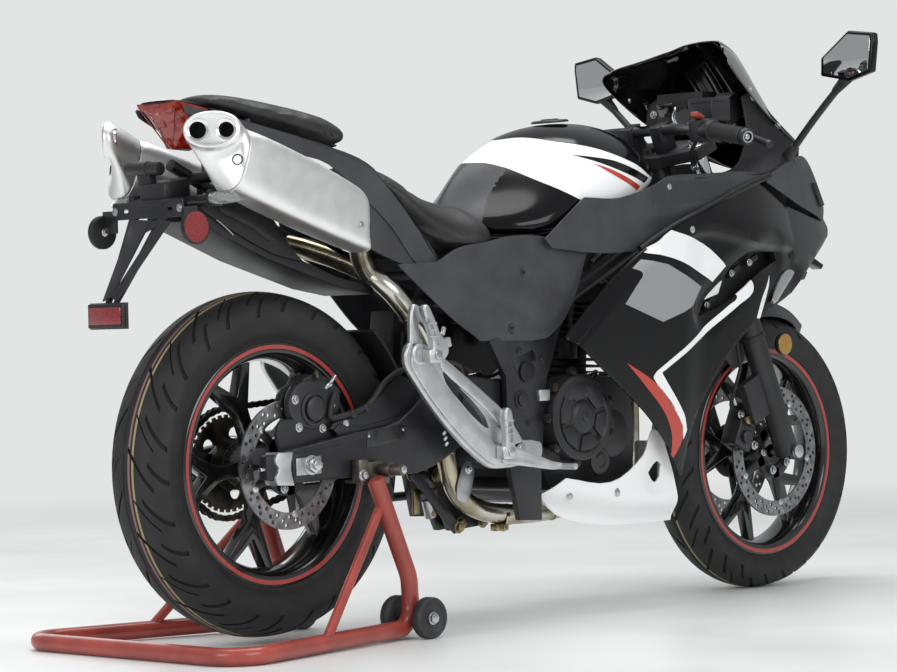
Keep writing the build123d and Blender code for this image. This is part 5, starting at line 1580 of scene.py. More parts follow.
def softened(node, name, body, finish_name, bevel=1.2):
    """Edge-rounded stand-in for a CAD node, made from a merged copy of its mesh."""
    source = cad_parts[node]
    mesh = source.data.copy()
    obj = bpy.data.objects.new(name, mesh)
    bpy.context.scene.collection.objects.link(obj)
    editing(obj, "FACE")
    bpy.ops.mesh.remove_doubles(threshold=0.00002)
    bpy.ops.mesh.dissolve_limited(angle_limit=math.radians(0.8))
    bpy.ops.mesh.normals_make_consistent(inside=False)
    bpy.ops.object.mode_set(mode="OBJECT")
    chamfer(obj, bevel, 2, 30)
    dressed(obj, finish_name)
    made = finish(obj, name, body, None, 35)
    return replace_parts(made, node)


def slab(points, thickness, bevel=1.5, direction=(0, 1, 0)):
    """Flat plate through coplanar places, thickened along a direction in millimetres."""
    obj = ring_of([Vector(p) for p in points])
    editing(obj)
    step = Vector(direction).normalized() * thickness * MM
    bpy.ops.mesh.extrude_region_move(TRANSFORM_OT_translate={"value": tuple(step)})
    outward(obj)
    return chamfer(obj, bevel, 2)


# ---------------------------------------------------------------- tail

def make_tail_lamp():
    """Red wedge lamp with its inner reflector ribs."""
    softened("tail_lamp", "tail_lamp_lens", "chassis", "red_lens", 4.0)
    ribs = []
    for side in (-46, -28, 28, 46):
        ribs.append(rod(at(-194, side * 0.22, 902), at(-219, side, 962), 1.2, 0, 8))
    core = prism([(-214, 930), (-223, 968), (-214, 968), (-200, 930)], -13, 13, 2)
    parts = [dressed(joined(ribs), "red_prism"), dressed(core, "red_prism")]
    gathered(parts, "tail_lamp_ribs", "chassis", 35)


def make_plate_bracket():
    """Number plate bracket with its screws, bent legs and tongue."""
    softened("plate_bracket", "plate_bracket_pressed", "chassis", "satin_black", 0.9)
    parts = []
    for side in (88, -88):
        parts.append(bolt(at(-248.2, side, 784), (-1, 0, 0), 5, 2.5, "zinc"))
    legs = (
        [
            (-250, 37, 768), (-250, -12, 764), (-262, -12, 743), (-325, -10, 650), (-338, -6, 630),
            (-338, 17, 623)
        ],
        [
            (-250, -12, 764), (-250, -66, 760), (-338, -21, 622), (-338, -6, 630), (-325, -12, 650),
            (-256, -35, 752), (-262, -12, 743)
        ],
    )
    for leg_outline in legs:
        parts.append(dressed(slab(spots(leg_outline), 2.4, 0.6, (-0.86, 0, 0.5)), "satin_black"))
    parts.append(dressed(prism([
        (-236, 800), (-236, 830), (-176, 842), (-176, 800)
    ], -34, 34, 3), "satin_black"))
    gathered(parts, "plate_bracket_screws", "chassis", 35)


def make_rear_reflectors():
    """Round side reflectors and the bar reflector under the plate."""
    discs = []
    for side in (1, -1):
        spot = at(-247, 126 * side, 749)
        back = turned([
            (0.01, -5), (27, -5), (30, -2), (30, 5), (28, 6), (27, 4), (0.01, 4)
        ], spot, (0, side, 0), 48)
        discs.append(dressed(chamfer(back, 0.6), "under_black"))
        face = turned([(0.01, 3.5), (27.4, 3.5), (27.4, 5), (0.01, 5.8)], spot, (0, side, 0), 48)
        discs.append(dressed(face, "red_prism"))
        discs.append(bolt(spot - mm(0, 5 * side, 0), (0, -side, 0), 5, 4, "zinc"))
    low = block(at(-347.5, 0, 598), (7, 86, 30), 1.2)
    frame_bar = block(at(-344, 0, 598), (8, 96, 42), 1.5)
    discs += [dressed(low, "red_prism"), dressed(frame_bar, "black_pp")]
    made = gathered(discs, "rear_reflector_set", "chassis", 35)
    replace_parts(made, "rear_reflectors")


def make_rear_lamps():
    """Plate lamp and clear indicators on their stems."""
    lamps = [dressed(rod(at(-222, -8, 857), at(-222, 82, 861), 12, 3, 32), "black_pp")]
    lamps.append(dressed(turned(
        [(12.2, -4), (13.2, -3), (13.2, 3), (12.2, 4)], at(-222, 26, 858.6), (0, 1, 0.04), 32
    ), "black_pp"))
    lamps.append(dressed(block(at(-216, 36, 832), (16, 34, 40), 3, (0, -8, 0)), "black_pp"))
    for side in (1, -1):
        stem = rod(at(-190, 44 * side, 800), at(-190, 116 * side, 800), 8, 1, 20)
        lens = lofted([
            [at(x, y * side, z) for x, y, z in ring] for ring in (
                [(-206, 112, 788), (-206, 112, 812), (-168, 106, 816), (-168, 106, 790)],
                [(-216, 136, 784), (-216, 136, 812), (-150, 128, 820), (-150, 128, 788)],
                [(-206, 156, 788), (-206, 156, 808), (-146, 152, 818), (-146, 152, 794)],
            )
        ], 2)
        socket = block(at(-182, 106 * side, 801), (30, 16, 30), 4)
        lamps += [dressed(stem, "black_pp"), dressed(lens, "clear_lens"), dressed(socket, "black_pp")]
    made = gathered(lamps, "rear_lamp_set", "chassis", 35)
    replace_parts(made, "rear_indicators")


def make_undertray():
    """Tray over the rear wheel with its pressed side faces."""
    parts = []
    tray = [
        (-196, 762), (-26, 696), (151, 644), (236, 630), (240, 645), (151, 662), (-20, 722), (-150, 778),
        (-192, 792)
    ]
    parts.append(dressed(prism(tray, -66, 66, 3), "under_black"))
    for side in (1, -1):
        cheek = prism(eased([
            (-190, 786), (-120, 820), (-30, 782), (30, 716), (60, 690), (-20, 706), (-150, 764)
        ], (0, 4), 3), side * 58, side * 72, 3)
        rib = prism([
            (-150, 792), (-60, 772), (-10, 730), (-30, 728), (-70, 752), (-140, 778)
        ], side * 70, side * 75, 1.5)
        edge = tube([at(-150, 72 * side, 765), at(-128, 73 * side, 752), at(-112, 73 * side, 738)], 1.0, 4, 3)
        parts += [dressed(cheek, "under_black"), dressed(rib, "black_pp"), dressed(edge, "zinc")]
    made = gathered(parts, "undertray_moulding", "chassis", 35)
    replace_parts(made, "rear_undertray")


# ---------------------------------------------------------------- rear suspension

# Swingarm seen from the side
ARM_OUTLINE = [
    (-60, 292), (-60, 350), (20, 362), (130, 379), (235, 396), (330, 462), (410, 474), (500, 462),
    (570, 440), (574, 408), (500, 392), (440, 368), (345, 318), (280, 298), (200, 297), (60, 297)
]


def make_swingarm():
    """Box swingarm with raised ends, chain adjusters and label plate."""
    parts = []
    for side in (1, -1):
        parts.append(dressed(prism(
            eased(ARM_OUTLINE, (0, 1, 8, 9, 15), 3), side * 106.5, side * 132, 4, 3
        ), "satin_black"))
        flat = eased([(-34, 300), (-40, 344), (60, 356), (140, 366), (150, 310), (70, 301)], (0, 1, 3, 4), 3)
        parts.append(dressed(prism(flat, side * 129, side * 134, 2), "satin_black"))
        parts.append(dressed(prism(
            [(-96, 303), (-96, 345), (-58, 348), (-58, 297)], side * 108, side * 131, 3
        ), "satin_black"))
        block_outline = eased([
            (-76, 292), (-80, 306), (-72, 320), (-80, 334), (-74, 350), (-38, 350), (-44, 320), (-36, 290)
        ], (0, 4, 5, 7), 3)
        parts.append(dressed(prism(block_outline, side * 104, side * 137, 1.5), "cast"))
        parts.append(dressed(rod(at(-72, 122 * side, 321), at(-106, 122 * side, 321), 4, 0.5), "zinc"))
        parts.append(dressed(rod(at(-78, 122 * side, 321), at(-88, 122 * side, 321), 8.5, 0.8, 6), "zinc"))
    pivot = rod(at(541, -137, 425), at(541, 137, 425), 24, 2, 40)
    cross = block(at(496, 0, 425), (70, 214, 28), 3)
    lug = prism([(500, 416), (530, 412), (500, 300), (478, 300)], -9, 9, 2)
    label = prism([(146, 350), (150, 379), (242, 389), (246, 361)], -132, -133.2, 0.4)
    parts += [
        dressed(pivot, "satin_black"), dressed(cross, "satin_black"), dressed(lug, "satin_black"),
        dressed(label, "label")
    ]
    for x, z in ((152, 371), (240, 380)):
        parts.append(dressed(rod(at(x, -132, z), at(x, -134.6, z), 3, 0.5, 14), "zinc"))
    for x, z in ((157, 362), (168, 357), (160, 370)):
        line = slab([
            at(x, -133.3, z), at(x + 66, -133.3, z + 8), at(x + 66, -133.3, z + 9.5), at(x, -133.3, z + 1.5)
        ], -0.4, 0)
        parts.append(dressed(line, "dark_steel"))
    made = gathered(parts, "swingarm_welded", "chassis", 35)
    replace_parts(made, "swingarm")


def make_axle():
    """Rear axle with adjuster plates, nut and washer."""
    parts = [dressed(rod(at(0, -144, 325), at(0, 144, 325), 10, 1, 32), "zinc")]
    for side in (1, -1):
        plate = prism([(-32, 307), (-32, 338), (29, 341), (29, 309)], side * 133.8, side * 138, 1.2)
        nut = rod(at(4, side * 138, 325), at(4, side * 150, 325), 15, 1.5, 6)
        washer = rod(at(4, side * 137, 325), at(4, side * 140, 325), 18, 0.6, 32)
        end = rod(at(4, side * 150, 325), at(4, side * 157, 325), 9, 1.5, 24)
        spacer = rod(at(0, side * 86, 325), at(0, side * 105, 325), 17, 1, 32)
        mark = rod(at(22, side * 138, 324), at(22, side * 143, 324), 7.5, 1, 6)
        parts += [dressed(p, f) for p, f in (
            (plate, "alloy_plate"), (nut, "zinc"), (washer, "zinc"), (end, "zinc"), (spacer, "cast"),
            (mark, "zinc")
        )]
    made = gathered(parts, "rear_axle_set", "chassis", 35)
    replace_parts(made, "rear_axle")


def make_rear_brake():
    """Rear caliper on its bracket, with piston cap, bleed screw, hose and clips."""
    parts = []
    body = eased([
        (-6, 404), (-14, 440), (8, 470), (60, 476), (104, 462), (108, 424), (90, 398), (40, 386)
    ], (), 4)
    outer = prism(body, -86, -106, 5, 3)
    inner = prism(eased([(0, 410), (4, 462), (96, 462), (100, 410)], (), 4), -74, -56, 4)
    bridge = prism(eased([(20, 448), (26, 480), (84, 480), (92, 448)], (), 4), -60, -100, 4)
    piston = turned(
        [(0.01, 0), (21, 0), (22, 3), (22, 9), (19, 11), (0.01, 11)], at(42, -105, 424), (0, -1, 0), 40
    )
    cap_ring = turned([(26, 0), (31, 0), (31, 5), (26, 6)], at(42, -104, 424), (0, -1, 0), 40)
    stay = prism(eased([
        (-40, 352), (-44, 396), (-18, 408), (60, 396), (98, 404), (110, 372), (60, 356), (20, 330),
        (-20, 330)
    ], (), 3), -96, -105, 2)
    parts += [dressed(p, "engine_black") for p in (outer, inner, bridge, piston, cap_ring)]
    parts.append(dressed(stay, "satin_black"))
    for x, z, r in ((-2, 442, 6), (6, 392, 6), (64, 388, 6), (88, 430, 4.5)):
        parts.append(bolt(at(x, -105, z), (0, -1, 0), r, 4, "zinc"))
    parts.append(dressed(rod(at(74, -104, 460), at(80, -113, 470), 5, 0.8, 6), "zinc"))
    parts.append(dressed(rod(at(80, -104, 462), at(92, -112, 484), 3, 0.6, 14), "zinc"))
    parts.append(dressed(rod(at(52, -108, 478), at(52, -104, 492), 4, 0.6, 14), "dark_steel"))
    hose = tube(spots((
        (92, -110, 452), (64, -114, 404), (98, -118, 408), (146, -120, 417), (178, -121, 436),
        (202, -121, 466), (240, -122, 488), (280, -122, 492), (330, -150, 500)
    )), 5.5, 8, 5)
    parts.append(dressed(hose, "rubber"))
    for spot, turn in (((126, -119, 413), 10), ((158, -120, 423), 22)):
        parts.append(dressed(block(at(*spot), (14, 13, 14), 2, (0, -turn, 0)), "black_pp"))
    made = gathered(parts, "rear_brake_caliper", "chassis", 35)
    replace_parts(made, "rear_caliper")


def make_hugger():
    """Tyre hugger with its side guard and screws."""
    softened("hugger", "hugger_band", "chassis", "black_pp", 1.5)
    guard = prism(eased([
        (72, 386), (84, 398), (140, 410), (190, 434), (238, 472), (262, 478), (296, 456), (345, 416),
        (372, 388), (250, 392), (150, 378)
    ], (0, 8), 3), -108, -116, 2.5)
    fold = prism(eased([
        (80, 384), (150, 388), (250, 402), (366, 388), (370, 376), (250, 392), (150, 378)
    ], (), 3), -114, -119, 1.5)
    parts = [dressed(guard, "black_pp"), dressed(fold, "black_pp")]
    for x, z in ((112, 395), (331, 411)):
        parts.append(bolt(at(x, -116, z), (0, -1, 0), 5, 2, "zinc"))
    for z0, x0, x1, z1 in ((440, 300, 322, 600), (470, 330, 345, 560)):
        rib = slab([at(x0, -30, z0), at(x0 + 8, -30, z0), at(x1 + 8, -30, z1), at(x1, -30, z1)], 60, 1)
        parts.append(dressed(rib, "black_pp"))
    gathered(parts, "swingarm_guard", "chassis", 35)


def make_drive():
    """Chain wheel, and the chain as link plates and rollers along its run."""
    softened("rear_sprocket", "rear_chain_wheel", "rear_wheel", "dark_steel", 0.8)
    centre = REAR_WHEEL + mm(0, 86, 0)
    run = []
    front = at(604, 0, 425)
    gap = Vector((front.x - centre.x, 0, front.z - centre.z))
    tilt = math.atan2(gap.z, gap.x)
    spread = math.asin((101 - 44) * MM / gap.length)
    start = tilt + math.pi / 2 - spread
    arc = 2 * math.pi - 2 * (math.pi / 2 - spread)
    for radius, middle, first, sweep_angle in ((101, centre, start, arc), (
        44, front + mm(0, 86, 0), start + arc, 2 * math.pi - arc
    )):
        for step in range(25):
            angle = first + sweep_angle * step / 24
            run.append(middle + Vector((math.cos(angle), 0, math.sin(angle))) * radius * MM)
    places = []
    for a, b in zip(run, run[1:] + run[:1]):
        steps = max(1, round((b - a).length / (2 * MM)))
        places += [a + (b - a) * k / steps for k in range(steps)]
    total = sum((b - a).length for a, b in zip(places, places[1:] + places[:1]))
    pitch = total / (2 * round(total / (2 * size_of("chain_pitch") * MM)))
    joints = []
    walked = 0.0
    for a, b in zip(places, places[1:] + places[:1]):
        span = (b - a).length
        while len(joints) * pitch < walked + span and len(joints) * pitch < total - pitch / 2:
            joints.append(a + (b - a) * ((len(joints) * pitch - walked) / span if span else 0))
        walked += span
    links = []
    base = prism(eased([
        (-8, -6), (-11.5, 0), (-8, 6), (0, 4.2), (8, 6), (11.5, 0), (8, -6), (0, -4.2)
    ], (), 2), 0, 1.6, 0.3, 1)
    base.data.transform(Matrix.Translation(-at(0, 0, 0)))
    for index, (a, b) in enumerate(zip(joints, joints[1:] + joints[:1])):
        run_dir = (b - a).normalized()
        turn = Matrix.Rotation(-math.atan2(run_dir.z, run_dir.x), 4, "Y")
        for side in (-1, 1):
            offset = (6.4 if index % 2 else 4.4) * side - 0.8
            links.append(copied(base, Matrix.Translation((a + b) / 2 + mm(0, offset, 0)) @ turn))
        links.append(rod(a + mm(0, -7.4, 0), a + mm(0, 7.4, 0), 4.2, 0, 8))
    bpy.data.objects.remove(base)
    made = finish(joined(links), "drive_chain_links", "chassis", "dark_steel", 35)
    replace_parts(made, "drive_chain")


# ---------------------------------------------------------------- footrests

def make_hangers():
    """Cast footrest hangers with their windows, ribs, bosses and screws."""
    parts = []
    arm = eased([
        (403, 436), (446, 404), (490, 354), (504, 322), (490, 304), (448, 300), (394, 306), (284, 388),
        (196, 484), (186, 508), (194, 534), (214, 542), (256, 528), (326, 486)
    ], (3, 4), 4)
    plate = prism(arm, -186, -199, 4, 3)
    window = prism(eased([
        (280, 482), (326, 452), (386, 402), (400, 376), (386, 380), (334, 420)
    ], (3,), 4), -170, -220, 0)
    cut_by(plate, window)
    upper = prism(eased([
        (206, 512), (202, 560), (208, 606), (222, 608), (236, 596), (292, 542), (300, 520), (276, 500),
        (236, 500)
    ], (), 4), -186, -199, 4, 3)
    slot = prism(eased([(226, 578), (224, 546), (238, 528), (262, 520), (268, 532)], (), 3), -170, -220, 0)
    cut_by(upper, slot)
    foot = prism(eased([
        (470, 348), (540, 346), (546, 328), (536, 310), (470, 308), (458, 326)
    ], (), 3), -186, -199, 4)
    rib = prism(eased([
        (200, 522), (232, 518), (304, 440), (420, 340), (474, 326), (478, 310), (440, 306), (396, 312),
        (286, 396), (200, 492)
    ], (0, 4), 3), -197, -204, 3.0, 3)
    rib2 = prism(eased([
        (270, 508), (334, 474), (410, 424), (458, 374), (446, 364), (404, 400), (346, 440), (276, 488)
    ], (0, 3), 3), -197, -204, 3.0, 3)
    for piece in (plate, upper, foot, rib, rib2):
        parts.append(dressed(piece, "cast"))
    parts.append(dressed(turned([
        (0.01, 0), (17, 0), (20, 3), (20, 9), (17, 11), (14, 11), (13, 9), (0.01, 9)
    ], at(218, -196, 518), (0, -1, 0), 40), "cast"))
    parts.append(dressed(turned(
        [(0.01, 0), (13, 0), (13, 12), (10, 14), (0.01, 14)], at(522, -150, 328), (0, -1, 0), 32
    ), "cast"))
    for x, z, r in ((254, 524, 5), (486, 332, 9), (406, 346, 4), (432, 330, 4)):
        parts.append(bolt(at(x, -199, z), (0, -1, 0), r, 3, "zinc"))
    for z in (352, 362, 372):
        parts.append(dressed(rod(
            at(398 - z * 0.3, -196, z + 2), at(392 - z * 0.3, -196, z - 3), 3, 0.5, 12
        ), "cast"))
    right = joined(parts)
    left = mirrored(right)
    made = gathered([right, left], "footrest_hanger_castings", "chassis", 35)
    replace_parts(made, "footrest_hangers")


# Distance from the middle of the bike to the inner face of a folded peg, in millimetres
PEG_SIDE = 212.0


def peg(x, z, length, lean):
    """Folded footpeg with its ribs, pivot and clevis, on the right."""
    top = x - lean
    shell = prism(eased([
        (x - 12, z - 6), (x - 11, z + 30), (top - 9, z + length - 8), (top, z + length),
        (top + 9, z + length - 8), (x + 11, z + 30), (x + 12, z - 6)
    ], (0, 6), 4), -PEG_SIDE, -PEG_SIDE - 17, 3.5, 3)
    dent = prism(eased([
        (x - 4, z + 18), (top - 4, z + length - 26), (top + 4, z + length - 26), (x + 5, z + 18)
    ], (), 4), -PEG_SIDE - 12, -PEG_SIDE - 30, 0)
    cut_by(shell, dent)
    parts = [dressed(shell, "cast")]
    pivot = rod(at(x, -199.5, z), at(x, -PEG_SIDE - 20, z), 9, 1.5, 28)
    clevis = block(at(x, -PEG_SIDE - 3, z - 2), (34, 22, 26), 4)
    parts += [dressed(pivot, "zinc"), dressed(clevis, "cast")]
    for step in range(3):
        lift = z + 34 + step * 12
        parts.append(dressed(rod(
            at(x - 11 - lean * 0.5, -PEG_SIDE - 16, lift), at(x + 11 - lean * 0.5, -PEG_SIDE - 16, lift),
            1.4, 0, 8
        ), "cast"))
    return joined(parts)


def make_pegs():
    """Rider's and pillion's pegs on both sides."""
    rider = peg(428, 332, 82, 4)
    pillion = peg(240, 516, 92, 24)
    whole = joined([rider, pillion])
    made = gathered([whole, mirrored(whole)], "folding_footpegs", "chassis", 35)
    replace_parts(made, "footpegs")


def make_levers():
    """Brake pedal, gear lever, and the rear master cylinder with its hose."""
    softened("foot_levers", "foot_levers_forged", "chassis", "cast", 2.0)
    parts = []
    cylinder_body = block(at(290, -178, 512), (22, 18, 54), 3, (0, -14, 0))
    parts.append(dressed(cylinder_body, "cast"))
    parts.append(dressed(block(at(302, -180, 536), (30, 16, 18), 2, (0, -14, 0)), "cast"))
    parts.append(dressed(rod(at(300, -180, 552), at(306, -180, 566), 5, 0.8, 6), "zinc"))
    parts.append(bolt(at(300, -188, 528), (0, -1, 0), 4.5, 3, "zinc"))
    hose = tube(spots((
        (312, -178, 500), (352, -172, 500), (368, -166, 470), (366, -160, 430), (360, -156, 400)
    )), 5, 8, 5)
    parts.append(dressed(hose, "rubber"))
    parts.append(dressed(rod(at(398, -174, 372), at(404, -174, 330), 4, 0.5, 12), "zinc"))
    parts.append(dressed(block(at(406, -176, 322), (26, 14, 18), 3), "cast"))
    gathered(parts, "rear_master_cylinder", "chassis", 35)


# ---------------------------------------------------------------- engine

# Station and height of the crankshaft, in millimetres
CRANK_X = 695
CRANK_Z = 387


def off_crank(reach, angle):
    """(Station, height) at a reach and an angle from the crankshaft."""
    turn = math.radians(angle)
    return CRANK_X + reach * math.cos(turn), CRANK_Z + reach * math.sin(turn)


def engine_cover(sign):
    """One side of the engine: domed cover with its wedges and bolts, caps, arm and cable."""
    parts = []
    face = 166 * sign
    dome = turned([
        (0.5, 9), (24, 9), (30, 6), (34, 1), (66, 1), (70, 4), (76, 4), (80, 0), (84, -5), (84, -16),
        (0.5, -16)
    ], at(CRANK_X, face, CRANK_Z), (0, sign, 0), 72)
    parts.append(dressed(dome, "engine_black"))
    pad = [off_crank(reach, angle) for reach, angle in ((38, -22), (66, -25), (67, 0), (66, 25), (38, 22))]
    wedge = prism(pad, face, face + sign * 5, 1.8)
    parts.append(dressed(round_copies(wedge, at(CRANK_X, 0, CRANK_Z), 6, "Y", 15), "engine_black"))
    parts.append(dressed(rod(
        at(CRANK_X, face + sign * 8, CRANK_Z), at(CRANK_X, face + sign * 11, CRANK_Z), 10, 1.5, 6
    ), "engine_black"))
    parts.append(dressed(turned(
        [(0.01, 0), (18, 0), (20, 3), (17, 5), (10, 5), (9, 3), (0.01, 3)], at(772, face - sign * 8, 372),
        (0, sign, 0), 36
    ), "engine_black"))
    parts.append(dressed(turned(
        [(0.01, 0), (25, 0), (27, 5), (22, 9), (14, 9), (12, 6), (0.01, 6)], at(754, face - sign * 14, 300),
        (0, sign, 0), 40
    ), "engine_black"))
    parts.append(dressed(turned(
        [(0.01, 0), (20, 0), (20, 6), (16, 8), (0.01, 8)], at(596, face - sign * 26, 314), (0, sign, 0), 36
    ), "engine_black"))
    arm = prism(eased([
        (640, 430), (668, 452), (716, 456), (760, 430), (770, 404), (742, 410), (700, 426), (660, 420)
    ], (), 4), face - sign * 2, face + sign * 4, 2.5)
    parts.append(dressed(arm, "engine_black"))
    for angle in (20, 62, 100, 140, 180, 220, 262, 305, 340):
        x, z = off_crank(90, angle)
        boss = turned([(0.01, -16), (9, -16), (9, -4), (0.01, -4)], at(x, face, z), (0, sign, 0), 20)
        parts.append(dressed(boss, "engine_black"))
        parts.append(bolt(at(x, face - sign * 4, z), (0, sign, 0), 5, 3, "dark_steel"))
    for angle in (75, 195, 315):
        x, z = off_crank(60, angle)
        parts.append(bolt(at(x, face + sign * 3, z), (0, sign, 0), 4, 2, "dark_steel"))
    parts.append(dressed(block(at(598, face - sign * 14, 432), (30, 14, 22), 2), "cast"))
    cable = tube(spots((
        (742, face - sign * 12, 470), (770, face - sign * 4, 462), (800, face - sign * 20, 476),
        (840, face - sign * 50, 500)
    )), 4, 6, 4)
    parts.append(dressed(cable, "rubber"))
    parts.append(dressed(rod(at(716, face - sign * 6, 466), at(748, face - sign * 8, 472), 6, 1, 16), "zinc"))
    return parts


def barrel_fittings(sign):
    """Head bolts, hose, stub and coil on one side of the barrel."""
    parts = []
    for x, z in ((800, 640), (824, 640), (850, 640), (876, 636)):
        parts.append(bolt(at(x, 60 * sign, z + 18), (0, sign, 0), 5, 6, "zinc"))
    parts.append(dressed(tube(spots((
        (770, 70 * sign, 560), (756, 82 * sign, 590), (772, 90 * sign, 640), (820, 84 * sign, 690)
    )), 5, 6, 4), "rubber"))
    parts.append(dressed(rod(at(876, 66 * sign, 556), at(880, 84 * sign, 600), 9, 2, 16), "black_pp"))
    parts.append(dressed(block(at(760, 72 * sign, 520), (26, 30, 44), 4), "black_pp"))
    return parts


def make_engine():
    """Crankcase and finned barrel, with what is fitted to both of their sides."""
    softened("crankcase", "crankcase_cast", "chassis", "engine_black", 3.0)
    gathered(engine_cover(-1) + engine_cover(1), "engine_side_covers", "chassis", 35)
    softened("cylinder", "finned_barrel", "chassis", "fin_black", 0.8)
    gathered(barrel_fittings(-1) + barrel_fittings(1), "barrel_fittings", "chassis", 35)


# Middle line of the exhaust pipe, as (station, side, height)
PIPE_ROUTE = (
    (895, -30, 655), (965, -36, 640), (976, -45, 330), (930, -60, 214), (740, -70, 208), (614, -76, 199),
    (478, -82, 213), (404, -84, 268), (396, -82, 420), (338, -92, 552), (250, -112, 630), (226, -82, 665),
    (213, -30, 688), (200, 10, 704), (170, 60, 724), (134, 104, 735), (112, 134, 747),
)


def make_pipe():
    """Stainless exhaust pipe with its weld seams, clamp, bracket and short branch."""
    parts = []
    path = spots(PIPE_ROUTE)
    eased_path = [path[0]]
    for a, b in zip(path, path[1:]):
        eased_path += [a.lerp(b, 0.25), a.lerp(b, 0.75)] if (b - a).length > 0.09 else [a.lerp(b, 0.5)]
    eased_path.append(path[-1])
    parts.append(dressed(tube(eased_path, 19.5, 10, 8), "stainless"))
    cross = [(222, -70, 668), (190, -82, 690), (154, -112, 728), (126, -135, 764)]
    parts.append(dressed(tube(spots(cross), 18.5, 10, 8), "stainless"))
    for spot, axis, width in (
        ((294, -102, 592), (-0.74, -0.17, 0.65), 10), ((220, -58, 677), (-0.24, 0.88, 0.4), 16),
        ((560, -78, 202), (1, 0, 0.1), 26), ((398, -82, 330), (0, 0, 1), 5),
        ((700, -72, 205), (1, 0, 0), 6)
    ):
        collar = turned([
            (19.6, -width / 2), (21.2, -width / 2), (21.2, width / 2), (19.6, width / 2)
        ], at(*spot), axis, 48)
        parts.append(dressed(chamfer(collar, 0.5), "stainless"))
    parts.append(dressed(block(at(548, -78, 180), (34, 18, 14), 2), "brass"))
    parts.append(bolt(at(548, -88, 180), (0, -1, 0), 6, 6, "brass"))
    stay = prism(eased([
        (404, 246), (420, 300), (436, 312), (452, 300), (448, 270), (430, 236)
    ], (), 4), -104, -107, 0.8)
    parts += [dressed(stay, "alloy_plate"), bolt(at(437, -107, 298), (0, -1, 0), 7, 4, "zinc")]
    made = gathered(parts, "exhaust_pipework", "chassis", 40)
    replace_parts(made, "exhaust_pipe")


def make_shock():
    """Shock absorber's spring and linkage with its bolts."""
    softened("shock_absorber", "shock_and_links", "chassis", "satin_black", 1.2)
    parts = []
    for x, z in ((548, 190), (488, 190), (425, 285), (500, 240)):
        for sign in (-1, 1):
            parts.append(bolt(at(x, 33 * sign, z), (0, sign, 0), 9, 7, "brass", socket=False))
    clevis = prism([(356, 262), (420, 262), (420, 252), (372, 250), (372, 214), (356, 214)], -34, -40, 1)
    parts.append(dressed(clevis, "brass"))
    parts.append(dressed(rod(at(388, -42, 240), at(398, -42, 206), 11, 1, 28), "alloy_plate"))
    parts.append(bolt(at(396, -48, 214), (0, -1, 0), 6, 5, "brass", socket=False))
    arm = prism([(330, 290), (352, 296), (470, 180), (446, 172)], -52, -58, 2)
    parts.append(dressed(arm, "satin_black"))
    parts.append(bolt(at(456, -58, 184), (0, -1, 0), 8, 8, "brass", socket=False))
    gathered(parts, "linkage_bolts", "chassis", 35)


# ---------------------------------------------------------------- stand

def make_stand():
    """Cradles with their clamp rods, and ribbed rubber casters."""
    parts = []
    for sign in (-1, 1):
        shelf = prism([(112, 286.5), (112, 293), (184, 293), (184, 286.5)], sign * 108, sign * 152, 1)
        post = prism(eased([
            (112, 284), (112, 320), (120, 324), (176, 324), (184, 318), (184, 284)
        ], (0, 5), 3), sign * 146, sign * 153, 1.5)
        cheek = prism([(104, 292), (104, 330), (126, 330), (130, 292)], sign * 136, sign * 158, 2)
        rod_piece = rod(at(160, sign * 150, 310), at(166, sign * 206, 310), 11, 1, 32)
        sleeve = rod(at(160, sign * 162, 310), at(163, sign * 182, 310), 13.5, 1, 32)
        end = rod(at(166, sign * 204, 310), at(166.6, sign * 210, 310), 8, 1, 6)
        nut = bolt(at(112, sign * 158, 302), (0, sign, 0), 7, 8, "zinc", socket=False)
        parts += [
            dressed(p, "cradle") for p in (shelf, post, cheek, rod_piece, sleeve)
        ] + [dressed(end, "zinc"), nut]
    made = gathered(parts, "stand_cradle_brackets", "chassis", 35)
    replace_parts(made, "stand_cradles")
    for sign, node, body in (
        (1, "casters_left", "stand_casters_left"), (-1, "casters_right", "stand_casters_right")
    ):
        wheels = []
        for offset in (-41, 41):
            middle = Vector((CASTER.x, (sign * 172 + offset) * MM, CASTER.z))
            profile = [
                (8, -9), (20, -7.5), (26, -9), (28, -11), (33, -11), (36.5, -9.5), (38, -7), (38, 7),
                (36.5, 9.5), (33, 11), (28, 11), (26, 9), (20, 7.5), (8, 9)
            ]
            wheels.append(dressed(turned(profile, middle, steps=64), "caster"))
            for side in (-1, 1):
                ring = turned([
                    (29, side * 10.8), (31, side * 10.8), (31, side * 11.6), (29, side * 11.6)
                ], middle, steps=64)
                wheels.append(dressed(ring, "caster"))
                hub = turned([
                    (0.01, side * 8), (14, side * 8), (14, side * 9.6), (0.01, side * 9.6)
                ], middle, steps=40)
                wheels.append(dressed(hub, "caster"))
            out = math.copysign(1, offset)
            wheels.append(dressed(rod(
                middle + mm(0, out * 9, 0), middle + mm(0, out * 17, 0), 10, 1.2, 6
            ), "zinc"))
            wheels.append(dressed(rod(
                middle + mm(0, out * 9, 0), middle + mm(0, out * 11, 0), 12, 0.5, 24
            ), "zinc"))
        axle = rod(
            Vector((CASTER.x, (sign * 172 - 50) * MM, CASTER.z)),
            Vector((CASTER.x, (sign * 172 + 50) * MM, CASTER.z)), 7, 0.5, 24
        )
        wheels.append(dressed(axle, "zinc"))
        made = gathered(wheels, node + "_ribbed", body, 35)
        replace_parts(made, node)


# ---------------------------------------------------------------- frame

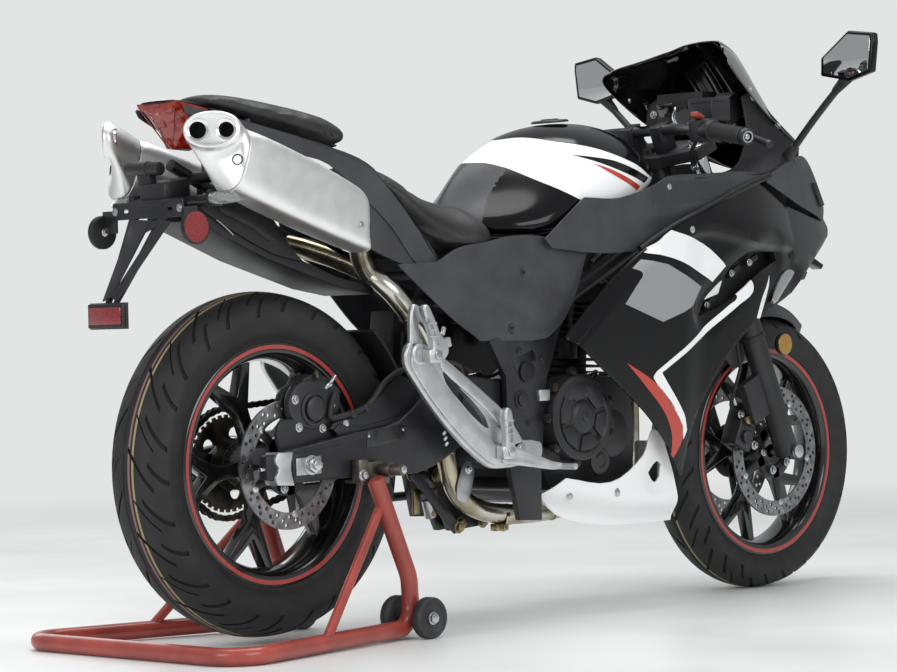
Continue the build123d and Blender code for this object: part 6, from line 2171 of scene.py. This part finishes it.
def make_frame():
    """Main frame, subframe and side stand, with the frame's bolts, plugs and label plates."""
    softened("main_frame", "frame_tubes", "chassis", "satin_black", 2.0)
    softened("subframe", "subframe_tubes", "chassis", "satin_black", 1.0)
    softened("side_stand", "side_stand_leg", "side_stand", "satin_black", 1.0)
    parts = []
    for sign in (-1, 1):
        parts.append(bolt(at(541, 151 * sign, 425), (0, sign, 0), 13, 5, "satin_black", socket=False))
        plug = turned(
            [(0.01, 0), (17, 0), (20, 2), (20, 5), (15, 6), (13, 3), (0.01, 3)], at(556, 150 * sign, 478),
            (0, sign, 0), 36
        )
        parts.append(dressed(plug, "under_black"))
        for x, z in ((560, 380), (600, 500), (536, 520)):
            parts.append(bolt(at(x, 150 * sign, z), (0, sign, 0), 5, 3, "satin_black"))
        plate = prism([(520, 500), (576, 520), (584, 500), (528, 480)], 149.5 * sign, 151 * sign, 0.4)
        parts.append(dressed(plate, "label"))
    gathered(parts, "frame_bolts", "chassis", 35)


# ---------------------------------------------------------------- front end

# Wheelbase and height of the front axle in millimetres, and the fork's rake
WHEELBASE = 1410
FRONT_AXLE = 290
RAKE = math.radians(23.5)
RAKE_TAN = math.tan(RAKE)
FORK_AXIS = Vector((-math.sin(RAKE), 0, math.cos(RAKE)))


def leg(height, side):
    """Place on a fork leg's middle line at a height, in millimetres."""
    return at(WHEELBASE - (height - FRONT_AXLE) * RAKE_TAN, side, height)


def make_fork():
    """Fork legs with their seals, cap bolts and side reflectors, and both clamps."""
    parts = []
    for side in (-97, 97):
        parts.append(dressed(rod(leg(520, side), leg(926, side), 18.5, 0.8, 48), "chrome"))
        cap_ring = turned([(0.01, 0), (20, 0), (20, 8), (17, 10), (0.01, 10)], leg(922, side), FORK_AXIS, 40)
        parts.append(dressed(cap_ring, "chrome"))
        parts.append(dressed(rod(leg(930, side), leg(941, side), 11, 1, 6), "zinc"))
    made = gathered(parts, "fork_stanchions", "steering", 35)
    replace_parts(made, "fork_tubes")
    softened("fork_sliders", "fork_slider_castings", "steering", "engine_black", 2.0)
    parts = []
    for side in (-97, 97):
        seal = turned([
            (19, -6), (27, -6), (28, -2), (27, 6), (22, 11), (19, 11)
        ], leg(534, side), FORK_AXIS, 48)
        parts.append(dressed(seal, "rubber"))
        parts.append(bolt(leg(316, side) + mm(22, 0, 6), (1, 0, 0.3), 6, 4, "zinc"))
        out = math.copysign(1, side)
        parts.append(dressed(rod(
            at(WHEELBASE, 122 * out, FRONT_AXLE), at(WHEELBASE, 129 * out, FRONT_AXLE), 13, 1.5, 6
        ), "zinc"))
        pad = turned(
            [(0.5, -5), (23, -5), (24, -2), (24, 3), (0.5, 3)], at(1418, 88 * out, 516), (0, out, 0), 40
        )
        glass = turned(
            [(0.5, 0), (22, 0), (22, 4), (20, 5.5), (0.5, 6)], at(1418, 90 * out, 516), (0, out, 0), 40
        )
        parts += [dressed(pad, "black_pp"), dressed(glass, "amber_prism")]
    gathered(parts, "fork_fittings", "steering", 35)
    softened("triple_clamps", "fork_clamps", "steering", "engine_black", 2.0)
    crown = []
    stem = leg(888, 0) - mm(30, 0, 0)
    crown.append(dressed(rod(stem, stem + FORK_AXIS * 22 * MM, 17, 2, 6), "zinc"))
    key = stem + mm(46, 0, 10)
    crown.append(dressed(turned([
        (0.01, 0), (17, 0), (19, 4), (19, 22), (15, 25), (0.01, 25)
    ], key, FORK_AXIS, 36), "black_pp"))
    crown.append(dressed(turned([(0.01, 24), (7, 24), (7, 27), (0.01, 27)], key, FORK_AXIS, 24), "zinc"))
    for side in (-97, 97):
        spot = leg(884, side) - mm(26, 0, 0)
        crown.append(bolt(spot, (-1, 0, -0.4), 6, 5, "zinc"))
    gathered(crown, "top_clamp_fittings", "steering", 35)


# Half width of the mudguard by the angle round the wheel in degrees
FENDER_HALF = ((56, 7), (62, 24), (70, 42), (82, 55), (100, 61), (158, 62))


def make_fender():
    """Front mudguard: creased blade with a sharp tip, its side stays and screws."""
    angles = spaced(56, 158, 2.5)
    across = spaced(-1, 1, 0.1)

    def place(row, column):
        """Place of one vertex of the blade, creased beside its middle."""
        angle, share = angles[row], across[column]
        radius = 321 - 30 * abs(share) ** 3 - 5 * ramp(abs(share), 0.5, 0.6)
        turn = math.radians(angle)
        half = curve_value(FENDER_HALF, angle)
        return at(WHEELBASE + radius * math.cos(turn), half * share, FRONT_AXLE + radius * math.sin(turn))

    blade = grid_of(len(across), len(angles), place)
    outward(blade)
    modify(blade, "SOLIDIFY", thickness=size_of("mudguard_wall") * MM, offset=0)
    parts = [dressed(chamfer(blade, 0.9, 2, 60), "matt_grey")]
    for side in (-1, 1):
        stay = prism(eased([
            (1248, 500), (1252, 562), (1300, 590), (1340, 582), (1330, 530), (1300, 470)
        ], (), 4), side * 58, side * 65, 2)
        parts.append(dressed(stay, "matt_grey"))
        for x, z in ((1276, 520), (1312, 548)):
            parts.append(bolt(at(x, 65 * side, z), (0, side, 0), 5.5, 3, "zinc"))
    made = gathered(parts, "front_mudguard", "steering", 35)
    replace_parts(made, "front_fender")


def make_front_brakes():
    """Front calipers with their piston caps and bolts, the axle and the brake hoses."""
    softened("front_calipers", "front_caliper_bodies", "steering", "engine_black", 3.0)
    softened("front_axle", "front_axle_bar", "steering", "zinc", 1.0)
    softened("brake_hoses", "front_brake_hoses", "steering", "rubber", 0)
    parts = []
    for side in (-1, 1):
        for along in (-22, 18):
            turn = math.radians(-64)
            x = 1299 + along * math.cos(turn)
            z = 344 - along * math.sin(turn)
            cap_disc = turned(
                [(0.01, 0), (13, 0), (14.5, 2), (14.5, 6), (12, 8), (0.01, 7)], at(x, 87 * side, z),
                (0, side, 0), 36
            )
            parts.append(dressed(cap_disc, "engine_black"))
        parts.append(bolt(at(1276, 84 * side, 372), (0, side, 0), 6.5, 6, "zinc"))
        parts.append(bolt(at(1318, 84 * side, 306), (0, side, 0), 6.5, 6, "zinc"))
        parts.append(dressed(rod(at(1268, 78 * side, 392), at(1262, 78 * side, 408), 5, 0.8, 6), "zinc"))
        parts.append(dressed(rod(at(1288, 90 * side, 360), at(1288, 97 * side, 360), 9, 1, 20), "brass"))
    gathered(parts, "front_caliper_fittings", "steering", 35)


# ---------------------------------------------------------------- cockpit

# Inner and outer end of a grip, as (station, side, height)
GRIP_ROUTE = ((1053, 200, 952), (1013, 330, 930))


def bar_place(share, sign):
    """Place along the outer part of the handlebar, from the switches to its end."""
    a, b = (Vector(p) for p in GRIP_ROUTE)
    p = a + (b - a) * share
    return at(p.x, p.y * sign, p.z)


def make_bars():
    """Clip-on bars with ribbed grips and bar-end weights."""
    softened("handlebars", "handlebar_tubes", "steering", "satin_black", 2.0)
    parts = []
    for sign in (-1, 1):
        start, end = bar_place(0.08, sign), bar_place(0.96, sign)
        along = (end - start).normalized()
        length = (end - start).length / MM
        profile = [(11.2, 0), (20, 0), (20, 3), (17, 5)]
        position = 5.0
        while position < length - 8:
            profile += [
                (17.0, position), (17.6, position + 0.6), (17.6, position + 2.2), (16.6, position + 2.8)
            ]
            position += 3.6
        profile += [(17.4, length - 5), (18.2, length - 3), (18.2, length), (11.2, length)]
        parts.append(dressed(turned(profile, start, along, 48), "rubber"))
        weight = turned([
            (0.01, 0), (15, 0), (17, 2), (17, 9), (15, 12), (9, 12), (8, 9), (0.01, 9)
        ], end, along, 40)
        parts.append(dressed(weight, "satin_black"))
        parts.append(dressed(turned([(9, 9), (12, 9), (12, 12.6), (9, 12.6)], end, along, 32), "zinc"))
        parts.append(dressed(rod(end + along * 8 * MM, end + along * 11 * MM, 6, 0.6, 6), "zinc"))
    made = gathered(parts, "ribbed_grips", "steering", 35)
    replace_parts(made, "grips")


def make_switches():
    """Switch housings with their buttons, screws and cables."""
    parts = []
    for sign in (-1, 1):
        start, end = bar_place(-0.34, sign), bar_place(0.06, sign)
        along = (end - start).normalized()
        parts.append(dressed(block(
            (start + end) / 2 + mm(0, 0, -2), (44, 48, 46), 6, (0, -6, -16 * sign)
        ), "black_pp"))
        seam = turned([(24, -1), (25.5, -1), (25.5, 1), (24, 1)], (start + end) / 2, along, 32)
        parts.append(dressed(seam, "under_black"))
        parts.append(dressed(block(start + mm(-22, 8 * sign, -14), (10, 16, 12), 3), "under_black"))
        parts.append(dressed(rod(
            start + mm(-20, 18 * sign, 10), start + mm(-28, 18 * sign, 12), 6, 2, 20
        ), "under_black"))
        parts.append(bolt(start + mm(-22, 26 * sign, -20), (-1, 0, 0), 3, 2, "zinc"))
        cable = tube([start + Vector(p) * MM for p in (
            (6, 0, -20), (14, -30 * sign, -48), (60, -60 * sign, -70), (86, -70 * sign, -96)
        )], 4, 6, 4)
        parts.append(dressed(cable, "rubber"))
    red = block(at(1036, -186, 981), (32, 18, 11), 3, (0, 12, 14))
    parts.append(dressed(red, "switch_red"))
    gathered(parts, "switch_housings", "steering", 35)


def make_hand_levers():
    """Brake and clutch levers with ball ends, perches, fluid pot and its cap."""
    parts = []
    for sign in (-1, 1):
        blade = tube(spots((
            (1086, 176 * sign, 940), (1104, 200 * sign, 944), (1112, 240 * sign, 944),
            (1098, 290 * sign, 930), (1082, 330 * sign, 918)
        )), 6.5, 10, 6)
        ball = turned(
            [(0.01, -9), (6, -7.5), (9, 0), (6, 7.5), (0.01, 9)], at(1080, 332 * sign, 917), (0, 1, 0), 24
        )
        perch = block(at(1072, 178 * sign, 946), (44, 30, 24), 5, (0, 0, -14 * sign))
        parts += [dressed(blade, "satin_black"), dressed(ball, "satin_black"), dressed(perch, "satin_black")]
        parts.append(dressed(rod(at(1082, 180 * sign, 934), at(1082, 180 * sign, 962), 5, 0.8, 16), "zinc"))
        for lift in (-7, 7):
            parts.append(bolt(at(1046, 178 * sign, 946 + lift), (-1, 0, 0), 3.2, 2, "zinc"))
    made = gathered(parts, "hand_lever_set", "steering", 35)
    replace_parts(made, "hand_levers")
    pot = []
    pot.append(dressed(block(at(1117, -150, 992), (54, 58, 32), 6, (0, 0, 0), 3), "black_pp"))
    pot.append(dressed(block(at(1117, -150, 1013), (58, 62, 9), 3, (0, 0, 0), 3), "black_pp"))
    for x, y in ((1096, -172), (1138, -128)):
        pot.append(bolt(at(x, y, 1017), (0, 0, 1), 3.5, 2, "zinc"))
    gathered(pot, "brake_fluid_pot", "steering", 35)


def make_instruments():
    """Instrument housing with its dial, bezel and warning lamps, facing the rider."""
    softened("instruments", "instrument_housing", "chassis", "under_black", 10.0)
    normal = Vector((-0.9, 0, 0.44)).normalized()
    face = at(1200, 0, 1008)
    parts = []
    bezel = turned([(33, -2), (38, -2), (38, 3), (35, 4), (33, 1)], face + mm(0, -22, 0), normal, 56)
    dial = turned([(0.01, -1), (33.5, -1), (33.5, 0.4), (0.01, 0.6)], face + mm(0, -22, 0), normal, 56)
    parts += [dressed(bezel, "zinc"), dressed(dial, "gauge")]
    parts.append(dressed(block(face + mm(0, 34, 0), (6, 44, 40), 2.5, (0, -26, 0)), "gauge"))
    parts.append(dressed(block(
        face + mm(0, -22, 8) + normal * 2 * MM, (2, 1.6, 30), 0.3, (0, -26, 0)
    ), "under_black"))
    for step in range(4):
        parts.append(dressed(turned(
            [(0.01, -1), (3, -1), (3, 2), (0.01, 2.4)], face + mm(0, 18 + step * 10, -26), normal, 16
        ), "clear_lens"))
    dash = lofted([
        [at(x, y, z) for x, z in ((1214, 972), (1230, 968), (1300, 1000), (1284, 1052), (1222, 1040))]
        for y in (-110, -60, 0, 60, 110)
    ], 1)
    parts.append(dressed(dash, "under_black"))
    for y in (-78, 78):
        stay = rod(at(1210, y, 1006), at(1236, y * 0.8, 1008), 4, 0.5, 12)
        parts += [dressed(stay, "satin_black"), bolt(at(1208, y, 1006), (-1, 0, 0), 6, 4, "zinc")]
    gathered(parts, "instrument_faces", "chassis", 40)


# Outline of a mirror's shell, as (side, height)
MIRROR_SHELL = [
    (-346, 1155), (-411, 1146), (-412, 1128), (-404, 1066), (-347, 1051), (-273, 1067), (-274, 1103),
    (-303, 1124)
]


def make_mirrors():
    """Faceted mirror shells with their glass, rubber boots and stalks."""
    parts = []
    for sign in (1, -1):
        def ring(scale, x):
            """The shell's outline at a station, drawn in to a share of its size."""
            cy = sum(p[0] for p in MIRROR_SHELL) / len(MIRROR_SHELL)
            cz = sum(p[1] for p in MIRROR_SHELL) / len(MIRROR_SHELL)
            return [at(x, -(cy + (y - cy) * scale) * sign, cz + (z - cz) * scale) for y, z in MIRROR_SHELL]
        shell = lofted([
            ring(0.93, 1326), ring(1.0, 1329), ring(0.97, 1344), ring(0.72, 1362), ring(0.4, 1370)
        ], 0)
        chamfer(shell, 3, 3, 20)
        parts.append(dressed(shell, "gloss_black"))
        glass_ring = [
            at(1325.2, -(-343 + (y + 343) * 0.86) * sign, 1102 + (z - 1102) * 0.86) for y, z in MIRROR_SHELL
        ]
        glass = ring_of(glass_ring)
        extruded(glass, (3, 0, 0))
        parts.append(dressed(chamfer(glass, 0.6), "mirror"))
        stalk = [
            (1345, 168, 905), (1340, 205, 940), (1338, 250, 984), (1338, 310, 1040), (1340, 340, 1064),
            (1342, 348, 1080)
        ]
        parts.append(dressed(tube([at(x, y * sign, z) for x, y, z in stalk], 7.5, 8, 6), "black_pp"))
        parts.append(dressed(rod(
            at(1346, 160 * sign, 898), at(1342, 192 * sign, 930), 14, 3, 24, 9
        ), "rubber"))
        parts.append(dressed(rod(
            at(1338, 300 * sign, 1032), at(1342, 346 * sign, 1072), 8, 3, 24, 15
        ), "rubber"))
        foot = block(at(1346, 160 * sign, 896), (44, 16, 30), 4, (0, -24, 10 * sign))
        parts.append(dressed(foot, "rubber"))
    made = gathered(parts, "faceted_mirrors", "chassis", 30)
    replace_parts(made, "mirrors")


# ---------------------------------------------------------------- stage

def make_stage():
    """Pale floor, pale surroundings, soft studio lamps and the camera."""
    alone()
    bpy.ops.mesh.primitive_plane_add(size=60, location=(0, 0, 0))
    floor = bpy.context.object
    floor.name = "studio_floor"
    made, tree, shader, place = surface("pale_studio_floor", "#E6E7E6", 0.35)
    mottle(tree, shader, place, "#E2E3E2", "#EAEBEA", 900)
    rough_spots(tree, shader, place, 0.22, 0.5, 400)
    ray = add(tree, "ShaderNodeLightPath")
    reach = add(tree, "ShaderNodeVectorMath", links={0: place}, operation="LENGTH")
    far = add(
        tree, "ShaderNodeMapRange", {"From Min": 2.2, "From Max": 5.5}, {"Value": reach.outputs["Value"]},
        interpolation_type="SMOOTHSTEP"
    )
    share = add(
        tree, "ShaderNodeMath", links={0: far.outputs[0], 1: ray.outputs["Is Camera Ray"]},
        operation="MULTIPLY"
    )
    pale = add(tree, "ShaderNodeEmission", {"Color": linear("#E3E5E4"), "Strength": 1.0})
    both_floors = add(tree, "ShaderNodeMixShader", links={
        0: share.outputs[0], 1: shader.outputs[0], 2: pale.outputs[0]
    })
    output = next(n for n in tree.nodes if n.type == "OUTPUT_MATERIAL")
    tree.links.new(both_floors.outputs[0], output.inputs["Surface"])
    floor.data.materials.append(made)
    world = bpy.data.worlds.new("studio")
    bpy.context.scene.world = world
    world.use_nodes = True
    tree = world.node_tree
    tree.nodes.clear()
    ray = add(tree, "ShaderNodeLightPath")
    through = add(
        tree, "ShaderNodeMath",
        links={0: ray.outputs["Is Camera Ray"], 1: ray.outputs["Is Transmission Ray"]}, operation="MAXIMUM"
    )
    fill = add(
        tree, "ShaderNodeMath", {1: -0.28, 2: 0.7}, {0: ray.outputs["Is Glossy Ray"]},
        operation="MULTIPLY_ADD"
    )
    lit = add(tree, "ShaderNodeBackground", {"Color": linear("#F4F6F8")}, {"Strength": fill.outputs[0]})
    shown = add(tree, "ShaderNodeBackground", {"Color": linear("#E3E5E4"), "Strength": 1.0})
    mixed = add(tree, "ShaderNodeMixShader", links={
        0: through.outputs[0], 1: lit.outputs[0], 2: shown.outputs[0]
    })
    add(tree, "ShaderNodeOutputWorld", links={"Surface": mixed.outputs[0]})
    for name, place, target, size, power in (
        ("overhead_softbox", (0.1, 0.2, 3.6), (0, 0, 0.5), (3.2, 2.2), 84),
        ("right_softbox", (-0.6, -3.8, 2.0), (0, 0, 0.6), (2.8, 1.6), 52),
        ("rear_softbox", (-4.2, -0.6, 1.8), (0, 0, 0.6), (1.8, 1.6), 36),
        ("left_softbox", (0.8, 3.8, 2.0), (0, 0, 0.6), (2.6, 1.6), 24),
    ):
        light = bpy.data.lights.new(name, "AREA")
        light.shape = "RECTANGLE"
        light.size, light.size_y = size
        light.energy = power
        lamp = bpy.data.objects.new(name, light)
        bpy.context.scene.collection.objects.link(lamp)
        lamp.location = place
        lamp.rotation_euler = (Vector(target) - Vector(place)).to_track_quat("-Z", "Y").to_euler()
    make_camera()
    settings = bpy.context.scene.view_settings
    settings.view_transform = "Standard"


# Camera: place in millimetres, yaw, pitch and roll in degrees, focus and picture width in pixels
CAMERA_PLACE = (-3788.588, -4245.983, 553.058)
CAMERA_TURN = (45.279, -0.031, -1.298)
CAMERA_FOCUS = 3124.718
PICTURE_WIDTH = 897
SENSOR_WIDTH = 36


def make_camera():
    """Camera behind and to the right of the bike, at axle-to-seat height."""
    yaw, pitch, roll = (math.radians(a) for a in CAMERA_TURN)
    forward = Vector((math.sin(yaw) * math.cos(pitch), math.cos(yaw) * math.cos(pitch), math.sin(pitch)))
    flat_right = Vector((math.cos(yaw), -math.sin(yaw), 0))
    flat_up = flat_right.cross(forward)
    right = flat_right * math.cos(roll) + flat_up * math.sin(roll)
    up = flat_up * math.cos(roll) - flat_right * math.sin(roll)
    camera = bpy.data.objects.new("camera", bpy.data.cameras.new("camera"))
    bpy.context.scene.collection.objects.link(camera)
    turn = Matrix((right, up, -forward)).transposed().to_4x4()
    camera.matrix_world = Matrix.Translation(at(*CAMERA_PLACE)) @ turn
    camera.data.sensor_width = SENSOR_WIDTH
    camera.data.lens = SENSOR_WIDTH * CAMERA_FOCUS / PICTURE_WIDTH
    camera.data.clip_end = 100
    bpy.context.scene.camera = camera


# ---------------------------------------------------------------- add-on

def size_property(name, description, length_mm):
    """A length that the panel offers."""
    return bpy.props.FloatProperty(
        name=name, description=description, default=length_mm * MM, min=0.1 * MM, precision=5, unit="LENGTH")


def colour_property(name, description, code):
    """A hex colour that the panel offers."""
    return bpy.props.StringProperty(name=name, description=description, default=code)


class BikeSizes(bpy.types.PropertyGroup):
    """Sizes of the moulded, cast and drilled parts."""

    panel_wall: size_property("Panel wall", "Thickness of the body panels", 3.0)
    screen_wall: size_property("Screen thickness", "Thickness of the acrylic screen", 3.0)
    mudguard_wall: size_property("Mudguard wall", "Thickness of the front mudguard", 3.0)
    groove_depth: size_property("Groove depth", "Depth of the tyres' grooves", 2.6)
    disc_thickness: size_property("Disc thickness", "Thickness of the brake discs", 4.4)
    disc_hole: size_property("Disc hole radius", "Radius of the holes drilled in the discs", 3.9)
    rear_spoke: size_property("Rear spoke depth", "Depth of the rear spokes along the axle", 26.0)
    front_spoke: size_property("Front spoke depth", "Depth of the front spokes along the axle", 22.0)
    chain_pitch: size_property("Chain pitch", "Distance between the chain's rollers", 15.875)
    seam_radius: size_property("Seam radius", "Radius of the cord in the pillion seat's seams", 1.5)


class BikeColours(bpy.types.PropertyGroup):
    """Colours of the bodywork and the stand, as sRGB hex values."""

    body_black: colour_property("Body black", "Lacquered black of the fairing and tail", "#0C0C0E")
    body_white: colour_property("Body white", "Lacquered white of the tank and belly pan", "#EDEEEE")
    stripe_red: colour_property("Stripe red", "Red of the stripes", "#B63A2C")
    rim_tape: colour_property("Rim tape", "Line round both rims", "#A83A33")
    stand_low: colour_property("Stand, shaded", "Darker red of the stand's coat", "#8E3A30")
    stand_red: colour_property("Stand", "Red of the stand's coat", "#A8453A")


def size_of(name):
    """One of the user's sizes in millimetres, to the nearest thousandth."""
    return round(getattr(bpy.context.scene.bike_sizes, name) / MM, 3)


class BIKE_OT_stage(bpy.types.Operator):
    """Floor, lamps, surroundings and camera"""

    bl_idname = "bike.stage"
    bl_label = "Stage"

    def execute(self, context):
        make_stage()
        return {"FINISHED"}


class BIKE_OT_materials(bpy.types.Operator):
    """Finishes, also on the stand's tube, which stays in view as the CAD node"""

    bl_idname = "bike.materials"
    bl_label = "Finishes"

    def execute(self, context):
        make_materials(context.scene.bike_colours)
        dressed(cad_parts["paddock_stand"], "stand")
        return {"FINISHED"}


class BIKE_OT_wheels(bpy.types.Operator):
    """Tyres with their tread, cast rims and drilled discs"""

    bl_idname = "bike.wheels"
    bl_label = "Wheels"

    def execute(self, context):
        make_wheels()
        return {"FINISHED"}


class BIKE_OT_fairings(bpy.types.Operator):
    """Side fairings with their vents and printed fields"""

    bl_idname = "bike.fairings"
    bl_label = "Side fairings"

    def execute(self, context):
        make_fairings()
        return {"FINISHED"}


class BIKE_OT_upper_panels(bpy.types.Operator):
    """Panels from the tank to the screen"""

    bl_idname = "bike.upper_panels"
    bl_label = "Inner panels"

    def execute(self, context):
        make_upper_panels()
        return {"FINISHED"}


class BIKE_OT_belly_pan(bpy.types.Operator):
    """Pan under the engine"""

    bl_idname = "bike.belly_pan"
    bl_label = "Belly pan"

    def execute(self, context):
        make_belly_pan()
        return {"FINISHED"}


class BIKE_OT_side_covers(bpy.types.Operator):
    """Covers under the seat"""

    bl_idname = "bike.side_covers"
    bl_label = "Side covers"

    def execute(self, context):
        make_side_covers()
        return {"FINISHED"}


class BIKE_OT_tail(bpy.types.Operator):
    """Tail shell with its blades and inlays"""

    bl_idname = "bike.tail"
    bl_label = "Tail shell"

    def execute(self, context):
        make_tail()
        return {"FINISHED"}


class BIKE_OT_tank(bpy.types.Operator):
    """Painted tank with its cap"""

    bl_idname = "bike.tank"
    bl_label = "Fuel tank"

    def execute(self, context):
        make_tank()
        return {"FINISHED"}


class BIKE_OT_seats(bpy.types.Operator):
    """Rider's and pillion's pads"""

    bl_idname = "bike.seats"
    bl_label = "Seats"

    def execute(self, context):
        make_seats()
        return {"FINISHED"}


class BIKE_OT_silencers(bpy.types.Operator):
    """Twin silencers under the tail"""

    bl_idname = "bike.silencers"
    bl_label = "Silencers"

    def execute(self, context):
        make_silencers()
        return {"FINISHED"}


class BIKE_OT_screen(bpy.types.Operator):
    """Smoked windscreen"""

    bl_idname = "bike.screen"
    bl_label = "Screen"

    def execute(self, context):
        make_screen()
        return {"FINISHED"}


class BIKE_OT_nose(bpy.types.Operator):
    """Nose with its lamps"""

    bl_idname = "bike.nose"
    bl_label = "Nose"

    def execute(self, context):
        make_nose()
        return {"FINISHED"}


class BIKE_OT_tail_lamp(bpy.types.Operator):
    """Red wedge lamp"""

    bl_idname = "bike.tail_lamp"
    bl_label = "Tail lamp"

    def execute(self, context):
        make_tail_lamp()
        return {"FINISHED"}


class BIKE_OT_plate_bracket(bpy.types.Operator):
    """Number plate bracket with its reflectors, plate lamp and clear indicators"""

    bl_idname = "bike.plate_bracket"
    bl_label = "Plate bracket"

    def execute(self, context):
        make_plate_bracket()
        make_rear_reflectors()
        make_rear_lamps()
        return {"FINISHED"}


class BIKE_OT_undertray(bpy.types.Operator):
    """Tray over the rear wheel"""

    bl_idname = "bike.undertray"
    bl_label = "Undertray"

    def execute(self, context):
        make_undertray()
        return {"FINISHED"}


class BIKE_OT_swingarm(bpy.types.Operator):
    """Box swingarm with chain adjusters and axle"""

    bl_idname = "bike.swingarm"
    bl_label = "Swingarm"

    def execute(self, context):
        make_swingarm()
        make_axle()
        return {"FINISHED"}


class BIKE_OT_rear_brake(bpy.types.Operator):
    """Rear caliper with its hose"""

    bl_idname = "bike.rear_brake"
    bl_label = "Rear brake"

    def execute(self, context):
        make_rear_brake()
        return {"FINISHED"}


class BIKE_OT_hugger(bpy.types.Operator):
    """Tyre hugger and guard"""

    bl_idname = "bike.hugger"
    bl_label = "Hugger"

    def execute(self, context):
        make_hugger()
        return {"FINISHED"}


class BIKE_OT_drive(bpy.types.Operator):
    """Chain wheel and link chain"""

    bl_idname = "bike.drive"
    bl_label = "Chain drive"

    def execute(self, context):
        make_drive()
        return {"FINISHED"}


class BIKE_OT_hangers(bpy.types.Operator):
    """Cast footrest hangers"""

    bl_idname = "bike.hangers"
    bl_label = "Hangers"

    def execute(self, context):
        make_hangers()
        return {"FINISHED"}


class BIKE_OT_pegs(bpy.types.Operator):
    """Rider's and pillion's folding pegs"""

    bl_idname = "bike.pegs"
    bl_label = "Footpegs"

    def execute(self, context):
        make_pegs()
        return {"FINISHED"}


class BIKE_OT_levers(bpy.types.Operator):
    """Brake pedal, gear lever and rear master cylinder"""

    bl_idname = "bike.levers"
    bl_label = "Foot levers"

    def execute(self, context):
        make_levers()
        return {"FINISHED"}


class BIKE_OT_engine(bpy.types.Operator):
    """Crankcase with covers and finned barrel"""

    bl_idname = "bike.engine"
    bl_label = "Engine"

    def execute(self, context):
        make_engine()
        return {"FINISHED"}


class BIKE_OT_pipe(bpy.types.Operator):
    """Stainless pipe with clamps"""

    bl_idname = "bike.pipe"
    bl_label = "Exhaust pipe"

    def execute(self, context):
        make_pipe()
        return {"FINISHED"}


class BIKE_OT_shock(bpy.types.Operator):
    """Shock absorber and its linkage"""

    bl_idname = "bike.shock"
    bl_label = "Shock absorber"

    def execute(self, context):
        make_shock()
        return {"FINISHED"}


class BIKE_OT_stand(bpy.types.Operator):
    """Cradles and casters of the paddock stand"""

    bl_idname = "bike.stand"
    bl_label = "Stand"

    def execute(self, context):
        make_stand()
        return {"FINISHED"}


class BIKE_OT_frame(bpy.types.Operator):
    """Main frame, subframe and side stand"""

    bl_idname = "bike.frame"
    bl_label = "Frame"

    def execute(self, context):
        make_frame()
        return {"FINISHED"}


class BIKE_OT_front_end(bpy.types.Operator):
    """Fork legs, clamps, fender and front brakes"""

    bl_idname = "bike.front_end"
    bl_label = "Front end"

    def execute(self, context):
        make_fork()
        make_fender()
        make_front_brakes()
        return {"FINISHED"}


class BIKE_OT_cockpit(bpy.types.Operator):
    """Bars, grips, switches, hand levers and instruments"""

    bl_idname = "bike.cockpit"
    bl_label = "Cockpit"

    def execute(self, context):
        make_bars()
        make_switches()
        make_hand_levers()
        make_instruments()
        return {"FINISHED"}


class BIKE_OT_mirrors(bpy.types.Operator):
    """Faceted mirrors on stalks"""

    bl_idname = "bike.mirrors"
    bl_label = "Mirrors"

    def execute(self, context):
        make_mirrors()
        return {"FINISHED"}


OPERATORS = [
    BIKE_OT_materials, BIKE_OT_stage, BIKE_OT_wheels, BIKE_OT_fairings, BIKE_OT_upper_panels,
    BIKE_OT_belly_pan, BIKE_OT_side_covers, BIKE_OT_tail, BIKE_OT_tank, BIKE_OT_seats, BIKE_OT_silencers,
    BIKE_OT_screen, BIKE_OT_nose, BIKE_OT_tail_lamp, BIKE_OT_plate_bracket, BIKE_OT_undertray,
    BIKE_OT_swingarm, BIKE_OT_rear_brake, BIKE_OT_hugger, BIKE_OT_drive, BIKE_OT_hangers, BIKE_OT_pegs,
    BIKE_OT_levers, BIKE_OT_engine, BIKE_OT_pipe, BIKE_OT_shock, BIKE_OT_stand, BIKE_OT_frame,
    BIKE_OT_front_end, BIKE_OT_cockpit, BIKE_OT_mirrors
]


class BIKE_PT_panel(bpy.types.Panel):
    """The bike's pieces, in the order in which they are made"""

    bl_label = "Sport Bike"
    bl_space_type = "VIEW_3D"
    bl_region_type = "UI"
    bl_category = "Sport Bike"

    def draw(self, context):
        for kept, kind in ((context.scene.bike_sizes, BikeSizes), (context.scene.bike_colours, BikeColours)):
            for name in kind.__annotations__:
                self.layout.prop(kept, name)
        for operator in OPERATORS:
            self.layout.operator(operator.bl_idname)


def register():
    """Adds the sizes, the colours, the operators and the panel to Blender."""
    bpy.utils.register_class(BikeSizes)
    bpy.utils.register_class(BikeColours)
    bpy.types.Scene.bike_sizes = bpy.props.PointerProperty(type=BikeSizes)
    bpy.types.Scene.bike_colours = bpy.props.PointerProperty(type=BikeColours)
    for operator in OPERATORS:
        bpy.utils.register_class(operator)
    bpy.utils.register_class(BIKE_PT_panel)


def unregister():
    """Takes them out again, in the opposite order."""
    bpy.utils.unregister_class(BIKE_PT_panel)
    for operator in reversed(OPERATORS):
        bpy.utils.unregister_class(operator)
    del bpy.types.Scene.bike_colours
    del bpy.types.Scene.bike_sizes
    bpy.utils.unregister_class(BikeColours)
    bpy.utils.unregister_class(BikeSizes)


def main():
    """Registers the add-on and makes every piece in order."""
    register()
    for operator in OPERATORS:
        group, name = operator.bl_idname.split(".")
        getattr(getattr(bpy.ops, group), name)()


if __name__ == "__main__":
    main()
